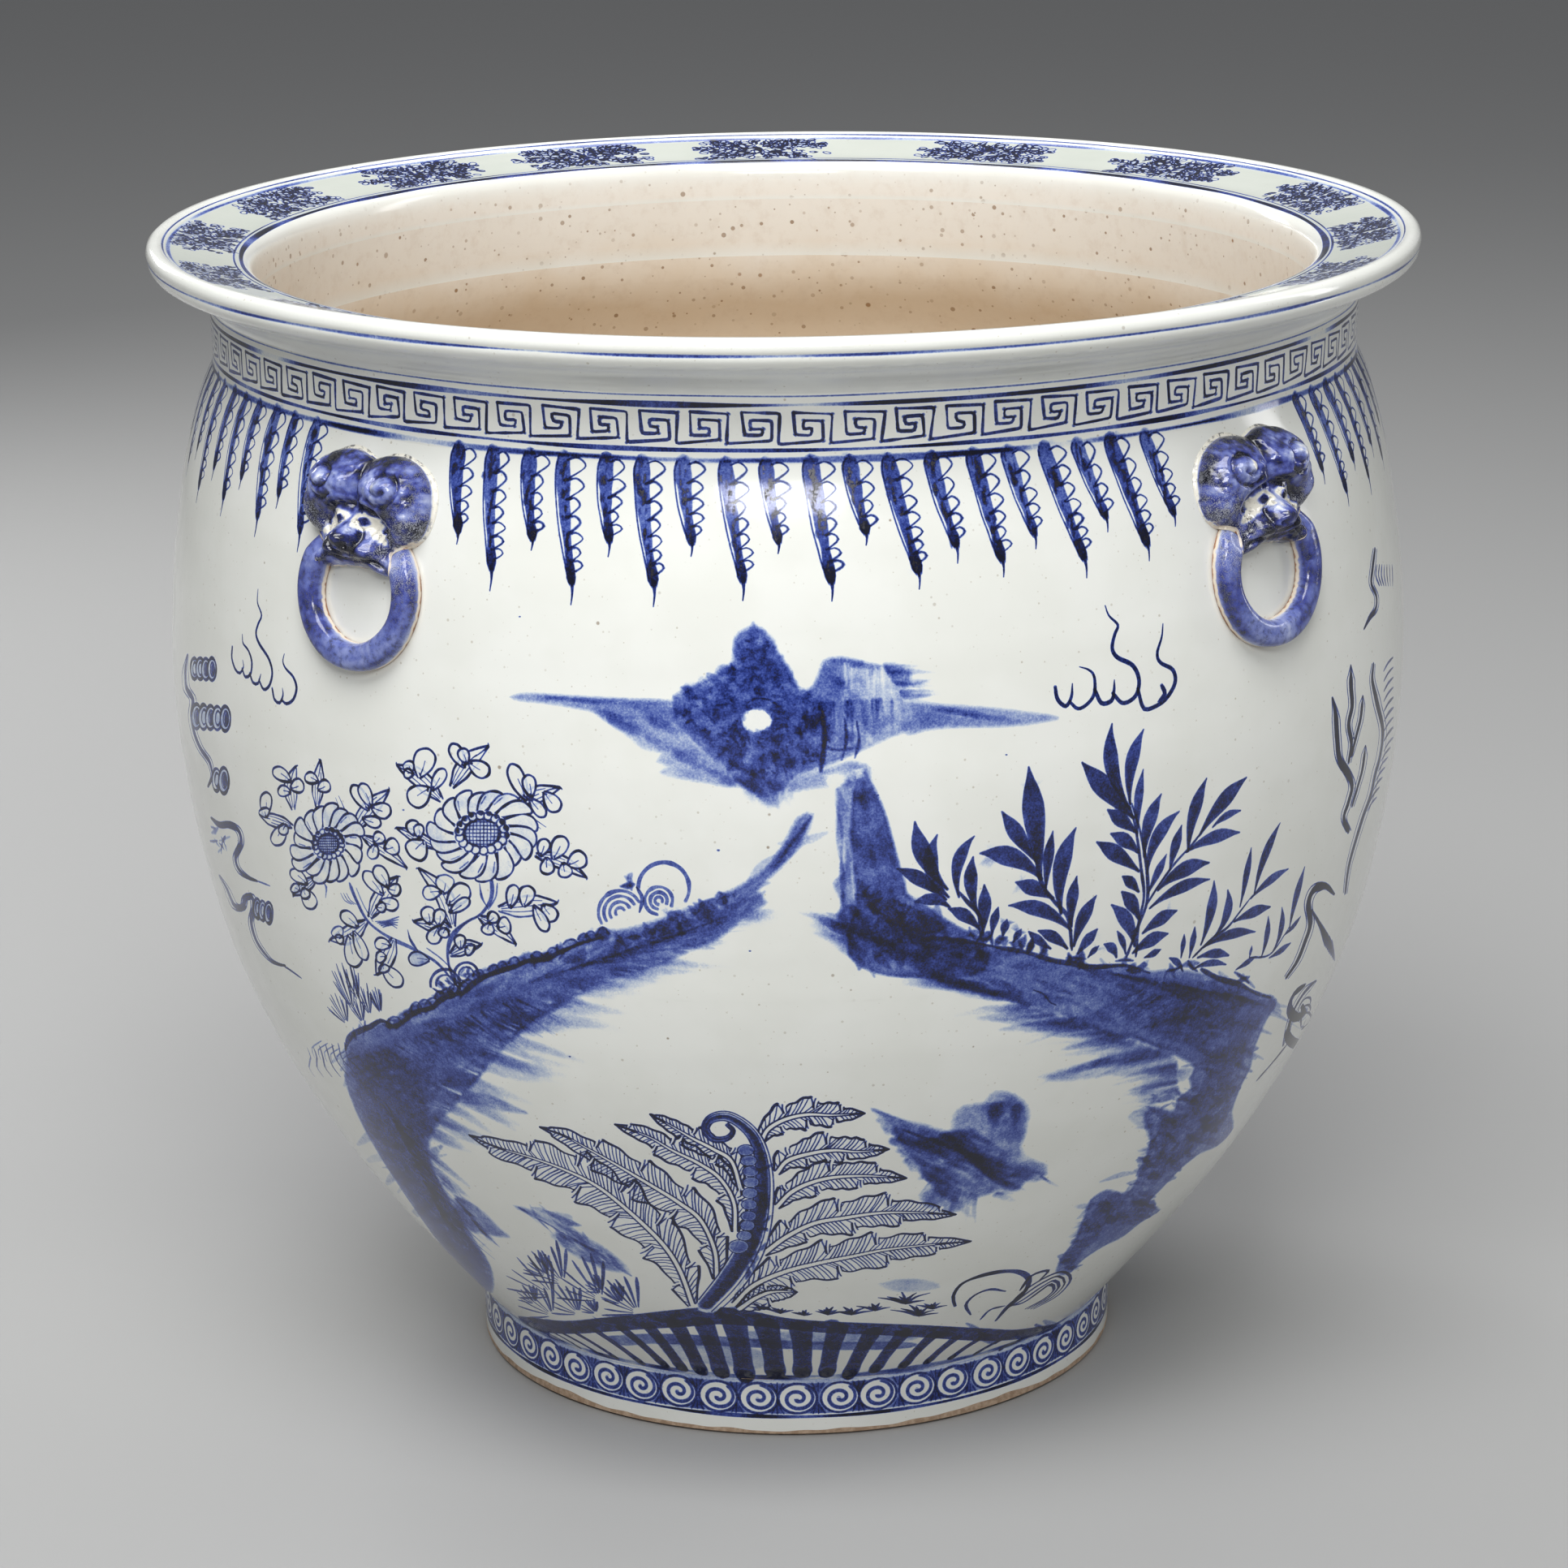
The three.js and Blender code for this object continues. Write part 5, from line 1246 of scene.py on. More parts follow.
def curl(C, base, loops, tip, w=42, to=px, lw=6.2, d=0.84, veins=5, seed=0):
    """Scrolling leaf: teardrop lobes off a midrib that ends in a thick hook, veins from the foot."""
    g = np.random.default_rng(seed)
    base, tip = np.asarray(base, float), np.asarray(tip, float)
    ctr = np.mean(np.array([l[:2] for l in loops]), axis=0)
    mid = 0.45 * ctr + 0.275 * base + 0.275 * tip
    ax = smooth(np.array([base, mid, tip]), n=12)
    K_ = len(ax)
    T = np.gradient(ax, axis=0)
    T /= np.hypot(T[:, 0], T[:, 1])[:, None] + 1e-9
    N = np.stack([-T[:, 1], T[:, 0]], 1)
    # blade behind the lobes
    W = np.interp(np.linspace(0, 1, K_), [0, 0.28, 0.6, 0.85, 1], [0.14, 0.58, 0.56, 0.26, 0.03]) * w
    blade = np.vstack([ax + N * W[:, None], (ax - N * W[:, None])[::-1]])
    cover(C, blade[::3], to, 0.9, 0.03)
    outline(C, (ax + N * W[:, None])[::3], lw, d, to)
    outline(C, (ax - N * W[:, None])[::3], lw, d, to)
    veins = min(veins, 3)
    for i in range(veins):
        f = (i + 0.5) / veins * 2 - 1
        q = ax + N * (W * f * 0.75)[:, None]
        outline(C, q[1: int(K_ * (0.55 + 0.3 * g.random())): 4], lw * 0.42, d * 0.85, to)
    for l in loops:
        p = np.asarray(l[:2], float)
        j = int(np.argmin(np.hypot(*(ax - p).T)))
        j = max(1, int(j * 0.80))
        r = l[2] if len(l) > 2 else w
        lobe(C, ax[j], p + (p - ax[j]) * 0.10, r * 0.92, to, lw, d)
    # the hooked point: a line out of the last lobe that swells and turns up
    j = int(K_ * 0.62)
    e = tip - ax[j]
    e /= np.hypot(*e) + 1e-9
    o = np.array([-e[1], e[0]]) * (1 if seed % 2 else -1)
    q = np.array([ax[j], ax[j] * 0.5 + tip * 0.5 - o * w * 0.06, tip, tip + (e * 0.6 + o * 0.7) * w * 0.20])
    U = lw / C.s * MPX / 2 if to is px else lw / 2
    P = smooth(q, step=4 * C.s / 2.4 if to is px else 1.4)
    add(to(C(P)), U * np.interp(np.linspace(0, 1, len(P)), [0, 0.5, 0.85, 1], [0.8, 1.1, 1.6, 1.0]), d + 0.02, 0.3, 0.3)


def flower(C, c, ro, rb, rd, n, seed=0, to=px, lw=6.2, twist=0.22, squash=0.0):
    g = np.random.default_rng(seed)
    c = np.asarray(c, float)
    order = list(range(n))
    for k in order:
        a0 = TAU * k / n + g.normal(0, 0.02) + 0.5
        wd = TAU / n * 0.58
        R = 1 + 0.05 * g.normal()
        pts = []
        for f, sd in ((0.0, -0.75), (0.35, -0.95), (0.72, -1.05), (0.93, -0.72), (1.0, 0.0), (0.94, 0.72), (0.72, 1.0), (0.35, 0.95), (0.0, 0.75)):
            a = a0 + twist * f + sd * wd
            rx = rb[0] + (ro[0] * R - rb[0]) * f
            ry = rb[1] + (ro[1] * R - rb[1]) * f
            pts.append((c[0] + rx * math.cos(a), c[1] + ry * math.sin(a)))
        pts = np.array(pts)
        cover(C, pts, to, 0.97, 0.05)
        outline(C, pts, lw, 0.84, to)
        if g.random() < 0.35:
            q = pts[[1, 2]] * 0.8 + pts[[7, 6]] * 0.2
            outline(C, [q[0], q[1]], lw * 0.55, 0.5, to)
    inner = ell(c, rb[0] * 1.02, rb[1] * 1.02)
    cover(C, inner, to, 0.97)
    m = 18
    for k in range(m):
        a = TAU * k / m + 0.1
        rr = (rb[0] + rd[0]) / 2, (rb[1] + rd[1]) / 2
        p = np.array([c[0] + rr[0] * math.cos(a), c[1] + rr[1] * math.sin(a)])
        s = (rb[0] - rd[0]) * 0.42
        b = ell(p, s, s, 9)
        cover(C, b, to, 0.97, 0.05)
        outline(C, b, lw * 0.85, 0.78, to, closed=True)
        if math.sin(a) < 0.35 and g.random() < 0.9:
            o = p + np.array([math.cos(a), math.sin(a)]) * s * 0.55
            outline(C, [o - (3, 0), o + (3, 0)], lw * 1.9, 0.85, to, pool=0.6)
    disc = ell(c, rd[0], rd[1])
    STROKES.append(dict(p=to(C(disc)), w=None, d=0.10, s=0.5, pool=0.0, k="ink", noise=0.4, scale=6.0, area=True, grain=1.3, edge=0.1, grad=None, thin=None))
    outline(C, disc, lw * 0.8, 0.78, to, closed=True)
    for f in np.linspace(-0.86, 0.86, 10):
        h = math.sqrt(max(0.0, 1 - f * f)) * 0.95
        outline(C, [(c[0] + rd[0] * f, c[1] - rd[1] * h), (c[0] + rd[0] * f * 1.06, c[1]), (c[0] + rd[0] * f, c[1] + rd[1] * h)], lw * 0.5, 0.78, to)
    for f in np.linspace(-0.80, 0.80, 7):
        h = math.sqrt(max(0.0, 1 - f * f)) * 0.95
        outline(C, [(c[0] - rd[0] * h, c[1] + rd[1] * f), (c[0], c[1] + rd[1] * f * 1.05), (c[0] + rd[0] * h, c[1] + rd[1] * f)], lw * 0.5, 0.78, to)


def flowers():
    C = Z4
    # stems
    sheetline(C, [(1002, 615), (1008, 660), (1000, 715), (960, 770), (905, 800), (862, 835), (832, 880), (822, 940), (835, 1010), (866, 1080)], 5.5, 0.66, soft=0.5, pool=0.3, a=0.02, b=0.4, wv=0.25)
    sheetline(C, [(955, 640), (965, 700), (990, 745)], 4.2, 0.62, a=0.5, b=0.5, lo=0.1)
    sheetline(C, [(1030, 640), (1022, 700), (992, 750)], 2.3, 0.62)
    sheetline(C, [(412, 640), (440, 710), (490, 800), (575, 865), (680, 915), (780, 975), (860, 1070)], 4.8, 0.60, soft=0.5, pool=0.2, a=0.02, b=0.2, wv=0.2)
    sheetline(C, [(440, 660), (470, 730), (510, 800)], 2.3, 0.55)
    sheetline(C, [(735, 912), (800, 960), (856, 1022), (872, 1075)], 2.6, 0.62)
    sheetline(C, [(655, 835), (668, 880), (700, 925)], 4.5, 0.66, a=0.6, b=0.3, lo=0.1)
    lobe(C, (745, 962), (660, 952), 46, tint=0.3, bead=False)
    # flower A and its leaves
    curl(C, (175, 330), [(98, 165, 44), (212, 225, 52), (116, 250, 40)], (185, 150), w=44, seed=1)
    curl(C, (275, 318), [(230, 190, 40), (322, 225, 46)], (286, 126), w=40, seed=2)
    curl(C, (172, 402), [(62, 268, 42), (48, 330, 40), (100, 472, 52), (128, 432, 36)], (34, 352), w=44, seed=3)
    curl(C, (430, 420), [(428, 240, 44), (462, 232, 44), (575, 345, 56), (535, 392, 40)], (575, 250), w=58, seed=4)
    curl(C, (470, 445), [(505, 532, 40), (548, 438, 46), (612, 480, 62)], (650, 575), w=46, seed=5)
    curl(C, (275, 612), [(172, 590, 40), (172, 655, 36), (258, 738, 50), (232, 700, 34)], (176, 690), w=40, seed=6)
    sheetline(C, [(365, 275), (400, 350), (432, 408)], 2.9, 0.66, a=0.5, b=0.3, lo=0.15)
    sheetline(C, [(352, 282), (378, 348), (424, 408)], 1.6, 0.6, a=0.5, b=0.3, lo=0.15)
    sheetline(C, [(296, 630), (314, 655), (312, 700)], 3.9, 0.5, a=0.4, b=0.6, lo=0.1)
    flower(C, (322, 475), (152, 168), (72, 70), (43, 40), 17, seed=21, twist=0.26)
    # flower B and its leaves
    curl(C, (795, 292), [(735, 88, 78), (802, 170, 44), (650, 135, 40), (668, 296, 80), (640, 180, 36)], (608, 146), w=60, seed=7)
    curl(C, (838, 236), [(842, 66, 46), (985, 180, 58), (880, 82, 40)], (990, 66), w=60, seed=8)
    curl(C, (1108, 318), [(1092, 155, 56), (1158, 195, 48), (1280, 330, 56), (1222, 354, 42)], (1290, 240), w=60, seed=9)
    curl(C, (782, 496), [(672, 382, 46), (700, 398, 36), (672, 520, 86)], (608, 408), w=40, seed=10)
    curl(C, (1192, 522), [(1230, 462, 44), (1305, 455, 60), (1392, 530, 64), (1240, 596, 50), (1318, 610, 50)], (1402, 616), w=48, seed=11)
    for q in ([(1150, 342), (1190, 375), (1232, 405)], [(1148, 352), (1180, 388), (1210, 412)], [(1146, 360), (1165, 385), (1180, 405)]):
        sheetline(C, q, 1.5, 0.6, a=0.1, b=0.6, lo=0.2)
    flower(C, (965, 430), (224, 192), (116, 92), (74, 56), 18, seed=22, twist=0.34)
    # leaves along the stems
    curl(C, (845, 822), [(815, 612, 66), (900, 660, 70), (725, 682, 52), (905, 712, 40)], (702, 578), w=60, seed=12)
    curl(C, (832, 832), [(735, 745, 50), (790, 755, 44), (755, 885, 52), (800, 862, 40)], (680, 800), w=50, seed=13)
    curl(C, (1036, 748), [(1100, 656, 46), (1160, 660, 56), (1266, 790, 54), (1232, 832, 44)], (1278, 722), w=74, veins=8, seed=14)
    curl(C, (955, 782), [(985, 850, 46), (1025, 772, 44), (1078, 812, 62)], (1105, 895), w=48, seed=15)
    curl(C, (832, 940), [(872, 862, 40), (925, 925, 46)], (962, 897), w=48, seed=16)
    curl(C, (498, 782), [(480, 600, 46), (525, 576, 48), (620, 670, 44), (608, 735, 46), (560, 742, 36)], (612, 612), w=62, seed=17)
    for i in range(5):
        sheetline(C, [(520 + 8 * i, 800 + 6 * i), (565 + 6 * i, 798 + 4 * i), (618 - 2 * i, 780 + 12 * i)], 2.2, 0.66)
    curl(C, (482, 800), [(385, 766, 44), (352, 830, 44), (438, 978, 62), (478, 950, 40), (362, 880, 38)], (332, 876), w=62, veins=6, seed=18)
    curl(C, (598, 872), [(525, 888, 44), (528, 950, 42), (622, 1062, 54), (560, 1010, 40)], (526, 1022), w=62, veins=6, seed=19)
    for i in range(3):
        sheetline(C, [(375 + 12 * i, 682), (392 + 12 * i, 712), (420 + 10 * i, 728)], 1.6, 0.6)
    # curled foot of the plant
    for c, r, s in (((812, 1062), 62, -1), ((900, 1022), 50, 1)):
        for f in (1.0, 0.62):
            a = np.linspace(-0.2, 4.4, 12)
            outline(C, np.stack([c[0] + s * r * f * np.cos(a), c[1] - r * f * np.sin(a)], 1), 7.5 if f == 1 else 6.0, 0.74)
        blotches(C, ell(c, r * 0.42, r * 0.42), 9, 15, 0.6, 700 + int(r), 0.8)
    sheetline(C, [(760, 1080), (800, 1100), (880, 1105), (905, 1080)], 4.5, 0.72, pool=0.9)


def snail():
    C = Z5
    a = np.linspace(math.pi, TAU + 0.55, 14)
    outline(C, np.stack([415 + 66 * np.cos(a), 702 + 66 * np.sin(a)], 1), 6.5, 0.54)
    for r in (36, 22, 10):
        a = np.linspace(-0.4, 4.6, 10)
        outline(C, np.stack([402 + r * np.cos(a), 735 - r * np.sin(a)], 1), 5.4, 0.50)
    for r in (56, 42, 27, 12):
        a = np.linspace(0.5, 3.7, 10)
        outline(C, np.stack([302 + r * np.cos(a), 765 - r * np.sin(a)], 1), 5.4, 0.48)
    blotches(C, [(318, 668), (352, 676), (348, 704), (318, 698)], 7, 13, 0.6, 710, 0.8)
    sheetline(C, [(345, 700), (360, 730), (352, 765)], 4.5, 0.66)


def wisps():
    E = at(196, 640, 2.884)
    F = at(1280, 700, 2.6)
    for C, q, w in (
        (E, [(262, 452), (260, 492), (272, 532), (288, 546), (301, 524), (298, 500)], 9),
        (E, [(296, 530), (308, 560), (326, 548), (330, 505), (318, 465), (300, 440), (297, 408)], 9),
        (E, [(322, 545), (335, 580), (352, 582), (362, 550)], 9),
        (E, [(355, 570), (372, 604), (392, 590), (402, 545), (390, 495), (356, 440), (345, 405), (352, 372), (364, 340), (350, 295), (352, 248)], 9.5),
        (E, [(402, 600), (410, 640), (428, 652), (440, 625), (438, 600)], 9),
        (E, [(434, 640), (452, 655), (476, 640), (488, 600), (476, 560), (450, 530), (440, 505), (445, 478)], 9.5),
        (F, [(52, 380), (60, 420), (86, 442), (104, 412), (107, 370)], 10),
        (F, [(96, 425), (125, 450), (158, 432), (178, 398), (176, 345), (158, 325), (130, 316)], 9),
        (F, [(178, 388), (200, 432), (232, 424), (240, 392), (241, 358)], 11),
        (F, [(236, 400), (268, 432), (308, 410), (320, 360), (300, 312), (250, 285), (234, 255), (242, 212), (252, 182), (224, 152), (212, 120)], 11),
        (F, [(316, 385), (330, 440), (348, 452), (400, 424), (434, 370), (428, 326), (388, 302), (378, 272), (392, 220), (396, 178)], 11),
        (F, [(392, 375), (402, 402), (380, 428)], 12),
    ):
        U = w / C.s * MPX / 2
        P = smooth(np.array(q, float), step=9)
        n = len(P)
        add(px(C(P)), U * 1.25 * np.interp(np.linspace(0, 1, n), [0, 0.12, 0.5, 0.8, 1], [0.85, 1.0, 1.1, 0.75, 0.25]), 0.84, 0.32, 0.2)


def ribbon(C, pts, w, d=0.62, to=px, pool=0.4, lines=2, ends=(0.15, 0.1)):
    """Broad shaded ribbon with edge lines."""
    U = w / C.s * MPX / 2 if to is px else w / 2
    P = smooth(np.asarray(pts, float), step=9 if to is px else 2.0)
    n = len(P)
    tu = to(C(P))
    W = U * np.interp(np.linspace(0, 1, n), [0, 0.15, 0.8, 1], [ends[0], 1, 0.8, ends[1]])
    add(tu, np.maximum(W * 1.2, 0.40), min(1.0, d * 1.22), 0.6, 0.2)
    T = np.gradient(P, axis=0)
    T /= np.hypot(T[:, 0], T[:, 1])[:, None] + 1e-9
    N = np.stack([-T[:, 1], T[:, 0]], 1)
    S = (w / 2 if to is px else w / 2)
    prof = np.interp(np.linspace(0, 1, n), [0, 0.15, 0.8, 1], [ends[0], 1, 0.8, ends[1]])[:, None]
    for sd in (1, -1):
        add(to(C(P + sd * N * S * 0.95 * prof)), 0.40, 0.88, 0.3, 0.3, thin=True)
    for k in range(lines):
        f = (k + 0.5) / lines * 1.4 - 0.7
        add(to(C(P + f * N * S * prof)), max(0.28, U * 0.22), 0.5, 0.5, pool)


def scrolls(C, items, to=px, lw=5.5):
    """Rows of rolled cloud curls: (x, y, rx, ry, filled)."""
    for x, y, rx, ry, full in items:
        b = ell((x, y), rx, ry, 12)
        cover(C, b, to, 0.95, 0.12)
        outline(C, b, lw * 1.5, 0.86, to, closed=True, pool=0.3)
        outline(C, ell((x + rx * 0.12, y), rx * 0.5, ry * 0.62, 10), lw * 1.0, 0.78, to, closed=True)
        if full:
            b2 = ell((x + rx * 0.2, y + ry * 0.05), rx * 0.42, ry * 0.55, 10)
            area(C(b2), 0.7, 0.5, noise=0.2, grain=0) if to is px else area(b2, 0.7, 0.5, to=to, noise=0.2, grain=0)


def left_chain():
    E = at(196, 640, 2.884)
    ribbon(E, [(104, 480), (96, 540), (100, 600), (122, 640), (118, 700), (128, 760), (150, 815), (180, 860), (190, 910), (175, 950)], 26)
    scrolls(E, [(128, 530, 14, 38, 0), (148, 530, 15, 38, 0), (168, 532, 15, 38, 1), (190, 532, 15, 40, 1)])
    scrolls(E, [(135, 700, 17, 44, 1), (160, 702, 17, 44, 0), (184, 704, 17, 42, 1), (208, 706, 17, 42, 0), (236, 708, 18, 44, 1)])
    scrolls(E, [(205, 925, 15, 40, 0), (231, 928, 18, 46, 1)])
    ribbon(E, [(185, 1060), (215, 1085), (250, 1085), (282, 1105), (292, 1150), (272, 1200), (285, 1245), (318, 1272), (350, 1285)], 22)
    sheetline(E, [(345, 1283), (370, 1292), (395, 1302)], 3.0, 0.7)
    blotches(E, [(190, 1090), (232, 1100), (236, 1160), (205, 1200), (185, 1150)], 14, 16, 0.7, 720, 0.8)
    ribbon(E, [(215, 1265), (240, 1310), (268, 1372), (298, 1378), (308, 1345), (332, 1342), (338, 1380), (328, 1430), (348, 1500), (392, 1560), (425, 1580), (450, 1585)], 24)
    scrolls(E, [(350, 1382, 13, 36, 0), (369, 1390, 13, 36, 0), (391, 1398, 15, 38, 1)])
    sheetline(E, [(440, 1583), (472, 1604), (508, 1630)], 3.2, 0.7)
    A = loc((math.radians(-91.0), 0.0))
    S = lambda p: A(p)
    one = lambda p: np.atleast_2d(np.asarray(p, float))
    one.s = 1.0
    # the same chain carried on round the side, drawn in mm
    ribbon(one, [(-4, 392), (2, 372), (-3, 350), (3, 330), (-2, 306), (4, 284)], 8.5, to=S)
    scrolls(one, [(-16, 362, 6, 13, 1), (-27, 360, 6, 13, 0), (-38, 362, 6.5, 13, 1), (12, 318, 6, 13, 1)], to=S, lw=1.5)
    ribbon(one, [(4, 284), (-8, 262), (-2, 238), (-16, 214), (-10, 190)], 8.0, to=S)
    scrolls(one, [(-22, 262, 6, 13, 1), (-34, 260, 6, 13, 0), (-46, 262, 6.5, 13, 1), (-26, 196, 6, 12, 0), (-37, 196, 6, 12, 1)], to=S, lw=1.5)
    ribbon(one, [(-10, 190), (-2, 168), (-14, 150), (-4, 128), (10, 112), (26, 104)], 7.5, to=S)
    mm((math.radians(-91.0), 0.0), [(26, 104), (34, 98), (44, 92)], 0.5, 0.7, smoothed=True)


def right_figures():
    F = at(1280, 700, 2.6)
    # flame licks
    ribbon(F, [(940, 415), (950, 470), (955, 545), (962, 610), (990, 660), (1002, 700), (990, 750), (975, 800), (990, 842)], 27, 0.82, pool=0.3, lines=1, ends=(0.1, 0.6))
    ribbon(F, [(1000, 312), (1000, 380), (1003, 440), (992, 500), (1000, 560), (992, 620)], 26, 0.82, pool=0.3, lines=1, ends=(0.05, 0.6))
    ribbon(F, [(1037, 410), (1030, 480), (1015, 540), (1000, 600)], 20, 0.82, pool=0.3, lines=1, ends=(0.08, 0.6))
    ribbon(F, [(1045, 570), (1036, 640), (1020, 700), (1002, 760)], 20, 0.82, pool=0.3, lines=1, ends=(0.1, 0.6))
    # scrolling tail above
    ribbon(F, [(1078, -60), (1070, 0), (1066, 50), (1082, 90), (1080, 130), (1060, 160), (1042, 195)], 17, 0.80, pool=0.4, lines=1, ends=(0.7, 0.05))
    for i in range(7):
        sheetline(F, [(1084 + 8 * i, -10), (1080 + 9 * i, 24), (1092 + 7 * i, 56)], 4.2, 0.72)
    # hatched limb
    ribbon(F, [(1072, 308), (1068, 360), (1082, 430), (1100, 520), (1092, 600), (1076, 660), (1060, 730), (1035, 800), (1010, 880), (990, 960), (980, 1040)], 26, 0.80, pool=0.4, lines=2, ends=(0.4, 0.5))
    for i in range(15):
        y = 330 + 32 * i
        x = 1104 - max(0, (i - 8)) * 9
        sheetline(F, [(x, y), (x + 14, y - 26), (x + 30, y - 44)], 4.0, 0.74)
    ribbon(F, [(945, 1045), (915, 1018), (880, 1030), (862, 1075), (868, 1140), (850, 1200), (825, 1260), (792, 1310)], 28, 0.80, pool=0.4, lines=2, ends=(0.1, 0.5))
    for i in range(9):
        sheetline(F, [(872 + 8 * i, 1095 + 12 * i), (900 + 5 * i, 1150 + 8 * i), (915 + 4 * i, 1210 + 6 * i)], 4.4, 0.72)
    ribbon(F, [(888, 1322), (850, 1360), (815, 1420), (795, 1490), (782, 1530)], 20, 0.7, pool=0.5, lines=1)
    for k in range(3):
        lobe(F, (830 + 6 * k, 1430 + 22 * k), (868 - 2 * k, 1376 + 24 * k), 20, lw=5)
    sheetline(F, [(852, 1336), (816, 1366), (802, 1412), (824, 1440), (850, 1428), (842, 1402)], 13.0, 0.92)
    sheetline(F, [(806, 1452), (796, 1498), (824, 1524), (858, 1496), (882, 1440), (906, 1380)], 13.0, 0.92)
    sheetline(F, [(700, 1640), (752, 1580), (800, 1520)], 9.0, 0.86)
    # flames and scrolls carried round the side, in mm
    A = loc((math.radians(90.0), 0.0))
    one = lambda p: np.atleast_2d(np.asarray(p, float))
    one.s = 1.0
    ribbon(one, [(-30, 372), (-18, 352), (-26, 328), (-12, 306), (-20, 280), (-6, 256), (-14, 230)], 9.0, 0.6, to=A)
    scrolls(one, [(-2, 348, 6, 13, 1), (9, 346, 6, 13, 0), (20, 348, 6.5, 13, 1), (4, 268, 6, 12, 0), (15, 267, 6, 12, 1)], to=A, lw=1.5)
    for dx, L in ((-6, 34), (2, 46), (11, 38), (19, 26)):
        ribbon(one, [(dx + 6, 196), (dx + 1, 196 + L * 0.4), (dx + 6, 196 + L * 0.7), (dx, 196 + L)], 5.0, 0.6, to=A, lines=1, ends=(0.6, 0.05))
    ribbon(one, [(-14, 230), (-2, 208), (14, 196), (26, 178), (16, 156), (24, 136)], 8.0, 0.6, to=A)
    ribbon(one, [(24, 136), (10, 122), (-8, 118), (-24, 106)], 6.5, 0.6, to=A)
    scrolls(one, [(-16, 168, 6, 12, 1), (-27, 167, 6, 12, 0), (-38, 168, 6.5, 12, 1)], to=A, lw=1.5)


def chips():
    for x, y, s in ((885, 1048, 1.4), (885, 1137, 1.0), (924, 1172, 0.8), (497, 998, 1.0), (702, 1302, 0.8), (1082, 980, 0.8), (640, 760, 0.7), (1240, 930, 0.7)):
        tu = px([(x - 0.6, y), (x + 0.6, y)])
        add(tu, 0.34 * s, 0.8, 0.35, 1.0)


def front():
    cliffs()
    sky_rock()
    grasses()
    right_sprays()
    snail()
    flowers()
    mound()
    plantain()
    wisps()
    chips()
    left_chain()
    right_figures()


def back():
    """The far side carries the same kind of scene, turned half round the axis; the figures right at the sides stay single."""
    for st in list(STROKES):
        c = dict(st)
        q = st["p"].copy()
        m = (q[:, 0].min() + q[:, 0].max()) / 2
        if abs(abs(m) - math.pi / 2) < 0.21:
            continue
        q[:, 0] = q[:, 0] + math.pi + 0.05
        m = (q[:, 0].min() + q[:, 0].max()) / 2
        q[:, 0] -= TAU * round(m / TAU)
        q[:, 1] = q[:, 1] + 1.5 * np.sin(q[:, 0] * 3) * sstep((q[:, 1] - U_FOOT - 10) / 40)
        c["p"] = q
        if st["w"] is not None:
            c["w"] = st["w"].copy()
            c["d"] = st["d"].copy()
        c["far"] = True
        STROKES.append(c)


front()
back()
neck_band()
drips()
foot_band()
rim_band()


# ------------------------------------------------------------------ ink at a set of points
def vnoise(x, y, seed=0):
    """Smooth value noise in -1..1 on a unit lattice."""
    g = np.random.default_rng(1000 + seed)
    T = g.uniform(-1, 1, (64, 64))
    xi = np.floor(x).astype(int)
    yi = np.floor(y).astype(int)
    fx, fy = x - xi, y - yi
    fx = fx * fx * (3 - 2 * fx)
    fy = fy * fy * (3 - 2 * fy)
    a, b = T[xi % 64, yi % 64], T[(xi + 1) % 64, yi % 64]
    c, d = T[xi % 64, (yi + 1) % 64], T[(xi + 1) % 64, (yi + 1) % 64]
    return (a * (1 - fx) + b * fx) * (1 - fy) + (c * (1 - fx) + d * fx) * fy


class Bins:
    def __init__(self, th, u, cell=5.0):
        self.cell = cell
        self.nc = int(TAU * 250 / cell) + 4
        self.col = np.clip(((th + math.pi) * 250 / cell).astype(int), 0, self.nc - 1)
        self.row = np.maximum((u / cell).astype(int) + 2, 0)
        key = self.row * self.nc + self.col
        self.order = np.argsort(key, kind="stable")
        self.key = key[self.order]

    def near(self, th0, th1, u0, u1):
        c0 = max(0, int((th0 + math.pi) * 250 / self.cell))
        c1 = min(self.nc - 1, int((th1 + math.pi) * 250 / self.cell))
        r0 = max(0, int(u0 / self.cell) + 1)
        r1 = int(u1 / self.cell) + 3
        if c1 < c0:
            return np.empty(0, int)
        rows = np.arange(r0, r1 + 1) * self.nc
        a = np.searchsorted(self.key, rows + c0, "left")
        b = np.searchsorted(self.key, rows + c1, "right")
        got = [self.order[i:j] for i, j in zip(a, b) if j > i]
        return np.concatenate(got) if got else np.empty(0, int)


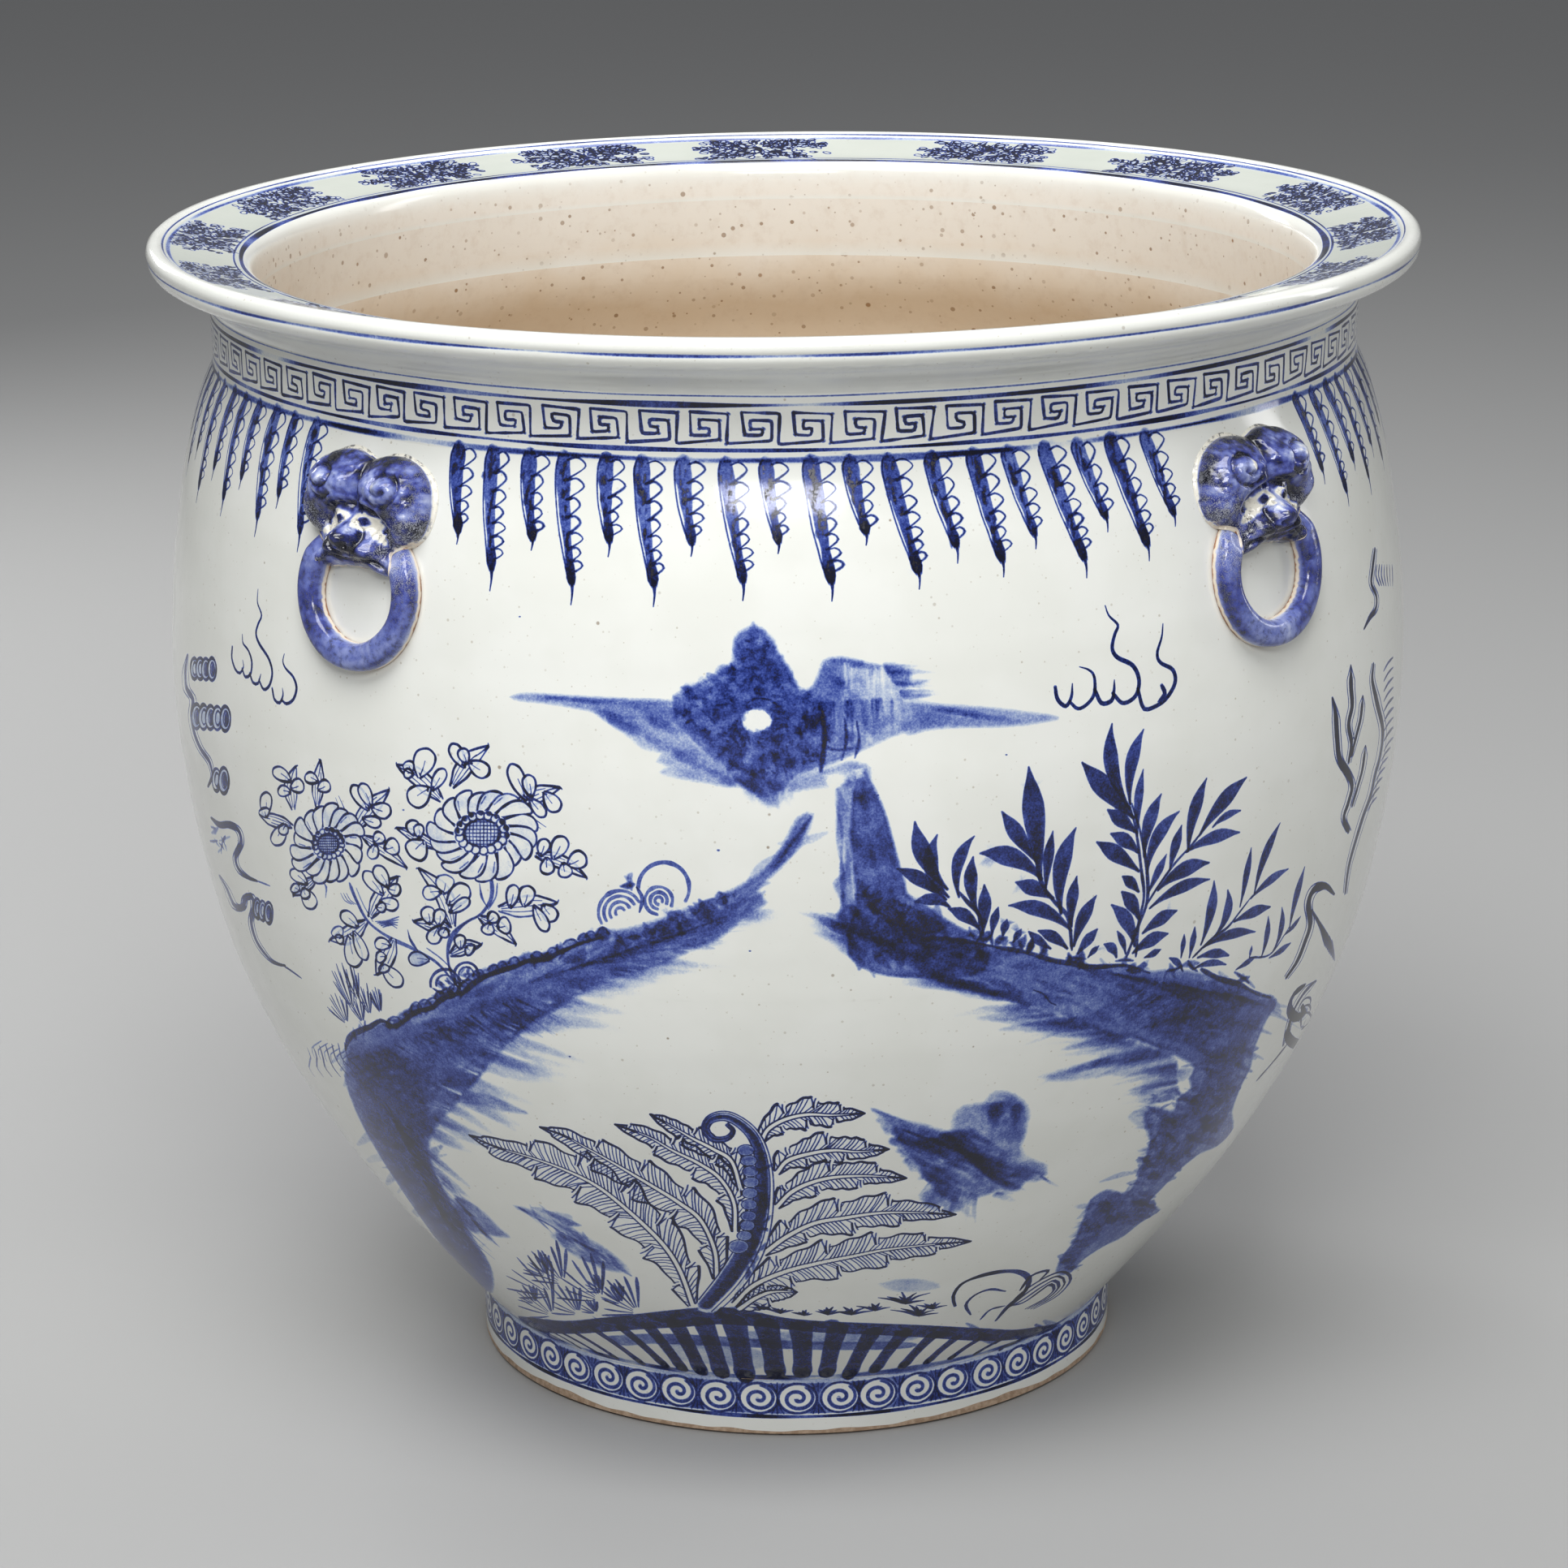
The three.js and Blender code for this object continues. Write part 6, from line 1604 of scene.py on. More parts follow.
def evaluate(th, u, strokes):
    """Ink, pooled iron and bare clay at every (theta, u)."""
    N = len(th)
    ink, pool, bare = np.zeros(N), np.zeros(N), np.zeros(N)
    cov = np.zeros(N)
    bins = Bins(th, u)
    ulo, uhi = float(u.min()), float(u.max())
    for st in strokes:
        p0 = st["p"]
        if p0[:, 1].max() < ulo - 8 or p0[:, 1].min() > uhi + 8:
            continue
        touched = []
        for sh in (0.0, TAU, -TAU):
            p = p0
            if sh:
                if (sh > 0 and p0[:, 0].min() > -math.pi + 0.06) or (sh < 0 and p0[:, 0].max() < math.pi - 0.06):
                    continue
                p = p0 + np.array([sh, 0.0])
            if sh == 0 and (p[:, 0].min() > math.pi + 0.06 or p[:, 0].max() < -math.pi - 0.06):
                continue
            if st.get("area"):
                so = st["s"]
                rm = float(r_of(p[:, 1].mean()))
                idx = bins.near(p[:, 0].min() - so / rm, p[:, 0].max() + so / rm, p[:, 1].min() - so, p[:, 1].max() + so)
                if not len(idx):
                    continue
                rloc = r_of(u[idx])
                X, Y = th[idx], u[idx]
                A = p
                B = np.roll(p, -1, axis=0)
                inside = np.zeros(len(idx), bool)
                dist = np.full(len(idx), 1e9)
                for i in range(len(A)):
                    ax, ay, bx, by = A[i, 0], A[i, 1], B[i, 0], B[i, 1]
                    c = (ay > Y) != (by > Y)
                    if c.any():
                        xc = ax + (Y - ay) * (bx - ax) / (by - ay if by != ay else 1e-12)
                        inside ^= c & (X < xc)
                    sx, sy = (bx - ax) * rloc, by - ay
                    dx, dy = (X - ax) * rloc, Y - ay
                    t = np.clip((dx * sx + dy * sy) / (sx * sx + sy * sy + 1e-12), 0, 1)
                    dist = np.minimum(dist, (dx - t * sx) ** 2 + (dy - t * sy) ** 2)
                dist = np.sqrt(dist)
                sd = np.where(inside, dist, -dist)
                c = sstep(sd / so + 0.5)
                nz = vnoise(X * 250 / st["scale"] + 7, Y / st["scale"] * 1.3 + 3, 1) + 0.5 * vnoise(X * 520 / st["scale"], Y * 2.3 / st["scale"], 2)
                val = c * np.clip(st["d"] * (1 + st["noise"] * nz), 0, 1)
                if st["edge"]:
                    val = val + st["edge"] * c * np.exp(-((sd - 0.9) / 0.8) ** 2)
                if st["grad"] is not None:
                    val = val * st["grad"](X, Y)
                val = np.clip(val, 0, 1)
                cov[idx] = np.maximum(cov[idx], val)
                touched.append(idx)
                continue
            n = len(p)
            for s0 in range(0, n - 1, 14):
                s1 = min(n - 1, s0 + 14)
                q = p[s0:s1 + 1]
                w, d = st["w"][s0:s1 + 1], st["d"][s0:s1 + 1]
                m = float(w.max()) + st["s"]
                rm = float(r_of(q[:, 1].mean()))
                idx = bins.near(q[:, 0].min() - m / rm, q[:, 0].max() + m / rm, q[:, 1].min() - m, q[:, 1].max() + m)
                if not len(idx):
                    continue
                X, Y = th[idx], u[idx]
                ra = r_of(q[:-1, 1])[None]
                dx = (X[:, None] - q[None, :-1, 0]) * ra
                dy = Y[:, None] - q[None, :-1, 1]
                sx = (q[1:, 0] - q[:-1, 0])[None] * ra
                sy = (q[1:, 1] - q[:-1, 1])[None]
                t = np.clip((dx * sx + dy * sy) / (sx * sx + sy * sy + 1e-12), 0, 1)
                dist = np.hypot(dx - t * sx, dy - t * sy)
                ww = w[None, :-1] * (1 - t) + w[None, 1:] * t
                dd = d[None, :-1] * (1 - t) + d[None, 1:] * t
                val = (sstep((ww - dist) / st["s"] + 0.5) * dd).max(1)
                k = val > 0.004
                idx, val = idx[k], val[k]
                cov[idx] = np.maximum(cov[idx], val)
                touched.append(idx)
        if not touched:
            continue
        idx = np.unique(np.concatenate(touched))
        c = cov[idx]
        cov[idx] = 0
        if st["k"] == "ink":
            ink[idx] = 1 - (1 - ink[idx]) * (1 - c)
        elif st["k"] == "max":
            ink[idx] = np.maximum(ink[idx], c)
        elif st["k"] == "erase":
            ink[idx] *= 1 - c
            pool[idx] *= 1 - c
        elif st["k"] == "bare":
            bare[idx] = np.maximum(bare[idx], c)
            ink[idx] *= 1 - c
        if st["pool"]:
            pool[idx] = np.maximum(pool[idx], st["pool"] * c)
    return np.clip(ink, 0, 1), pool, bare


# ------------------------------------------------------------------ turned pieces
def wob(th, z):
    """Slight hand-thrown unevenness of the walls, mm."""
    w = sstep((z - 32) / 40) * (1 - sstep((z - 430) / 26))
    return w * (0.20 * np.sin(3 * th + 1.1 + z * 0.013) + 0.13 * np.sin(7 * th - z * 0.031 + 2) + 0.055 * np.sin(z * 0.115 + 2 * th)
                + 0.026 * np.sin(z * 0.26 + 1.3 + th) + 0.018 * np.sin(z * 0.41 - th + 0.4))


def build_turned(name, runs, out_run, u0, u1, cell, cell_in, R0, strokes, mat, inside_runs=(), closed=True, bare_runs=(), throat=None):
    """runs: list of (points, tangents) going up the outside. out_run: index of the run that carries u0..u1."""
    vs, rr, zz, tr, tz, cuts = [], [], [], [], [], [0.0]
    v = 0.0
    for P, T in runs:
        s = np.concatenate([[0], np.cumsum(np.hypot(*np.diff(P, axis=0).T))])
        a = v + s
        if vs:
            a = a.copy()
            a[0] += 1e-7
        vs.append(a), rr.append(P[:, 0]), zz.append(P[:, 1]), tr.append(T[:, 0]), tz.append(T[:, 1])
        v += s[-1]
        cuts.append(v)
    VS, RR, ZZ, TR, TZ = map(np.concatenate, (vs, rr, zz, tr, tz))
    V = v
    v_off = cuts[out_run] - u0

    def r_v(q):
        return np.interp(q, VS, RR)

    pts, edges = [], []
    rows = []
    for k in range(len(runs)):
        c = cell if k == out_run else cell_in
        L = cuts[k + 1] - cuts[k]
        n = max(1, int(round(L / c)))
        for i in range(n):
            rows.append((cuts[k] + L * i / n, c, i == 0))
    rows.append((V, rows[0][1], True))
    left, right = [], []
    for j, (q, c, corner) in enumerate(rows):
        rad = float(r_v(q))
        n = max(24, int(math.ceil(TAU * max(rad, 1.0) / c)))
        off = 0.5 if (j % 2 and not corner) else 0.0
        th = [-math.pi] + [(-math.pi + TAU * (i + off) / n) for i in range(0 if off else 1, n)] + [math.pi]
        b = len(pts)
        pts += [(t * R0, q) for t in th]
        left.append(b)
        right.append(len(pts) - 1)
        if corner:
            edges += [(b + i, b + i + 1) for i in range(len(th) - 1)]
    edges += list(zip(left[:-1], left[1:])) + list(zip(right[:-1], right[1:]))
    n0 = len(pts)
    for st in strokes:
        p = st["p"]
        if p[:, 1].max() < u0 - 6 or p[:, 1].min() > u1 + 6:
            continue
        for ln in lines_of(st):
            for q in clip_line(ln, u0, u1):
                x = q[:, 0] * R0
                y = q[:, 1] + v_off
                keep = [0]
                for i in range(1, len(x)):
                    if math.hypot(x[i] - x[keep[-1]], y[i] - y[keep[-1]]) > 0.20 or (i == len(x) - 1 and len(keep) == 1):
                        keep.append(i)
                if keep[-1] != len(x) - 1:
                    keep[-1] = len(x) - 1
                if len(keep) < 2:
                    continue
                b = len(pts)
                pts += [(float(x[i]), float(y[i])) for i in keep]
                edges += [(b + i, b + i + 1) for i in range(len(keep) - 1)]
        if st.get("area") and st["grain"]:
            g = st["grain"]
            mrg = st["s"]
            rm = float(r_of(p[:, 1].mean()))
            xs = np.arange(p[:, 0].min() * rm - mrg, p[:, 0].max() * rm + mrg, g)
            ys = np.arange(max(u0 + 1, p[:, 1].min() - mrg), min(u1 - 1, p[:, 1].max() + mrg), g)
            if len(xs) and len(ys):
                gx, gy = np.meshgrid(xs, ys)
                gx = (gx + rng.uniform(-0.35, 0.35, gx.shape) * g).ravel() / rm
                gy = np.clip((gy + rng.uniform(-0.35, 0.35, gy.shape) * g).ravel(), u0 + 0.5, u1 - 0.5)
                A, B = p, np.roll(p, -1, axis=0)
                ins = np.zeros(len(gx), bool)
                dmin = np.full(len(gx), 1e9)
                for i in range(len(A)):
                    c = (A[i, 1] > gy) != (B[i, 1] > gy)
                    if c.any():
                        ins ^= c & (gx < A[i, 0] + (gy - A[i, 1]) * (B[i, 0] - A[i, 0]) / (B[i, 1] - A[i, 1] if B[i, 1] != A[i, 1] else 1e-12))
                    dmin = np.minimum(dmin, np.hypot((gx - A[i, 0]) * rm, gy - A[i, 1]))
                k = ins | (dmin < mrg)
                gx, gy = gx[k], gy[k]
                gx = np.where(gx > math.pi, gx - TAU, np.where(gx < -math.pi, gx + TAU, gx))
                pts += [(float(a * R0), float(c + v_off)) for a, c in zip(gx, gy) if abs(a) < math.pi - 0.01]
    res = delaunay_2d_cdt([Vector(q) for q in pts], edges, [], 0, 1e-4, False)
    co = np.array([q[:] for q in res[0]])
    F = np.array([f[:3] for f in res[2]], int)
    th, q = co[:, 0] / R0, co[:, 1]
    e1 = co[F[:, 1]] - co[F[:, 0]]
    e2 = co[F[:, 2]] - co[F[:, 0]]
    flip = (e1[:, 0] * e2[:, 1] - e1[:, 1] * e2[:, 0]) < 0
    F[flip] = F[flip][:, ::-1]
    # join the two sides of the chart
    m = np.arange(len(co))
    Lf = np.where(np.abs(th + math.pi) < 3e-6)[0]
    Rt = np.where(np.abs(th - math.pi) < 3e-6)[0]
    Lf, Rt = Lf[np.argsort(q[Lf])], Rt[np.argsort(q[Rt])]
    if len(Lf) == len(Rt) and np.abs(q[Lf] - q[Rt]).max() < 2e-3:
        m[Rt] = Lf
    else:
        print("seam mismatch", name, len(Lf), len(Rt))
        j = np.clip(np.searchsorted(q[Lf], q[Rt]), 0, len(Lf) - 1)
        j2 = np.maximum(j - 1, 0)
        near = np.where(np.abs(q[Lf[j]] - q[Rt]) < np.abs(q[Lf[j2]] - q[Rt]), Lf[j], Lf[j2])
        m[Rt] = near
    Bt = np.where(q < 6e-4)[0]
    Tp = np.where(q > V - 6e-4)[0]
    if closed == "axis":
        m[Bt] = Bt[0]
        m[Tp] = Tp[0]
    else:
        Bt, Tp = Bt[np.argsort(th[Bt])], Tp[np.argsort(th[Tp])]
        if len(Bt) != len(Tp):
            print("ring mismatch", name, len(Bt), len(Tp))
        m[Tp] = m[Bt]
    m = m[m]
    G = m[F]
    ok = (G[:, 0] != G[:, 1]) & (G[:, 1] != G[:, 2]) & (G[:, 0] != G[:, 2])
    F, G = F[ok], G[ok]
    used = np.unique(G)
    back = np.full(len(co), -1)
    back[used] = np.arange(len(used))
    G = back[G]
    # positions
    R, Z = np.interp(q, VS, RR), np.interp(q, VS, ZZ)
    wv = wob(th, Z) * np.minimum(1, R / 60)
    R2 = R + wv
    pos = np.stack([R2 * np.sin(th), -R2 * np.cos(th), Z], 1)[used] / 1000
    # paint
    on = (q >= cuts[out_run] - 1e-3) & (q <= cuts[out_run + 1] + 1e-3)
    u = q - v_off
    ink, pool, bare = np.zeros(len(co)), np.zeros(len(co)), np.zeros(len(co))
    ink[on], pool[on], bare[on] = evaluate(th[on], u[on], strokes)
    ins = np.zeros(len(co))
    for k in inside_runs:
        ins[(q >= cuts[k] - 1e-3) & (q <= cuts[k + 1] + 1e-3)] = 1
    for k in bare_runs:
        bare[(q >= cuts[k] - 1e-3) & (q <= cuts[k + 1] + 1e-3)] = 1
    if throat is not None:
        ins = np.maximum(ins, sstep((u - throat) / 14.0) * on)
    col = np.stack([ink, pool, bare, ins], 1)[used]
    # normals for every corner of every face, taken a little towards the face's middle
    qc = q[F].mean(1)
    ql = q[F] + 0.12 * (qc[:, None] - q[F])
    tl = th[F]
    nr, nz = np.interp(ql, VS, TZ), -np.interp(ql, VS, TR)
    zl, rl = np.interp(ql, VS, ZZ), np.maximum(np.interp(ql, VS, RR), 5)
    h = 1e-3
    wz = (wob(tl, zl + h * 100) - wob(tl, zl - h * 100)) / (2 * h * 100)
    wt = (wob(tl + h, zl) - wob(tl - h, zl)) / (2 * h)
    nzz = nz - wz * nr
    nt = -(wt / rl) * nr
    Nx = nr * np.sin(tl) + nt * np.cos(tl)
    Ny = -nr * np.cos(tl) + nt * np.sin(tl)
    Nn = np.stack([Nx, Ny, nzz], -1).reshape(-1, 3)
    Nn /= np.linalg.norm(Nn, axis=1)[:, None]
    ob = mesh_from(name, pos, G, {"paint": col}, Nn)
    ob.data.materials.append(mat)
    print(name, "verts", len(pos), "faces", len(G), flush=True)
    return ob


def mesh_from(name, pos, tri, colours=None, loop_normals=None):
    me = bpy.data.meshes.new(name)
    n, f = len(pos), len(tri)
    me.vertices.add(n)
    me.vertices.foreach_set("co", np.asarray(pos, np.float32).ravel())
    me.loops.add(f * 3)
    me.loops.foreach_set("vertex_index", np.asarray(tri, np.int32).ravel())
    me.polygons.add(f)
    me.polygons.foreach_set("loop_start", np.arange(0, f * 3, 3, dtype=np.int32))
    me.polygons.foreach_set("use_smooth", np.ones(f, bool))
    me.update(calc_edges=True)
    for nm, c in (colours or {}).items():
        a = me.attributes.new(nm, "FLOAT_COLOR", "POINT")
        a.data.foreach_set("color", np.asarray(c, np.float32).ravel())
    if loop_normals is not None:
        me.normals_split_custom_set(np.asarray(loop_normals, np.float32))
    ob = bpy.data.objects.new(name, me)
    bpy.context.scene.collection.objects.link(ob)
    return ob


# ------------------------------------------------------------------ materials
def lin(c):
    return tuple(((v / 255) / 12.92 if v / 255 <= 0.04045 else ((v / 255 + 0.055) / 1.055) ** 2.4) for v in c) + (1.0,)


class Tree:
    def __init__(self, name):
        self.mat = bpy.data.materials.new(name)
        self.mat.use_nodes = True
        self.t = self.mat.node_tree
        self.t.nodes.clear()
        self.out = self.t.nodes.new("ShaderNodeOutputMaterial")
        self.x = 0

    def node(self, kind, props=None, **ins):
        n = self.t.nodes.new(kind)
        self.x -= 40
        n.location = (self.x, 0)
        for k, v in (props or {}).items():
            setattr(n, k, v)
        for k, v in ins.items():
            sock = n.inputs[int(k[1:])] if k[0] == "i" and k[1:].isdigit() else n.inputs[k.replace("_", " ")]
            if isinstance(v, bpy.types.NodeSocket):
                self.t.links.new(v, sock)
            else:
                sock.default_value = v
        return n

    def math(self, op, a, b=0.0, c=None, clamp=False):
        n = self.node("ShaderNodeMath", {"operation": op, "use_clamp": clamp}, i0=a, i1=b)
        if c is not None:
            if isinstance(c, bpy.types.NodeSocket):
                self.t.links.new(c, n.inputs[2])
            else:
                n.inputs[2].default_value = c
        return n.outputs[0]

    def mix(self, f, a, b, kind="MIX"):
        n = self.t.nodes.new("ShaderNodeMix")
        n.data_type = "RGBA"
        n.blend_type = kind
        for s, v in ((n.inputs[0], f), (n.inputs[6], a), (n.inputs[7], b)):
            if isinstance(v, bpy.types.NodeSocket):
                self.t.links.new(v, s)
            else:
                s.default_value = v
        return n.outputs[2]

    def mixf(self, f, a, b):
        n = self.t.nodes.new("ShaderNodeMix")
        n.data_type = "FLOAT"
        for s, v in ((n.inputs[0], f), (n.inputs[2], a), (n.inputs[3], b)):
            if isinstance(v, bpy.types.NodeSocket):
                self.t.links.new(v, s)
            else:
                s.default_value = v
        return n.outputs[0]

    def noise(self, vec, scale, detail=2.0, rough=0.5):
        return self.node("ShaderNodeTexNoise", {"noise_dimensions": "3D"}, Vector=vec, Scale=scale, Detail=detail, Roughness=rough).outputs[0]

    def ramp(self, f, stops, interp="LINEAR"):
        n = self.t.nodes.new("ShaderNodeValToRGB")
        n.color_ramp.interpolation = interp
        el = n.color_ramp.elements
        while len(el) > 1:
            el.remove(el[-1])
        for i, (p, c) in enumerate(stops):
            e = el[0] if i == 0 else el.new(p)
            e.position = p
            e.color = c if len(c) == 4 else lin(c)
        self.t.links.new(f, n.inputs[0])
        return n.outputs[0]

    def range(self, v, a, b, c=0.0, d=1.0, kind="SMOOTHSTEP"):
        n = self.t.nodes.new("ShaderNodeMapRange")
        n.interpolation_type = kind
        n.clamp = True if kind == "LINEAR" else n.clamp
        self.t.links.new(v, n.inputs[0])
        for i, x in ((1, a), (2, b), (3, c), (4, d)):
            n.inputs[i].default_value = x
        return n.outputs[0]


COBALT = [(0.0, (228, 230, 226)), (0.10, (192, 202, 216)), (0.24, (142, 158, 198)), (0.38, (100, 118, 178)), (0.52, (70, 88, 160)),
          (0.64, (48, 65, 140)), (0.76, (31, 46, 112)), (0.86, (19, 29, 78)), (0.94, (12, 18, 50)), (1.0, (8, 11, 30))]


def speck(T, vec, scale, lo, hi, seedoff):
    """Sparse small round specks, 0..1."""
    v = T.node("ShaderNodeTexVoronoi", {"feature": "F1", "distance": "EUCLIDEAN"}, Vector=vec, Scale=scale, Randomness=1.0)
    sep = T.node("ShaderNodeSeparateColor", Color=v.outputs["Color"])
    size = T.math("MULTIPLY_ADD", T.math("POWER", sep.outputs[0], 3.0), hi - lo, lo)
    gap = T.math("SUBTRACT", size, v.outputs["Distance"])
    return T.math("MULTIPLY", gap, 22.0, clamp=True), sep


def glaze_material():
    T = Tree("painted_glaze")
    co = T.node("ShaderNodeTexCoord").outputs["Object"]
    at = T.node("ShaderNodeAttribute", {"attribute_name": "paint", "attribute_type": "GEOMETRY"})
    sc = T.node("ShaderNodeSeparateColor", Color=at.outputs["Color"])
    ink, pool, bare = sc.outputs[0], sc.outputs[1], sc.outputs[2]
    inside = at.outputs["Alpha"]
    sx = T.node("ShaderNodeSeparateXYZ", Vector=co)
    z = sx.outputs[2]
    rad = T.math("SQRT", T.math("ADD", T.math("MULTIPLY", sx.outputs[0], sx.outputs[0]), T.math("MULTIPLY", sx.outputs[1], sx.outputs[1])))
    n_fine = T.noise(co, 1150.0, 3.0, 0.6)
    n_mid = T.noise(co, 330.0, 2.0, 0.55)
    n_big = T.noise(co, 26.0, 3.0, 0.5)
    n_tiny = T.noise(co, 2600.0, 2.0, 0.5)
    # granulated cobalt
    room = T.math("MULTIPLY", ink, T.math("SUBTRACT", 1.22, ink))
    g1 = T.math("MULTIPLY", T.math("SUBTRACT", n_fine, 0.5), 1.9)
    g2 = T.math("MULTIPLY", T.math("SUBTRACT", n_mid, 0.5), 1.15)
    g3 = T.math("MULTIPLY", T.math("SUBTRACT", n_tiny, 0.5), 0.55)
    gran = T.math("ADD", T.math("ADD", g1, g2), g3)
    inkv = T.math("ADD", ink, T.math("MULTIPLY", room, gran), clamp=True)
    blue = T.ramp(inkv, COBALT)
    # bare glaze: pale grey-green white, slightly uneven, with fine specks
    base = T.mix(T.range(n_big, 0.35, 0.65), lin((226, 227, 220)), lin((230, 231, 225)))
    s1, c1 = speck(T, co, 300.0, 0.09, 0.20, 0)
    s2, c2 = speck(T, co, 120.0, 0.03, 0.12, 3)
    f1 = T.math("MULTIPLY", s1, T.math("MULTIPLY", c1.outputs[1], 0.58))
    base = T.mix(f1, base, lin((168, 158, 138)))
    f2 = T.math("MULTIPLY", s2, T.math("MULTIPLY", c2.outputs[1], 0.8))
    base = T.mix(f2, base, lin((128, 106, 78)))
    # the rim band between its two lines is painted greyer and greener: partly its glaze tone, partly painted shade on
    # the rim's upper face
    band = T.math("MULTIPLY", T.math("MULTIPLY", T.range(rad, 0.2378, 0.2396), T.range(rad, 0.2704, 0.2722, 1.0, 0.0)), T.range(z, 0.5035, 0.5050))
    base = T.mix(T.math("MULTIPLY", band, T.range(n_big, 0.2, 0.8, 0.75, 1.0)), base, lin((197, 202, 192)))
    # inside: cream at the top, going tan lower down with a darker band just below the neck; the tan and that band are
    # painted shade in the bowl's hollow. More specks than outside
    zr = T.math("ADD", z, T.math("MULTIPLY", T.math("SUBTRACT", n_big, 0.5), 0.03))
    inside_glaze_with_painted_shade = T.ramp(T.range(zr, 0.05, 0.50, 0.0, 1.0, "LINEAR"),
                   [(0.0, (204, 183, 154)), (0.50, (212, 194, 168)), (0.76, (220, 205, 183)), (0.825, (213, 196, 172)), (0.86, (208, 189, 163)), (0.895, (220, 207, 188)), (0.935, (229, 223, 212)), (1.0, (232, 228, 219))])
    s3, c3 = speck(T, co, 96.0, 0.02, 0.16, 5)
    f3 = T.math("MULTIPLY", s3, T.math("MULTIPLY_ADD", c3.outputs[1], 0.7, 0.25))
    inside_glaze_with_painted_shade = T.mix(f3, inside_glaze_with_painted_shade, lin((142, 104, 64)))
    s4, c4 = speck(T, co, 205.0, 0.11, 0.28, 7)
    f4 = T.math("MULTIPLY", s4, T.math("MULTIPLY_ADD", c4.outputs[1], 0.55, 0.25))
    inside_glaze_with_painted_shade = T.mix(f4, inside_glaze_with_painted_shade, lin((134, 100, 64)))
    mott = T.math("MULTIPLY", T.range(T.noise(co, 140.0, 4.0, 0.7), 0.45, 0.75), 0.16)
    inside_glaze_with_painted_shade = T.mix(mott, inside_glaze_with_painted_shade, lin((178, 148, 116)))
    base = T.mix(inside, base, inside_glaze_with_painted_shade)
    has = T.range(inkv, 0.0, 0.09)
    col = T.mix(has, base, blue)
    # iron-black where cobalt lies thick
    iron = T.range(T.math("ADD", n_fine, T.math("MULTIPLY", n_mid, 0.35)), 0.60, 0.74)
    heavy = T.math("MULTIPLY", iron, T.math("MULTIPLY", pool, T.range(ink, 0.45, 0.85)))
    col = T.mix(T.math("MULTIPLY", heavy, 0.85), col, lin((34, 30, 34)))
    # bare clay
    b_edge = T.range(T.math("ADD", bare, T.math("MULTIPLY", T.math("SUBTRACT", n_mid, 0.5), 0.5)), 0.42, 0.56)
    clay = T.mix(T.range(n_mid, 0.35, 0.65), lin((158, 132, 108)), lin((186, 162, 138)))
    clay = T.mix(T.math("MULTIPLY", T.range(n_fine, 0.55, 0.7), 0.4), clay, lin((110, 84, 62)))
    col = T.mix(b_edge, col, clay)
    rough = T.mixf(T.range(n_big, 0.3, 0.7), 0.085, 0.13)
    rough = T.math("ADD", rough, T.math("MULTIPLY", heavy, 0.35))
    rough = T.mixf(inside, rough, T.math("ADD", rough, 0.10))
    rough = T.mixf(b_edge, rough, 0.78)
    hgt = T.math("ADD", T.math("MULTIPLY", T.noise(co, 210.0, 2.0, 0.5), 0.6), T.math("MULTIPLY", s2, -0.12))
    hgt = T.math("ADD", hgt, T.math("MULTIPLY", b_edge, T.math("MULTIPLY", n_fine, 0.8)))
    bump = T.node("ShaderNodeBump", Strength=0.10, Distance=0.0006, Height=hgt)
    p = T.node("ShaderNodeBsdfPrincipled", Base_Color=col, Roughness=rough, Normal=bump.outputs[0])
    p.inputs["IOR"].default_value = 1.52
    p.inputs["Specular IOR Level"].default_value = 0.5
    T.t.links.new(p.outputs[0], T.out.inputs[0])
    return T.mat


GLAZE = glaze_material()

# ------------------------------------------------------------------ the turned pieces
CELL, CELL_IN = 6.0, 11.0


def line_run(*pts, step=2.0):
    return [curve_rz([a, b], step) for a, b in zip(pts[:-1], pts[1:])]


foot_runs = [curve_rz([(146.05, 1.5), (146.4, FOOT_TOP)])]
foot_runs += line_run((146.4, FOOT_TOP), (125.0, FOOT_TOP))
foot_runs += [curve_rz([(125.0, FOOT_TOP), (122.9, 19.0), (122.3, 9.0), (122.0, 2.2)])]
foot_runs += [curve_rz([(122.0, 2.2), (122.5, 0.7), (124.0, 0.05), (126.0, 0.0)], 0.6)]
foot_runs += line_run((126.0, 0.0), (143.6, 0.0))
foot_runs += [curve_rz([(143.6, 0.0), (144.9, 0.15), (145.8, 0.7), (146.05, 1.5)], 0.6)]
# start the closed chart on the inside of the ring
foot_runs = foot_runs[2:] + foot_runs[:2]

low_in, low_in_t = inner_run(SEAM, 44.0)
low_runs = line_run((0.0, 18.0), (118.0, 18.0)) + [curve_rz([(118.0, 18.0), (121.0, 18.4), (122.8, 19.6), (125.0, FOOT_TOP)])]
low_runs += line_run((125.0, FOOT_TOP), (146.4, FOOT_TOP)) + [body_run(FOOT_TOP, SEAM)]
low_runs += line_run((267.2, SEAM), (float(low_in[0][0]), SEAM)) + [(low_in, low_in_t)]

mid_a = inner_run(352.0, SEAM)
mid_b = inner_run(CREASE, 352.0)
up_runs = [mid_a] + line_run((float(mid_a[0][-1][0]), SEAM), (267.2, SEAM)) + [body_run(SEAM, CREASE)]
up_runs += line_run((253.4, CREASE), (float(mid_b[0][0][0]), CREASE)) + [mid_b]

neck_in = [(235.4, CREASE), (234.6, 470.0), (233.7, 480.0), (233.1, NECK_TOP)]
neck_runs = line_run((235.4, CREASE), (253.4, CREASE)) + [curve_rz([(253.4, CREASE), (253.0, 464.5), (253.0, 476.0), (253.2, 486.0), (253.4, NECK_TOP)])]
neck_runs += line_run((253.4, NECK_TOP), (233.1, NECK_TOP)) + [curve_rz(neck_in[::-1])]
rim_runs = line_run((233.1, NECK_TOP), (253.4, NECK_TOP)) + [curve_rz(RIM_OUT, 0.6)]

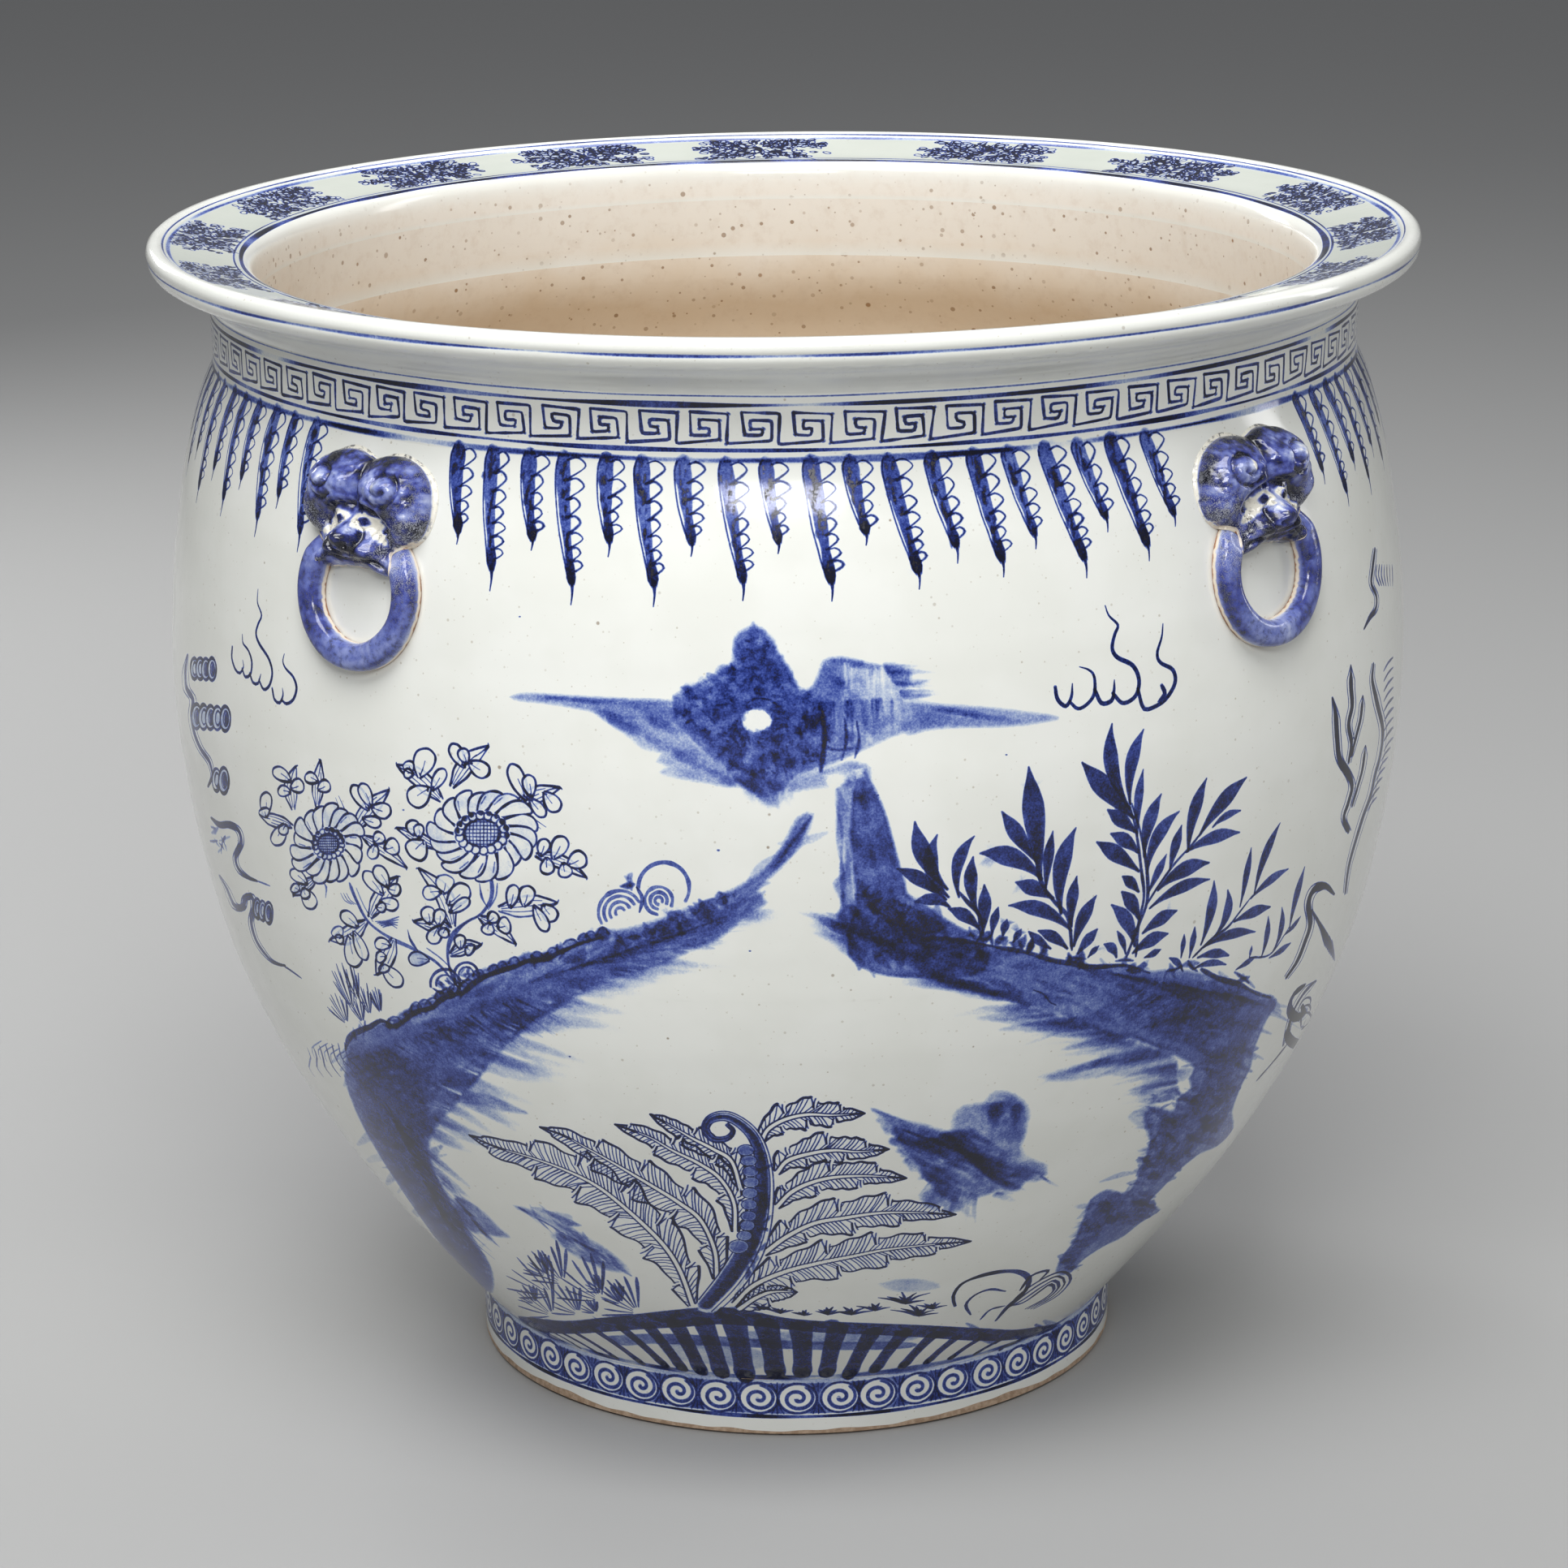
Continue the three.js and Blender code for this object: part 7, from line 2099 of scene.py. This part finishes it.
PIECES = {}
PIECES["foot_ring"] = build_turned("foot_ring_painted", foot_runs, 4, 0.0, U_FOOT, 4.0, 7.0, 146.0, STROKES, GLAZE, bare_runs=(0, 1, 2, 3))
PIECES["lower_bowl"] = build_turned("lower_bowl_painted", low_runs, 3, U_FOOT, U_SEAM, CELL, CELL_IN, 220.0, STROKES, GLAZE, inside_runs=(5,), closed="axis", bare_runs=(0, 1, 2))
PIECES["upper_bowl"] = build_turned("upper_bowl_painted", up_runs, 2, U_SEAM, U_CREASE, CELL, CELL_IN, 268.0, STROKES, GLAZE, inside_runs=(0, 4))
PIECES["neck_collar"] = build_turned("neck_collar_painted", neck_runs, 1, U_CREASE, U_NECK, 5.0, 7.0, 253.0, STROKES, GLAZE, inside_runs=(3,))
PIECES["rim_flange"] = build_turned("rim_flange_painted", rim_runs, 1, U_NECK, U_END, 2.6, 6.0, 262.0, STROKES, GLAZE, throat=float(u_top(236.5)))
for node, ob in PIECES.items():
    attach(ob, "root")
    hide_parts(node)


# ------------------------------------------------------------------ lion masks and their rings
MASK_Z, RING_Z, RING_R, RING_HALF, RING_T, RING_T_TOP = 434.0, 401.0, 26.4, 6.1, 8.0, 4.4
SEATED = 0.06


def on_wall(azr, z0, s, v, h):
    """Points s mm round, v mm up and h mm off the wall from (azimuth, z0)."""
    z = np.minimum(z0 + v, 459.0)
    for _ in range(3):
        zz = np.clip(z, 300, 459.0)
        sl = cubic(_bz, _br, np.clip((zz + z0) / 2, 300, 459.0))[1]
        z = z0 + v / np.sqrt(1 + sl * sl)
    zz = np.clip(z, 300, 460.0)
    r, sl = cubic(_bz, _br, zz)
    k = np.sqrt(1 + sl * sl)
    th = azr + s / r
    r = r + wob(th, zz) + h / k
    return np.stack([r * np.sin(th), -r * np.cos(th), z - h * sl / k], -1) / 1000


def bump(s, v, cs, cv, rs, rv):
    return np.exp(-((s - cs) / rs) ** 2 - ((v - cv) / rv) ** 2)


def groove(s, v, pts, w, closed=False):
    """Closeness, 0..1, to a run of points."""
    p = smooth(np.array(pts, float), n=6)
    d = np.full(np.shape(s), 1e9)
    for a, b in zip(p[:-1], p[1:]):
        e = b - a
        t = np.clip(((s - a[0]) * e[0] + (v - a[1]) * e[1]) / (e @ e + 1e-9), 0, 1)
        d = np.minimum(d, (s - a[0] - t * e[0]) ** 2 + (v - a[1] - t * e[1]) ** 2)
    return np.exp(-d / w ** 2)


_sa = np.linspace(-2.4, 5.6, 17)
SPIRAL = [(16.4 + (7.9 - 0.32 * (k - 1.0)) * math.cos(a), 9.4 + (7.4 - 0.32 * (k - 1.0)) * math.sin(a)) for k, a in enumerate(_sa)]
BROW = [(1.2, 2.2), (4.6, 1.4), (8.6, 1.0), (12.4, -1.4), (15.6, -5.2)]
NOSTRIL = [(3.8, -5.2), (6.4, -8.4), (7.3, -12.4), (6.0, -16.2), (2.8, -17.6), (0.0, -17.4)]
LIP = [(0.0, -20.2), (5.0, -19.8), (10.0, -19.2), (15.0, -20.4), (19.6, -24.0)]
CHEEK = [(16.8, -6.6), (14.2, -10.4), (14.4, -14.0), (17.0, -17.0)]
PART = [(0.2, 20.0), (0.8, 15.0), (0.2, 10.0), (0.0, 4.0)]


def face_relief(s, v, seed):
    q = np.abs(s)
    h = 7.0 + 8.8 * bump(q, v, 17.5, 7.5, 11.0, 10.5) + 5.4 * bump(q, v, 6.2, 9.0, 5.6, 6.6) + 2.4 * bump(q, v, 8.0, 2.6, 5.5, 2.4)
    h += 12.6 * bump(q, v, 0, -11.5, 6.4, 6.6) + 6.2 * bump(q, v, 8.8, -16.4, 6.6, 5.0) + 3.0 * bump(q, v, 27, -4, 6, 6) + 2.0 * bump(q, v, 14.5, -23.0, 5.0, 2.2)
    h += 2.6 * bump(q, v, 16.4, 9.4, 4.6, 4.4) + 2.2 * bump(q, v, 6.2, -4.0, 3.4, 2.6) - 2.6 * bump(q, v, 12.0, -5.4, 4.6, 3.4)
    g = {}
    for nm, p, w, dep in (("spiral", SPIRAL, 0.85, 1.5), ("brow", BROW, 1.25, 2.0), ("nostril", NOSTRIL, 1.0, 2.0), ("lip", LIP, 0.95, 1.8), ("cheek", CHEEK, 1.2, 1.8), ("part", PART, 1.1, 1.8)):
        g[nm] = groove(q, v, p, w)
        h -= dep * g[nm]
    g["hole"] = bump(q, v, 3.4, -14.6, 1.3, 1.0)
    h -= 2.2 * g["hole"]
    an = np.arctan2(v, s)
    R = np.hypot(s, v)
    mane = sstep((R - 22) / 9) * (v > -12)
    g["hair"] = mane * (0.5 + 0.5 * np.cos(an * 34 + 1.8 * np.sin(R * 0.4)))
    h -= 0.35 * g["hair"]
    h += 0.50 * vnoise(s * 0.26 + 9 * seed, v * 0.26, 5) + 0.16 * vnoise(s * 0.8, v * 0.8 + 5 * seed, 6)
    return np.minimum(h, 21.6), g


HALF_OUT = [(0, 20.6), (8, 22.8), (16, 22.6), (24, 19.8), (29.6, 14.2), (32.2, 6.4), (32.6, -1.6), (31.0, -7.0), (26.4, -11.2), (20.8, -13.2), (18.6, -16.4), (20.6, -21.4), (19.4, -25.0),
            (14.0, -25.2), (8.0, -23.6), (0, -22.6)]


def mask_outline(n):
    full = HALF_OUT + [(-x, y) for x, y in HALF_OUT[1:-1][::-1]]
    p = smooth(np.array(full + [full[0]], float), n=14)[:-1]
    a = np.unwrap(np.arctan2(p[:, 1], p[:, 0]))
    r = np.hypot(p[:, 0], p[:, 1])
    if a[-1] < a[0]:
        a, r = a[::-1], r[::-1]
    th = np.linspace(0, TAU, n, endpoint=False)
    aa, rr = np.concatenate([a - TAU, a, a + TAU]), np.concatenate([r, r, r])
    k = np.argsort(aa)
    return th, np.interp(th, aa[k], rr[k])


def ring_top(s, v, grow=0.0):
    """Height of the ring's face over the wall at mask coordinates, 0 off it."""
    x, y = s, v + (MASK_Z - RING_Z)
    R = np.hypot(x, y)
    a = np.arctan2(y, x)
    t = RING_T + (RING_T_TOP - RING_T) * sstep((np.sin(a) - 0.42) / 0.30)
    q = np.abs(R - RING_R) / (RING_HALF + grow)
    return np.where(q < 1, (t + grow) * np.sqrt(np.clip(1 - q ** 2.6, 0, 1)) * 0.9 + 0.4 * t * 0, 0.0)


def V_at(RO, T):
    return RO[None] * np.sin(T)


def lion_mask(name, azd, seed):
    g = np.random.default_rng(900 + seed)
    nt, nr = 240, 62
    th, RO = mask_outline(nt)
    RO = RO * (1 + 0.012 * np.sin(3 * th + g.uniform(0, 6)) + 0.008 * np.sin(7 * th + g.uniform(0, 6)))
    rho = np.concatenate([np.sin(np.linspace(0, math.pi / 2, nr + 1)[1:]) ** 0.86, [1.0, 1.0, 1.0]])
    skirt = np.concatenate([np.zeros(nr), [0.35, 1.0, 2.2]])
    nr += 3
    T, P = np.meshgrid(th, rho)
    SK = np.repeat(skirt[:, None], nt, 1) * (0.8 + 0.35 * np.sin(5 * T + seed) * np.sin(2 * T + 1))
    SK *= 1 - 0.75 * sstep((-V_at(RO, T) - 12) / 5)
    S, V = (RO[None] * P + SK) * np.cos(T), (RO[None] * P + SK) * np.sin(T)
    H, gr = face_relief(S, V, seed)
    gap = RO[None] * (1 - P)
    edge = np.sqrt(np.clip(1 - (1 - np.clip(gap / 7.0, 0, 1)) ** 2, 0, 1))
    top = 1.0 + (H - 1.0) * (0.16 + 0.84 * edge)
    sk = np.where(SK > 0, SK, 0)
    back = ring_top(S, V, 0.25)
    back = np.where(back > 0, back + 0.30, 0.0)
    top = np.maximum(top, back + 0.9 + 0.9 * edge)
    base = top[nr - 4]
    for j_, f_ in ((nr - 3, 0.42), (nr - 2, 0.13), (nr - 1, 0.0)):
        top[j_] = back[j_] + 0.02 + (base - back[nr - 4]) * f_
        gap[j_] = 0
    c0, cg = face_relief(np.zeros((1, 1)), np.zeros((1, 1)), seed)
    azr = math.radians(azd)
    pt = on_wall(azr, MASK_Z, S.ravel(), V.ravel(), (SEATED + top).ravel())
    pb = on_wall(azr, MASK_Z, S.ravel(), V.ravel(), (SEATED + back).ravel())
    cen = on_wall(azr, MASK_Z, np.zeros(2), np.zeros(2), np.array([SEATED + c0[0, 0], SEATED]))
    pos = np.vstack([pt, pb, cen])
    NT = nt * nr
    tri = []
    j = np.arange(nt)
    j2 = (j + 1) % nt
    for i in range(nr - 1):
        a, b = i * nt + j, i * nt + j2
        c, d = (i + 1) * nt + j, (i + 1) * nt + j2
        tri += [np.stack([a, c, d], 1), np.stack([a, d, b], 1), np.stack([NT + a, NT + d, NT + c], 1), np.stack([NT + a, NT + b, NT + d], 1)]
    tri += [np.stack([np.full(nt, 2 * NT), j, j2], 1), np.stack([np.full(nt, 2 * NT + 1), NT + j2, NT + j], 1)]
    e = (nr - 1) * nt
    tri += [np.stack([e + j, NT + e + j, NT + e + j2], 1), np.stack([e + j, NT + e + j2, e + j2], 1)]
    tri = np.vstack(tri)
    # paint
    q = np.abs(S)
    n1 = vnoise(S * 0.22 + 3 * seed, V * 0.22 + 7, 7)
    n2 = vnoise(S * 0.75 + 11, V * 0.75 + 2 * seed, 8)
    ink = 0.62 + 0.34 * n1 + 0.16 * n2
    dark = np.max([gr["spiral"], gr["brow"] * 0.9, gr["nostril"], gr["lip"] * 0.9, gr["part"] * 0.5, gr["hair"] * 0.35, gr["cheek"] * 0.8, gr["hole"]], axis=0)
    ink = ink + 0.34 * dark
    ink += 0.16 * bump(q, V, 3.2, -14, 5.5, 4.5) + 0.14 * bump(q, V, 10, -17, 6, 4) + 0.18 * bump(q, V, 3.0, 1.0, 3.2, 3.0) + 0.22 * sstep((V - 15) / 6) + 0.14 * bump(q, V, 25, -8, 8, 5)
    # lighter on the tops of the bulges and in spots beside the nose: partly thinner glaze on the high points, partly
    # painted highlight
    thin_glaze_and_highlight = bump(q, V, 14.5, 10.5, 4.6, 4.2) * 0.40 + bump(q, V, 22, 9, 5.5, 6.5) * 0.20 + bump(q, V, 6.2, 11.0, 3.4, 3.6) * 0.26 + bump(q, V, 2.0, -8.0, 2.2, 1.8) * 0.46 + bump(q, V, 27, -1, 4, 5) * 0.16
    thin_glaze_and_highlight += bump(q, V, 6.5, -14.5, 2.0, 1.6) * 0.25
    ink -= thin_glaze_and_highlight
    # bare-white eye patch that runs down towards the cheek, with a blotted pupil
    wx, wy = q + 0.9 * n1 + 0.4 * n2, V + 0.7 * n2
    white = sstep((1.12 - np.hypot((wx - 7.2 - 0.3 * (wy + 5)) / 7.6, (wy + 4.6 + 0.22 * (wx - 7)) / 3.6)) / 0.28)
    white = np.maximum(white, sstep((1.1 - np.hypot((wx - 13.0) / 5.8, (wy + 8.6 + 0.5 * (wx - 12)) / 2.8)) / 0.35))
    white = np.maximum(white, 0.55 * sstep((1.1 - np.hypot((wx - 4.4) / 1.7, (wy + 8.8) / 1.5)) / 0.4))
    ink = ink * (1 - 0.98 * white)
    pupil = sstep((1.15 - np.hypot((wx - 6.0) / 2.3, (wy + 4.4) / 1.9)) / 0.55)
    ink = ink * (1 - pupil) + 0.84 * pupil
    skm = SK > 0.2
    ink = np.where(skm, 0.0, ink)
    pool = np.clip(0.9 * dark + 0.6 * sstep((V - 15) / 6) + 0.6 * bump(q, V, 27, -8, 8, 6) + 0.30 + 0.3 * n1 + 0.35 * pupil, 0, 1)
    bare = (np.clip(1 - gap / 1.1, 0, 1) * 0.7 + np.where(SK > 0.5, 0.2, 0)) * (V < -9)
    bare = bare * (0.6 + 0.45 * vnoise(S * 0.5, V * 0.5, 9))
    frost = np.clip(0.55 * bump(q, V, 26, -6, 8, 8) + 0.40 * bump(q, V, 17, -14, 5, 7) + 0.20 * sstep((np.hypot(S, V) - 24) / 8) + 0.06, 0, 1) * (1 - white)
    col = np.stack([np.clip(ink, 0, 1), pool, np.clip(bare, 0, 1), frost], -1).reshape(-1, 4)
    cb = np.tile([0.0, 0.0, 1.0, 0.0], (NT, 1))
    # keep the side wall glazed to the bottom
    cb[e:] = col[e:] * (1, 1, 1, 0.5)
    col = np.vstack([col, cb, col[:1], [[0, 0, 1, 0]]])
    ob = mesh_from(name, pos, tri, {"paint": col})
    ob.data.materials.append(COBALT_GLAZE)
    return ob


def ring_piece(name, azd, seed):
    g = np.random.default_rng(950 + seed)
    na, nc = 200, 30
    a = np.linspace(0, TAU, na, endpoint=False)
    # section: round face, straight short sides, flat back
    ph = np.linspace(0, math.pi, 23)
    xs = np.sign(np.cos(ph)) * np.abs(np.cos(ph)) ** 0.62
    hs = np.abs(np.sin(ph)) ** 0.72
    sec = [(x, h * 0.90 + 0.10) for x, h in zip(xs, hs)]
    sec = [(0.93, 0.0), (0.995, 0.05)] + sec + [(-0.995, 0.05), (-0.93, 0.0), (-0.45, 0.0), (0.0, 0.0), (0.45, 0.0)]
    nc = len(sec)
    pos, col = [], []
    lump = 1 + 0.03 * np.sin(3 * a + g.uniform(0, 6)) + 0.02 * np.sin(7 * a + g.uniform(0, 6))
    for i, (x, h) in enumerate(sec):
        t = RING_T + (RING_T_TOP - RING_T) * sstep((np.sin(a) - 0.42) / 0.30)
        t = t * (0.97 + 0.03 * lump)
        R = RING_R + x * RING_HALF * (0.97 + 0.03 * np.sin(5 * a + seed)) + 0.25 * np.sin(2 * a + seed)
        pos.append(on_wall(math.radians(azd), RING_Z, R * np.cos(a), R * np.sin(a), SEATED + h * t))
        n1 = vnoise(a * 5 + seed * 3, np.full(na, x * 1.3 + 5), 10)
        n2 = vnoise(a * 16 + seed * 5, np.full(na, x * 3 + 5), 11)
        side = sstep((abs(x) - 0.86) / 0.14) * (1 - sstep((h - 0.30) / 0.35))
        ink = 0.62 + 0.10 * n1 + 0.07 * n2 + 0.12 * np.sin(a * 2 + 0.8 + seed) - 0.42 * side * (0.8 + 0.2 * n2) - 0.10 * sstep((h - 0.85) / 0.15)
        # the wash thins where the band leaves the mask on its outer side
        ink = ink - 0.26 * np.exp(-((np.angle(np.exp(1j * (a - (0.62 if seed % 2 == 0 else math.pi - 0.62))))) / 0.32) ** 2)
        pool = np.clip(0.35 + 0.5 * n2 + 0.3 * sstep((abs(x) - 0.5) / 0.4) * (1 - side), 0, 1)
        bare = np.full(na, float(np.interp(h, [0, 0.06, 0.11, 0.24, 0.40, 0.5], [1.0, 0.95, 0.74, 0.42, 0.30, 0.0]))) * (0.88 + 0.22 * n2)
        frost = np.clip(0.10 + 0.55 * np.exp(-((np.angle(np.exp(1j * (a - (0.55 if seed % 2 == 0 else math.pi - 0.55))))) / 0.4) ** 2), 0, 1)
        col.append(np.stack([np.clip(ink, 0, 1), pool, np.clip(bare, 0, 1), frost], 1))
    pos, col = np.vstack(pos), np.vstack(col)
    tri = []
    j = np.arange(na)
    j2 = (j + 1) % na
    for i in range(nc):
        k = (i + 1) % nc
        A, B, C, D = i * na + j, i * na + j2, k * na + j, k * na + j2
        tri += [np.stack([A, B, D], 1), np.stack([A, D, C], 1)]
    ob = mesh_from(name, pos, np.vstack(tri), {"paint": col})
    ob.data.materials.append(COBALT_GLAZE)
    return ob


def cobalt_material():
    T = Tree("cobalt_glaze")
    co = T.node("ShaderNodeTexCoord").outputs["Object"]
    at = T.node("ShaderNodeAttribute", {"attribute_name": "paint", "attribute_type": "GEOMETRY"})
    sc = T.node("ShaderNodeSeparateColor", Color=at.outputs["Color"])
    ink, pool, bare, frost = sc.outputs[0], sc.outputs[1], sc.outputs[2], at.outputs["Alpha"]
    n0 = T.noise(co, 95.0, 4.0, 0.6)
    n1 = T.noise(co, 420.0, 3.0, 0.6)
    n2 = T.noise(co, 2100.0, 2.0, 0.6)
    v = T.math("ADD", ink, T.math("MULTIPLY", T.math("SUBTRACT", n0, 0.5), T.math("MULTIPLY", T.math("MULTIPLY", ink, 1.0), 0.95)))
    v = T.math("ADD", v, T.math("MULTIPLY", T.math("SUBTRACT", n1, 0.5), T.math("MULTIPLY", ink, 0.55)))
    v = T.math("ADD", v, T.math("MULTIPLY", T.math("SUBTRACT", n2, 0.5), T.math("MULTIPLY", ink, 0.45)), clamp=True)
    col = T.ramp(v, [(0.0, (236, 232, 218)), (0.08, (226, 224, 216)), (0.20, (176, 184, 212)), (0.34, (132, 142, 190)), (0.48, (96, 108, 172)), (0.62, (60, 68, 138)), (0.74, (36, 42, 98)),
                     (0.86, (20, 24, 56)), (1.0, (10, 10, 20))])
    blk = T.math("MULTIPLY", T.range(T.math("ADD", n1, T.math("MULTIPLY", n2, 0.4)), 0.70, 0.84), pool)
    col = T.mix(T.math("MULTIPLY", blk, 0.9), col, lin((22, 20, 24)))
    fr = T.math("MULTIPLY", T.range(T.math("ADD", n2, T.math("MULTIPLY", n1, 0.5)), 0.72, 0.86), frost)
    col = T.mix(T.math("MULTIPLY", fr, 0.7), col, lin((214, 218, 236)))
    b1 = T.range(T.math("ADD", bare, T.math("MULTIPLY", T.math("SUBTRACT", n1, 0.5), 0.3)), 0.25, 0.45)
    b2 = T.range(T.math("ADD", bare, T.math("MULTIPLY", T.math("SUBTRACT", n1, 0.5), 0.3)), 0.62, 0.80)
    col = T.mix(b1, col, lin((226, 214, 196)))
    col = T.mix(b2, col, lin((158, 112, 82)))
    rough = T.math("ADD", T.math("MULTIPLY", blk, 0.25), 0.09)
    rough = T.math("ADD", rough, T.math("MULTIPLY", fr, 0.2))
    rough = T.mixf(b2, rough, 0.7)
    hgt = T.math("ADD", T.math("MULTIPLY", n0, 0.7), T.math("MULTIPLY", n1, 0.35))
    bp = T.node("ShaderNodeBump", Strength=0.22, Distance=0.0008, Height=hgt)
    p = T.node("ShaderNodeBsdfPrincipled", Base_Color=col, Roughness=rough, Normal=bp.outputs[0])
    p.inputs["IOR"].default_value = 1.52
    p.inputs["Specular IOR Level"].default_value = 0.5
    T.t.links.new(p.outputs[0], T.out.inputs[0])
    return T.mat


COBALT_GLAZE = cobalt_material()
for k, (nm, azd) in enumerate(zip(("front_left", "front_right", "back_right", "back_left"), MASK_AZ)):
    m = lion_mask("lion_mask_%s_glazed" % nm, azd, k)
    r = ring_piece("ring_%s_glazed" % nm, azd, k)
    for ob, node in ((m, "lion_mask_" + nm), (r, "ring_" + nm)):
        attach(ob, "root")
        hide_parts(node)


# ------------------------------------------------------------------ floor, light and camera
def flat(name, size, z, colour, rough):
    me = bpy.data.meshes.new(name)
    s = size / 2
    me.from_pydata([(-s, -s, z), (s, -s, z), (s, s, z), (-s, s, z)], [], [(0, 1, 2, 3)])
    ob = bpy.data.objects.new(name, me)
    bpy.context.scene.collection.objects.link(ob)
    m = bpy.data.materials.new(name)
    m.use_nodes = True
    b = m.node_tree.nodes["Principled BSDF"]
    b.inputs["Base Color"].default_value = colour
    b.inputs["Roughness"].default_value = rough
    me.materials.append(m)
    return ob


floor = flat("floor", 30.0, 0.0, (0.36, 0.36, 0.355, 1), 0.9)

world = bpy.data.worlds.new("studio")
world.use_nodes = True
world.node_tree.nodes["Background"].inputs[0].default_value = (0.93, 0.95, 1.0, 1)
world.node_tree.nodes["Background"].inputs[1].default_value = 0.22
bpy.context.scene.world = world


def softbox(name, loc, aim, sx, sy, power, colour=(1, 1, 1)):
    L = bpy.data.lights.new(name, "AREA")
    L.shape = "RECTANGLE"
    L.size, L.size_y = sx, sy
    L.energy = power
    L.color = colour
    ob = bpy.data.objects.new(name, L)
    ob.location = loc
    ob.rotation_mode = "QUATERNION"
    ob.rotation_quaternion = (Vector(aim) - Vector(loc)).to_track_quat("-Z", "Y")
    bpy.context.scene.collection.objects.link(ob)
    return ob


softbox("key_left_rear", (-0.98, 1.55, 1.45), (0, 0, 0.45), 0.42, 1.5, 20)
softbox("front_small", (-0.05, -2.35, 1.62), (0, 0, 0.3), 0.9, 0.45, 20)
softbox("front_top", (-0.35, -1.6, 3.1), (0, 0, 0.25), 2.2, 1.8, 108)
softbox("right_fill", (2.3, 0.55, 1.1), (0, 0, 0.3), 0.35, 1.7, 9)
softbox("top_back", (0.2, 1.5, 2.4), (0, 0, 0.45), 1.8, 0.8, 13)

cam_data = bpy.data.cameras.new("camera")
cam_data.sensor_width = 36.0
cam_data.lens = 36.0 * FPX / 1932.0
cam_data.clip_start, cam_data.clip_end = 0.05, 60.0
cam = bpy.data.objects.new("camera", cam_data)
bpy.context.scene.collection.objects.link(cam)
M = Matrix.Identity(4)
for i in range(3):
    M[i][0], M[i][1], M[i][2], M[i][3] = RIGHT[i], UP[i], -FWD[i], CAM[i] / 1000
cam.matrix_world = M
bpy.context.scene.camera = cam
bpy.context.scene.view_settings.view_transform = "Standard"
